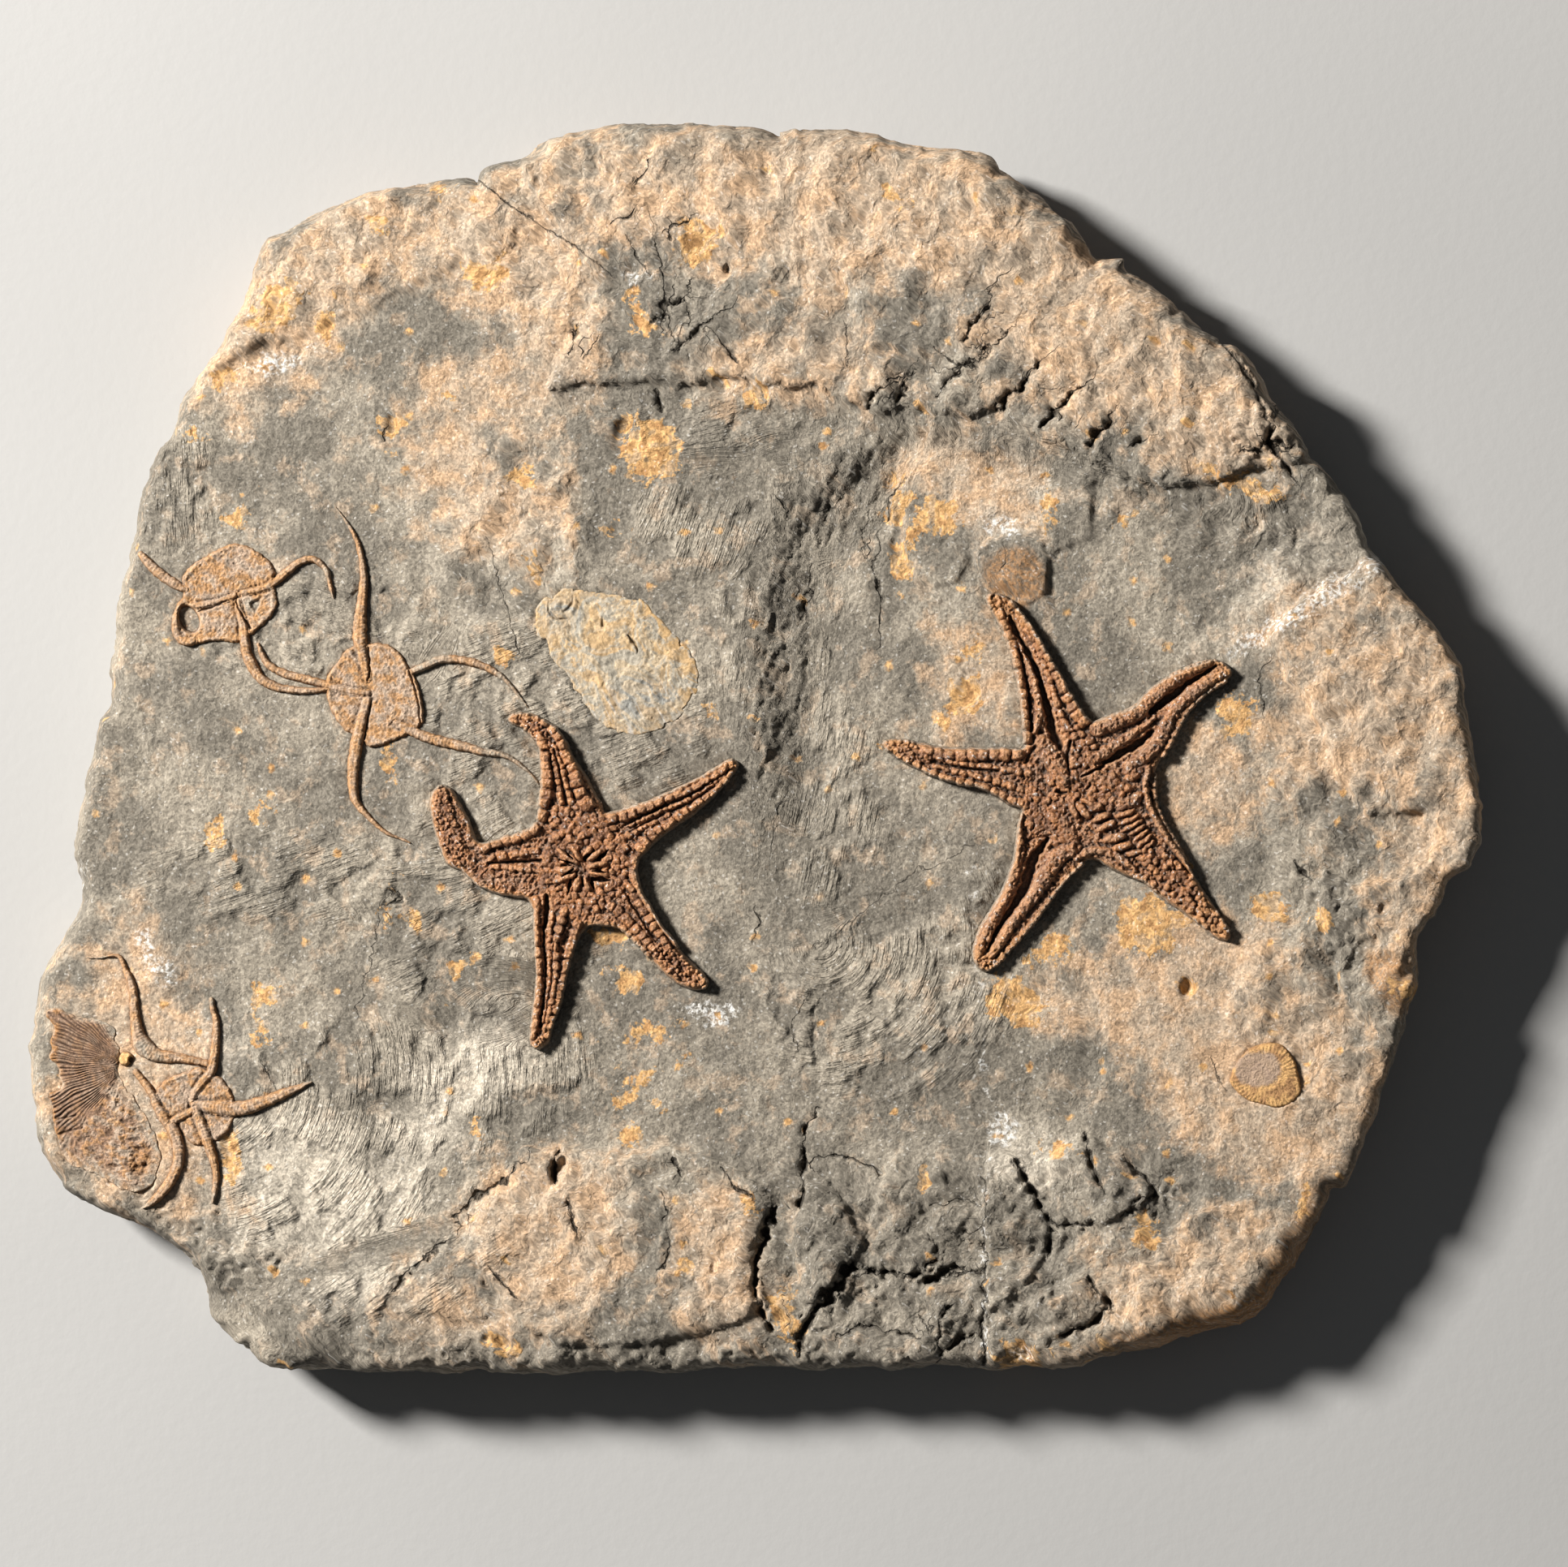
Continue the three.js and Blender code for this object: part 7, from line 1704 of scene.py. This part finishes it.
def starfish_finish(looks):
    """Red-brown plates with painted highlights on the crests, painted shade in the crevices, dusty hollows, orange
    edges and small painted glints.
    """
    f = Finish("Red-brown plates")
    f.shader.inputs["Specular IOR Level"].default_value = 0.6
    crest, tone = f.value("crest"), f.value("tone")
    fine = f.noise(0.7, 3, 0.65)
    cloud = f.noise(5, 5, 0.7)
    chips = f.chips(1.1, 0.25)
    colour = f.mix(f.step(f.math("MULTIPLY_ADD", tone, 0.17, cloud), 0.32, 0.68),
                   tuple(looks.plate_dark), tuple(looks.plate))
    # Painted highlight: a lighter colour on the plates' crests.
    colour = f.mix(f.step(crest, 0.05, 0.6, 0, 0.6), colour, tuple(looks.plate_light))
    dust = f.math("MULTIPLY", f.value("dust"), f.step(f.noise(2.4, 5, 0.7), 0.44, 0.6))
    colour = f.mix(f.math("MULTIPLY", dust, 0.55), colour, tuple(looks.dust))
    colour = f.mix(f.math("MULTIPLY", f.value("edge_tint"), f.step(cloud, 0.3, 0.6, 0.2, 0.85)), colour,
                   tuple(looks.plate_edge))
    # Painted shade: near-black in the crevices between plates.
    colour = f.mix(f.step(crest, -0.55, -0.06, 0.9, 0), colour, tuple(looks.crevice))
    colour = f.mix(f.math("MULTIPLY", f.value("skirt"), f.step(f.noise(1.6, 4, 0.7), 0.36, 0.6, 0.2, 0.9)),
                   colour, tuple(looks.warm_grey))
    # Painted glints: a few small chalk-white specks on the crests.
    glint = f.math("MULTIPLY", f.step(f.chips(0.5), 0.965, 0.975), f.step(crest, -0.05, 0.2))
    colour = f.mix(f.math("MULTIPLY", glint, 0.5), colour, tuple(looks.chalk))
    colour = f.shade(colour, f.math("MULTIPLY", f.step(fine, 0.3, 0.7, 0.66, 1.28), f.step(chips, 0, 1, 0.85, 1.15)))
    relief = f.math("MULTIPLY_ADD", f.noise(1.6, 4, 0.62), 0.5, f.math("MULTIPLY", fine, 0.22))
    relief = f.math("MULTIPLY_ADD", chips, 0.14, relief)
    return f.done(colour, f.bump(relief, 1.0), f.step(chips, 0, 1, 0.72, 0.3))


def brittle_finish(looks):
    """Orange-tan discs and arms, stone-coloured where worn, deeper orange along the rims, with painted highlights on
    the crests and painted shade in the crevices.
    """
    f = Finish("Orange-tan plates")
    f.shader.inputs["Specular IOR Level"].default_value = 0.3
    sand = f.chips(0.6)
    cloud = f.noise(4.5, 4, 0.66)
    patch = f.noise(1.9, 4, 0.66)
    colour = f.mix(f.step(cloud, 0.4, 0.6), tuple(looks.brittle), tuple(looks.brittle_pink))
    colour = f.mix(f.math("MULTIPLY", f.value("edge_tint"), f.step(patch, 0.4, 0.58, 0.1, 0.9)), colour,
                   tuple(looks.brittle_rim))
    colour = f.mix(f.step(patch, 0.52, 0.66, 0, 0.4), colour, tuple(looks.warm_grey))
    # Painted highlight: lighter peach on the crests.
    colour = f.mix(f.step(f.value("crest"), 0.05, 0.4, 0, 0.3), colour, tuple(looks.peach))
    colour = f.mix(f.math("MULTIPLY", f.value("worn"), f.step(patch, 0.6, 0.44, 0.45, 1)), colour,
                   tuple(looks.warm_grey))
    # Painted shade in the crevices.
    colour = f.mix(f.step(f.value("crest"), -0.4, -0.04, 0.75, 0), colour, tuple(looks.crevice))
    colour = f.shade(colour, f.step(sand, 0, 1, 0.72, 1.2))
    relief = f.math("MULTIPLY_ADD", patch, 0.5, f.math("MULTIPLY", sand, 0.1))
    relief = f.math("MULTIPLY_ADD", f.chips(1.4, 0.35), 0.14, relief)
    return f.done(colour, f.bump(relief, 1.0), f.step(sand, 0, 1, 0.95, 0.7))


def fan_finish(looks):
    """Dark brown painted shade in the grooves between the ribs, over red-brown and tan lumpy ground, with a golden
    boss and painted shade in the crevices.
    """
    f = Finish("Ribbed brown shell")
    f.shader.inputs["Specular IOR Level"].default_value = 0.3
    sand = f.chips(0.6)
    cloud = f.noise(5.5, 4, 0.66)
    patch = f.noise(2.3, 4, 0.66)
    colour = f.mix(f.step(cloud, 0.42, 0.58), tuple(looks.fan_brown), tuple(looks.brittle_pink))
    colour = f.mix(f.step(patch, 0.5, 0.6, 0, 0.8), colour, tuple(looks.brittle))
    colour = f.mix(f.step(cloud, 0.55, 0.66, 0, 0.35), colour, tuple(looks.warm_grey))
    colour = f.mix(f.math("MULTIPLY", f.value("upper"), 0.6), colour, tuple(looks.fan_brown))
    # Painted shade: dark brown laid into the grooves between the ribs.
    colour = f.mix(f.math("MULTIPLY", f.value("ribs"), 0.95), colour, tuple(looks.fan_rib))
    colour = f.mix(f.math("MULTIPLY", f.value("pit"), f.step(patch, 0.35, 0.55, 1, 0.3)), colour, tuple(looks.rust))
    colour = f.mix(f.math("MULTIPLY", f.value("blend"), f.step(patch, 0.56, 0.44, 0.45, 1)), colour,
                   f.mix(f.step(cloud, 0.42, 0.58), tuple(looks.tan), tuple(looks.warm_grey)))
    colour = f.mix(f.math("MULTIPLY", f.value("left"), f.step(patch, 0.4, 0.56, 0, 0.8)), colour, tuple(looks.rust))
    colour = f.mix(f.value("boss"), colour, tuple(looks.ochre))
    # Painted shade in the crevices.
    colour = f.mix(f.step(f.value("crest"), -0.4, -0.04, 0.8, 0), colour, tuple(looks.crevice))
    colour = f.shade(colour, f.step(sand, 0, 1, 0.7, 1.22))
    relief = f.math("MULTIPLY_ADD", patch, 0.7, f.math("MULTIPLY", sand, 0.1))
    relief = f.math("MULTIPLY_ADD", f.chips(1.5, 0.4), 0.16, relief)
    return f.done(colour, f.bump(relief, 1.0), 0.88)


def oval_finish(looks):
    """A thin cream film over the stone, with ochre swirls, blue-grey windows and pale lines, darkened in its hollows
    as painted shade.
    """
    f = Finish("Cream shell")
    f.shader.inputs["Specular IOR Level"].default_value = 0.3
    swirl = f.noise(7, 5, 0.66, 1.4)
    patch = f.noise(9, 5, 0.66, 0.8)
    sand = f.chips(0.62)
    colour = f.mix(f.step(swirl, 0.44, 0.56), tuple(looks.shell_grey), tuple(looks.shell_cream))
    colour = f.mix(f.step(patch, 0.48, 0.58, 0, 0.8), colour, tuple(looks.shell_ochre))
    colour = f.mix(f.math("MULTIPLY", f.value("blue"), f.step(swirl, 0.36, 0.56, 0.95, 0.35)), colour,
                   tuple(looks.shell_blue))
    rim = f.math("MULTIPLY", f.value("blend"), f.step(f.noise(2.6, 4, 0.7), 0.42, 0.56, 1, 0.1))
    colour = f.mix(rim, colour, tuple(looks.warm_grey))
    colour = f.mix(f.math("MULTIPLY", f.value("rim"), f.step(swirl, 0.44, 0.52)), colour, tuple(looks.shell_ochre))
    colour = f.mix(f.math("MULTIPLY", f.value("lines"), f.step(patch, 0.42, 0.6, 0.15, 0.5)), colour,
                   tuple(looks.chalk))
    # Painted shade: darker in the shell's hollows, by the crest value.
    colour = f.shade(colour, f.math("MULTIPLY", f.step(sand, 0, 1, 0.82, 1.15),
                                    f.step(f.value("crest"), -0.25, 0.05, 0.62, 1.0)))
    relief = f.math("MULTIPLY_ADD", f.noise(1.4, 5, 0.62), 0.35, f.math("MULTIPLY", sand, 0.07))
    relief = f.math("MULTIPLY_ADD", f.chips(3.2, 1.0), 0.16, relief)
    return f.done(colour, f.bump(relief, 1.0), 0.75)


def round_finish(looks):
    """Yellow-ochre shell with a mauve-grey middle and painted shade in its crevices."""
    f = Finish("Ochre shell")
    f.shader.inputs["Specular IOR Level"].default_value = 0.3
    fine = f.noise(0.5, 3, 0.6)
    colour = f.mix(f.step(f.noise(3, 4, 0.6), 0.35, 0.65), tuple(looks.ochre), tuple(looks.brittle))
    middle = f.stain("middle", 2.6, 2.5, -0.4, 0.8)
    colour = f.mix(f.math("MULTIPLY", middle, 0.85), colour, tuple(looks.mauve))
    # Painted shade in the crevices.
    colour = f.mix(f.step(f.value("crest"), -0.3, -0.05, 0.5, 0), colour, tuple(looks.crevice))
    colour = f.shade(colour, f.step(fine, 0.25, 0.75, 0.76, 1.22))
    relief = f.math("MULTIPLY_ADD", f.noise(1.3, 5, 0.7), 0.8, f.math("MULTIPLY", f.chips(0.6), 0.12))
    return f.done(colour, f.bump(relief, 1.0), 0.88)


# ---- settings -----------------------------------------------------------------------------------------

def colour_setting(name, description, default):
    return FloatVectorProperty(name=name, description=description, default=default, subtype="COLOR",
                               size=3, min=0, max=1)


class SlabSettings(bpy.types.PropertyGroup):
    """Sizes and colours of the slab and its fossils."""

    starfish_rise: FloatProperty(name="Starfish relief", description="Height of the starfish above the face",
                                 default=0.0044, min=0.002, max=0.0048, unit="LENGTH", precision=4)
    brittle_rise: FloatProperty(name="Brittle star relief", description="Height of the brittle stars' arms",
                                default=0.0013, min=0.0005, max=0.002, unit="LENGTH", precision=4)
    grey: colour_setting("Grey stone", "Cool parts of the stone", (0.215, 0.19, 0.152))
    warm_grey: colour_setting("Warm stone", "Warm parts of the stone", (0.35, 0.305, 0.24))
    tan: colour_setting("Tan ground", "Broad warm stains", (0.53, 0.395, 0.275))
    ochre: colour_setting("Ochre", "Sharp iron stains", (0.76, 0.45, 0.185))
    pale: colour_setting("Pale ground", "Scraped pale stone", (0.68, 0.60, 0.485))
    # The white crust, also used for the painted glints on sand grains and starfish plates.
    chalk: colour_setting("Chalk", "White crust", (0.80, 0.79, 0.76))
    plate: colour_setting("Starfish plates", "Main colour of the plates", (0.36, 0.155, 0.062))
    plate_dark: colour_setting("Dark plates", "Darkest plates", (0.18, 0.078, 0.036))
    # Painted highlight: the lighter colour laid on the plates' crests.
    plate_light: colour_setting("Plate crests", "Worn crests", (0.54, 0.28, 0.135))
    plate_edge: colour_setting("Plate edges", "Orange rims and tips", (0.46, 0.23, 0.09))
    # Painted shade: the near-black laid into the crevices between plates and in the fossils' hollows.
    crevice: colour_setting("Crevices", "Dark ground between plates", (0.04, 0.022, 0.013))
    dust: colour_setting("Dust", "Pinkish dust in hollows", (0.37, 0.275, 0.20))
    brittle: colour_setting("Brittle stars", "Main colour of the brittle stars", (0.43, 0.235, 0.105))
    brittle_pink: colour_setting("Worn discs", "Pinkish worn parts", (0.42, 0.305, 0.22))
    brittle_rim: colour_setting("Disc rims", "Deep orange rims", (0.33, 0.155, 0.055))
    # Peach ground on the stone, and the painted highlight on the brittle stars' crests.
    peach: colour_setting("Peach ground", "Orange warm ground", (0.60, 0.40, 0.245))
    rust: colour_setting("Rust", "Brown-orange iron stains", (0.40, 0.20, 0.075))
    fan_brown: colour_setting("Fan ground", "Red-brown ground of the fan", (0.27, 0.165, 0.105))
    # Painted shade: the dark brown laid into the grooves between the fan's ribs.
    fan_rib: colour_setting("Fan ribs", "Dark brown of the ribs", (0.10, 0.055, 0.035))
    shell_cream: colour_setting("Shell cream", "Light parts of the oval shell", (0.52, 0.405, 0.265))
    shell_ochre: colour_setting("Shell ochre", "Warm parts of the oval shell", (0.53, 0.345, 0.165))
    shell_blue: colour_setting("Shell blue-grey", "Cool parts of the oval shell", (0.28, 0.275, 0.25))
    shell_grey: colour_setting("Shell grey", "Thin parts of the oval shell", (0.40, 0.355, 0.28))
    # Painted shade: the dark colour laid into cracks, chisel marks and the torn trench.
    deep: colour_setting("Deep stone", "Cracks and torn ground", (0.09, 0.076, 0.058))
    mauve: colour_setting("Mauve", "Middle of the round shell", (0.42, 0.31, 0.235))


class StageSettings(bpy.types.PropertyGroup):
    """The floor, the lights and the camera."""

    floor: colour_setting("Floor", "Colour of the plain floor", (0.42, 0.415, 0.405))
    key_power: FloatProperty(name="Key light", description="Strength of the main light", default=128.0, min=0,
                             unit="POWER")
    key_bearing: FloatProperty(name="Key bearing", description="Where the main light comes from, from +X",
                               default=math.radians(152), subtype="ANGLE")
    key_height: FloatProperty(name="Key height", description="How high the main light stands",
                              default=math.radians(34), subtype="ANGLE")
    key_size: FloatProperty(name="Key size", description="Width of the main light", default=0.36,
                            unit="LENGTH")
    fill: FloatProperty(name="Fill light", description="Strength of the light from all round", default=0.075,
                        min=0)
    view_width: FloatProperty(name="View width", description="How much of the slab's plane is in view",
                              default=0.3864, unit="LENGTH")
    lens: FloatProperty(name="Lens", description="Focal length in millimetres", default=150.0, min=20)


# ---- operators ----------------------------------------------------------------------------------------

def stop_unless(found, problem):
    if not found:
        raise RuntimeError(problem)


class FOSSIL_OT_stone(bpy.types.Operator):
    """Build the slab of stone with its plates, marks and cracks"""

    bl_idname = "fossil_slab.stone"
    bl_label = "Build the stone"

    def execute(self, context):
        looks = context.scene.fossil_slab
        edge, inner = slab_points()
        n = len(edge)
        x, y = np.concatenate([edge, inner]).T
        height, _ = stone_height(x, y)
        cut, *_ = seats(x, y)
        depth_in = inside_by(x, y, edge)
        depth_in[:n] = 0
        z = height - cut - edge_drop(x, y, depth_in)
        z = np.minimum(z, FOSSIL_TOP - 0.6)
        triangles = flat_cap(edge, inner)
        stop_unless(len(triangles) > n, "the face of the slab came out empty")
        _, widest, worn, reach, run = slab_edge()
        rings, number = [np.stack([x, y, z], 1)], [np.arange(n)]
        values = stone_marks(x, y, depth_in)
        values = {key: [v] for key, v in values.items()}
        count = len(x)
        levels = 10
        for k in range(1, levels + 1):
            share = k / levels
            low = z[:n] * (1 - share)
            inset = np.interp(low, [0, 3, 8, 14, 19, 24], [1.8, 0.7, 0.1, 0.0, 0.1, 0.3])
            slipped = edge_wear(run + 5 * share, 1.3 * (FACE - low))
            inset = inset + worn + (slipped - worn) * ease(share, 0.05, 0.3)
            inset = inset + 0.8 * np.clip(grain(run, low * 2.2, 6, 84, 3), 0, 1) * ease(np.abs(low - 12), 0.5, 3)
            inset = inset + 0.7 * np.abs(np.sin(low * 1.7 + waves(run, 0 * run, 30, 85))) * ease(18 - low, 0, 4)
            ring = np.column_stack([widest * (1 - inset / reach)[:, None], low])
            ring[:, 0] = np.clip(ring[:, 0], -180, 180)
            ring[:, 1] = np.clip(ring[:, 1], -155, 155)
            rings.append(ring)
            number.append(np.arange(count, count + n))
            count += n
            for key, v in values.items():
                plain = {"rough": 1.0, "stroke": 0.0, "trench": 0.0}.get(key)
                v.append(v[0][:n] if plain is None else np.full(n, plain))
        sides = []
        for upper, lower in zip(number, number[1:]):
            ahead, below_ahead = np.roll(upper, -1), np.roll(lower, -1)
            sides.append(np.stack([upper, below_ahead, lower], 1))
            sides.append(np.stack([upper, ahead, below_ahead], 1))
        underside = flat_cap(rings[-1][:, :2], [])[:, ::-1] + (count - n)
        smooth = np.arange(len(triangles) + len(underside) + sum(map(len, sides))) < len(triangles)
        triangles = np.concatenate([triangles, *sides, underside])
        values = {key: np.concatenate(v) for key, v in values.items()}
        piece = make_piece("slab_stone", "slab", np.vstack(rings), triangles, values,
                           stone_finish(looks), smooth)
        face_outwards(piece)
        return {"FINISHED"}


def face_outwards(piece):
    """Turns a closed piece right side out if it came out inside out."""
    mesh = piece.data
    corners = np.empty(len(mesh.loops), np.int32)
    mesh.loops.foreach_get("vertex_index", corners)
    points = np.empty(len(mesh.vertices) * 3, np.float32)
    mesh.vertices.foreach_get("co", points)
    a, b, c = (points.reshape(-1, 3).astype(float)[corners.reshape(-1, 3)[:, k]] for k in range(3))
    if np.einsum("ij,ij->i", a, np.cross(b, c)).sum() < 0:
        mesh.flip_normals()


class FOSSIL_OT_starfish(bpy.types.Operator):
    """Build the two starfish, plate by plate"""

    bl_idname = "fossil_slab.starfish"
    bl_label = "Build the starfish"

    def execute(self, context):
        finish = starfish_finish(context.scene.fossil_slab)
        for star in (LEFT_STARFISH, RIGHT_STARFISH):
            relief = starfish_relief(star["node"])
            bare = 1 - relief.plate
            hollow = ease(-relief.crest, 0.05, 0.5)
            values = {
                "crest": relief.crest, "tone": relief.tone, "skirt": 1 - ease(relief.edge, 0.25, 0.85),
                "dust": np.clip(0.55 * bare + 0.35 * hollow, 0, 1),
                "edge_tint": np.clip(0.5 * ease(-relief.edge, -2.0, -0.6) + 0.8 * ease(relief.out, 36, 48), 0, 1),
            }
            piece = place_relief(star["node"], relief, 22.3, values, finish)
            face_outwards(piece)
        return {"FINISHED"}


class FOSSIL_OT_brittle_stars(bpy.types.Operator):
    """Build the three brittle stars"""

    bl_idname = "fossil_slab.brittle_stars"
    bl_label = "Build the brittle stars"

    def execute(self, context):
        finish = brittle_finish(context.scene.fossil_slab)
        for star in (UPPER_BRITTLE_STAR, MIDDLE_BRITTLE_STAR, LOWER_BRITTLE_STAR):
            relief = brittle_relief(star["node"])
            values = {
                "crest": relief.crest, "worn": relief.worn,
                "edge_tint": np.clip(ease(-relief.edge, -1.1, -0.1) + 0.35 * relief.arm, 0, 1),
            }
            piece = place_relief(star["node"], relief, 23.7, values, finish)
            face_outwards(piece)
        return {"FINISHED"}


class FOSSIL_OT_fan(bpy.types.Operator):
    """Build the ribbed fan and its boss"""

    bl_idname = "fossil_slab.fan"
    bl_label = "Build the fan"

    def execute(self, context):
        relief = fan_relief()
        values = {
            "crest": relief.crest, "ribs": relief.ribs, "boss": relief.boss, "upper": relief.upper,
            "pit": relief.pit, "blend": relief.blend * (relief.boss < 0.1),
            "left": ease(-relief.x, 169.5, 172) * ease(-relief.edge, -2.2, -0.4),
        }
        piece = place_relief("fan_fossil", relief, 23.7, values, fan_finish(context.scene.fossil_slab))
        face_outwards(piece)
        return {"FINISHED"}


class FOSSIL_OT_shells(bpy.types.Operator):
    """Build the oval shell and the round shell"""

    bl_idname = "fossil_slab.shells"
    bl_label = "Build the shells"

    def execute(self, context):
        looks = context.scene.fossil_slab
        relief = shell_relief("oval")
        x, y = relief.x, relief.y
        (bx, by), (lx, ly) = from_sheet(OVAL, [(440, 420), (1050, 1050)])
        blue = np.maximum(ease(-np.hypot((x - bx) / 6.5, (y - by) / 7.5), -1, -0.4),
                          ease(-np.hypot((x - lx) / 11, (y - ly) / 8.5), -1, -0.4))
        across = x * 0.9 + y * 0.42 + 1.2 * waves(x, y, 16, 54)
        spread = 3.1 + 0.7 * waves(across, 0 * across, 6, 98)
        lines = np.clip(np.sin(across * math.tau / spread) - 0.88, 0, 1) * 8
        lines = np.clip(lines, 0, 1) * ease(-y, -26, -8) * ease(waves(x, y, 6, 99), -0.5, 0.2)
        right = ease(x * 0.86 + y * 0.5, -12, -6) * ease(-relief.edge, -3.2, -1.4)
        values = {
            "crest": relief.crest, "blue": blue, "lines": lines, "blend": relief.blend,
            "rim": np.maximum(right, 0.4 * ease(-relief.edge, -2.2, -1.2)),
        }
        piece = place_relief("oval_shell", relief, 23.7, values, oval_finish(looks))
        face_outwards(piece)
        relief = shell_relief("round")
        (cx, cy), = from_sheet(ROUND, [(720, 700)])
        middle = (1 - np.hypot((relief.x - cx) / 6.0, (relief.y - cy) / 4.6)) * 4.6
        values = {"crest": relief.crest, "middle": middle}
        piece = place_relief("round_shell", relief, 23.7, values, round_finish(looks))
        face_outwards(piece)
        return {"FINISHED"}


class FOSSIL_OT_stage(bpy.types.Operator):
    """Set out the floor, the lights and the camera"""

    bl_idname = "fossil_slab.stage"
    bl_label = "Set the stage"

    def execute(self, context):
        scene, stage = context.scene, context.scene.fossil_stage
        collection = scene.collection
        mesh = bpy.data.meshes.new("floor")
        half = 3.0
        mesh.from_pydata([(-half, -half, 0), (half, -half, 0), (half, half, 0), (-half, half, 0)], [], [(0, 1, 2, 3)])
        floor = bpy.data.objects.new("floor", mesh)
        f = Finish("Plain floor")
        f.shader.inputs["Specular IOR Level"].default_value = 0.2
        tone = f.mix(f.step(f.noise(180, 2), 0.3, 0.7), tuple(stage.floor), tuple(c * 0.97 for c in stage.floor))
        mesh.materials.append(f.done(tone, f.bump(f.noise(3, 3), 0.05), 0.9))
        collection.objects.link(floor)
        middle = Vector((0.0, 0.0, FACE * MM))
        away = 2.2
        across = away * math.cos(stage.key_height)
        lamp = bpy.data.lights.new("key", "AREA")
        lamp.energy, lamp.size, lamp.color = stage.key_power, stage.key_size, (1.0, 0.975, 0.94)
        key = bpy.data.objects.new("key", lamp)
        key.location = middle + Vector((across * math.cos(stage.key_bearing), across * math.sin(stage.key_bearing),
                                        away * math.sin(stage.key_height)))
        key.rotation_euler = (middle - key.location).to_track_quat("-Z", "Y").to_euler()
        collection.objects.link(key)
        world = bpy.data.worlds.new("studio")
        world.use_nodes = True
        world.node_tree.nodes["Background"].inputs["Color"].default_value = (0.92, 0.96, 1.0, 1)
        world.node_tree.nodes["Background"].inputs["Strength"].default_value = stage.fill
        scene.world = world
        view = bpy.data.cameras.new("camera")
        view.sensor_width, view.lens = 36.0, stage.lens
        away = stage.view_width * stage.lens / view.sensor_width
        camera = bpy.data.objects.new("camera", view)
        camera.location = (0.007, -0.009, 0.021 + away)
        view.clip_start, view.clip_end = 0.05, 20
        collection.objects.link(camera)
        scene.camera = camera
        scene.view_settings.view_transform = "Standard"
        return {"FINISHED"}


class FOSSIL_PT_panel(bpy.types.Panel):
    """Lists the steps that build the slab"""

    bl_idname = "FOSSIL_PT_panel"
    bl_label = "Fossil slab"
    bl_space_type = "VIEW_3D"
    bl_region_type = "UI"
    bl_category = "Fossil slab"

    def draw(self, context):
        for settings in (context.scene.fossil_slab, context.scene.fossil_stage):
            column = self.layout.column(align=True)
            for name in settings.__annotations__:
                column.prop(settings, name)
        for step in STEPS:
            self.layout.operator(step.bl_idname)


STEPS = (FOSSIL_OT_stone, FOSSIL_OT_starfish, FOSSIL_OT_brittle_stars, FOSSIL_OT_fan, FOSSIL_OT_shells,
         FOSSIL_OT_stage)
CLASSES = (SlabSettings, StageSettings, *STEPS, FOSSIL_PT_panel)


def register():
    for cls in CLASSES:
        bpy.utils.register_class(cls)
    bpy.types.Scene.fossil_slab = PointerProperty(type=SlabSettings)
    bpy.types.Scene.fossil_stage = PointerProperty(type=StageSettings)


def unregister():
    del bpy.types.Scene.fossil_stage
    del bpy.types.Scene.fossil_slab
    for cls in reversed(CLASSES):
        bpy.utils.unregister_class(cls)


def main():
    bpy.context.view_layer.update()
    register()
    bpy.ops.fossil_slab.stone()
    bpy.ops.fossil_slab.starfish()
    bpy.ops.fossil_slab.brittle_stars()
    bpy.ops.fossil_slab.fan()
    bpy.ops.fossil_slab.shells()
    bpy.ops.fossil_slab.stage()


if __name__ == "__main__":
    main()
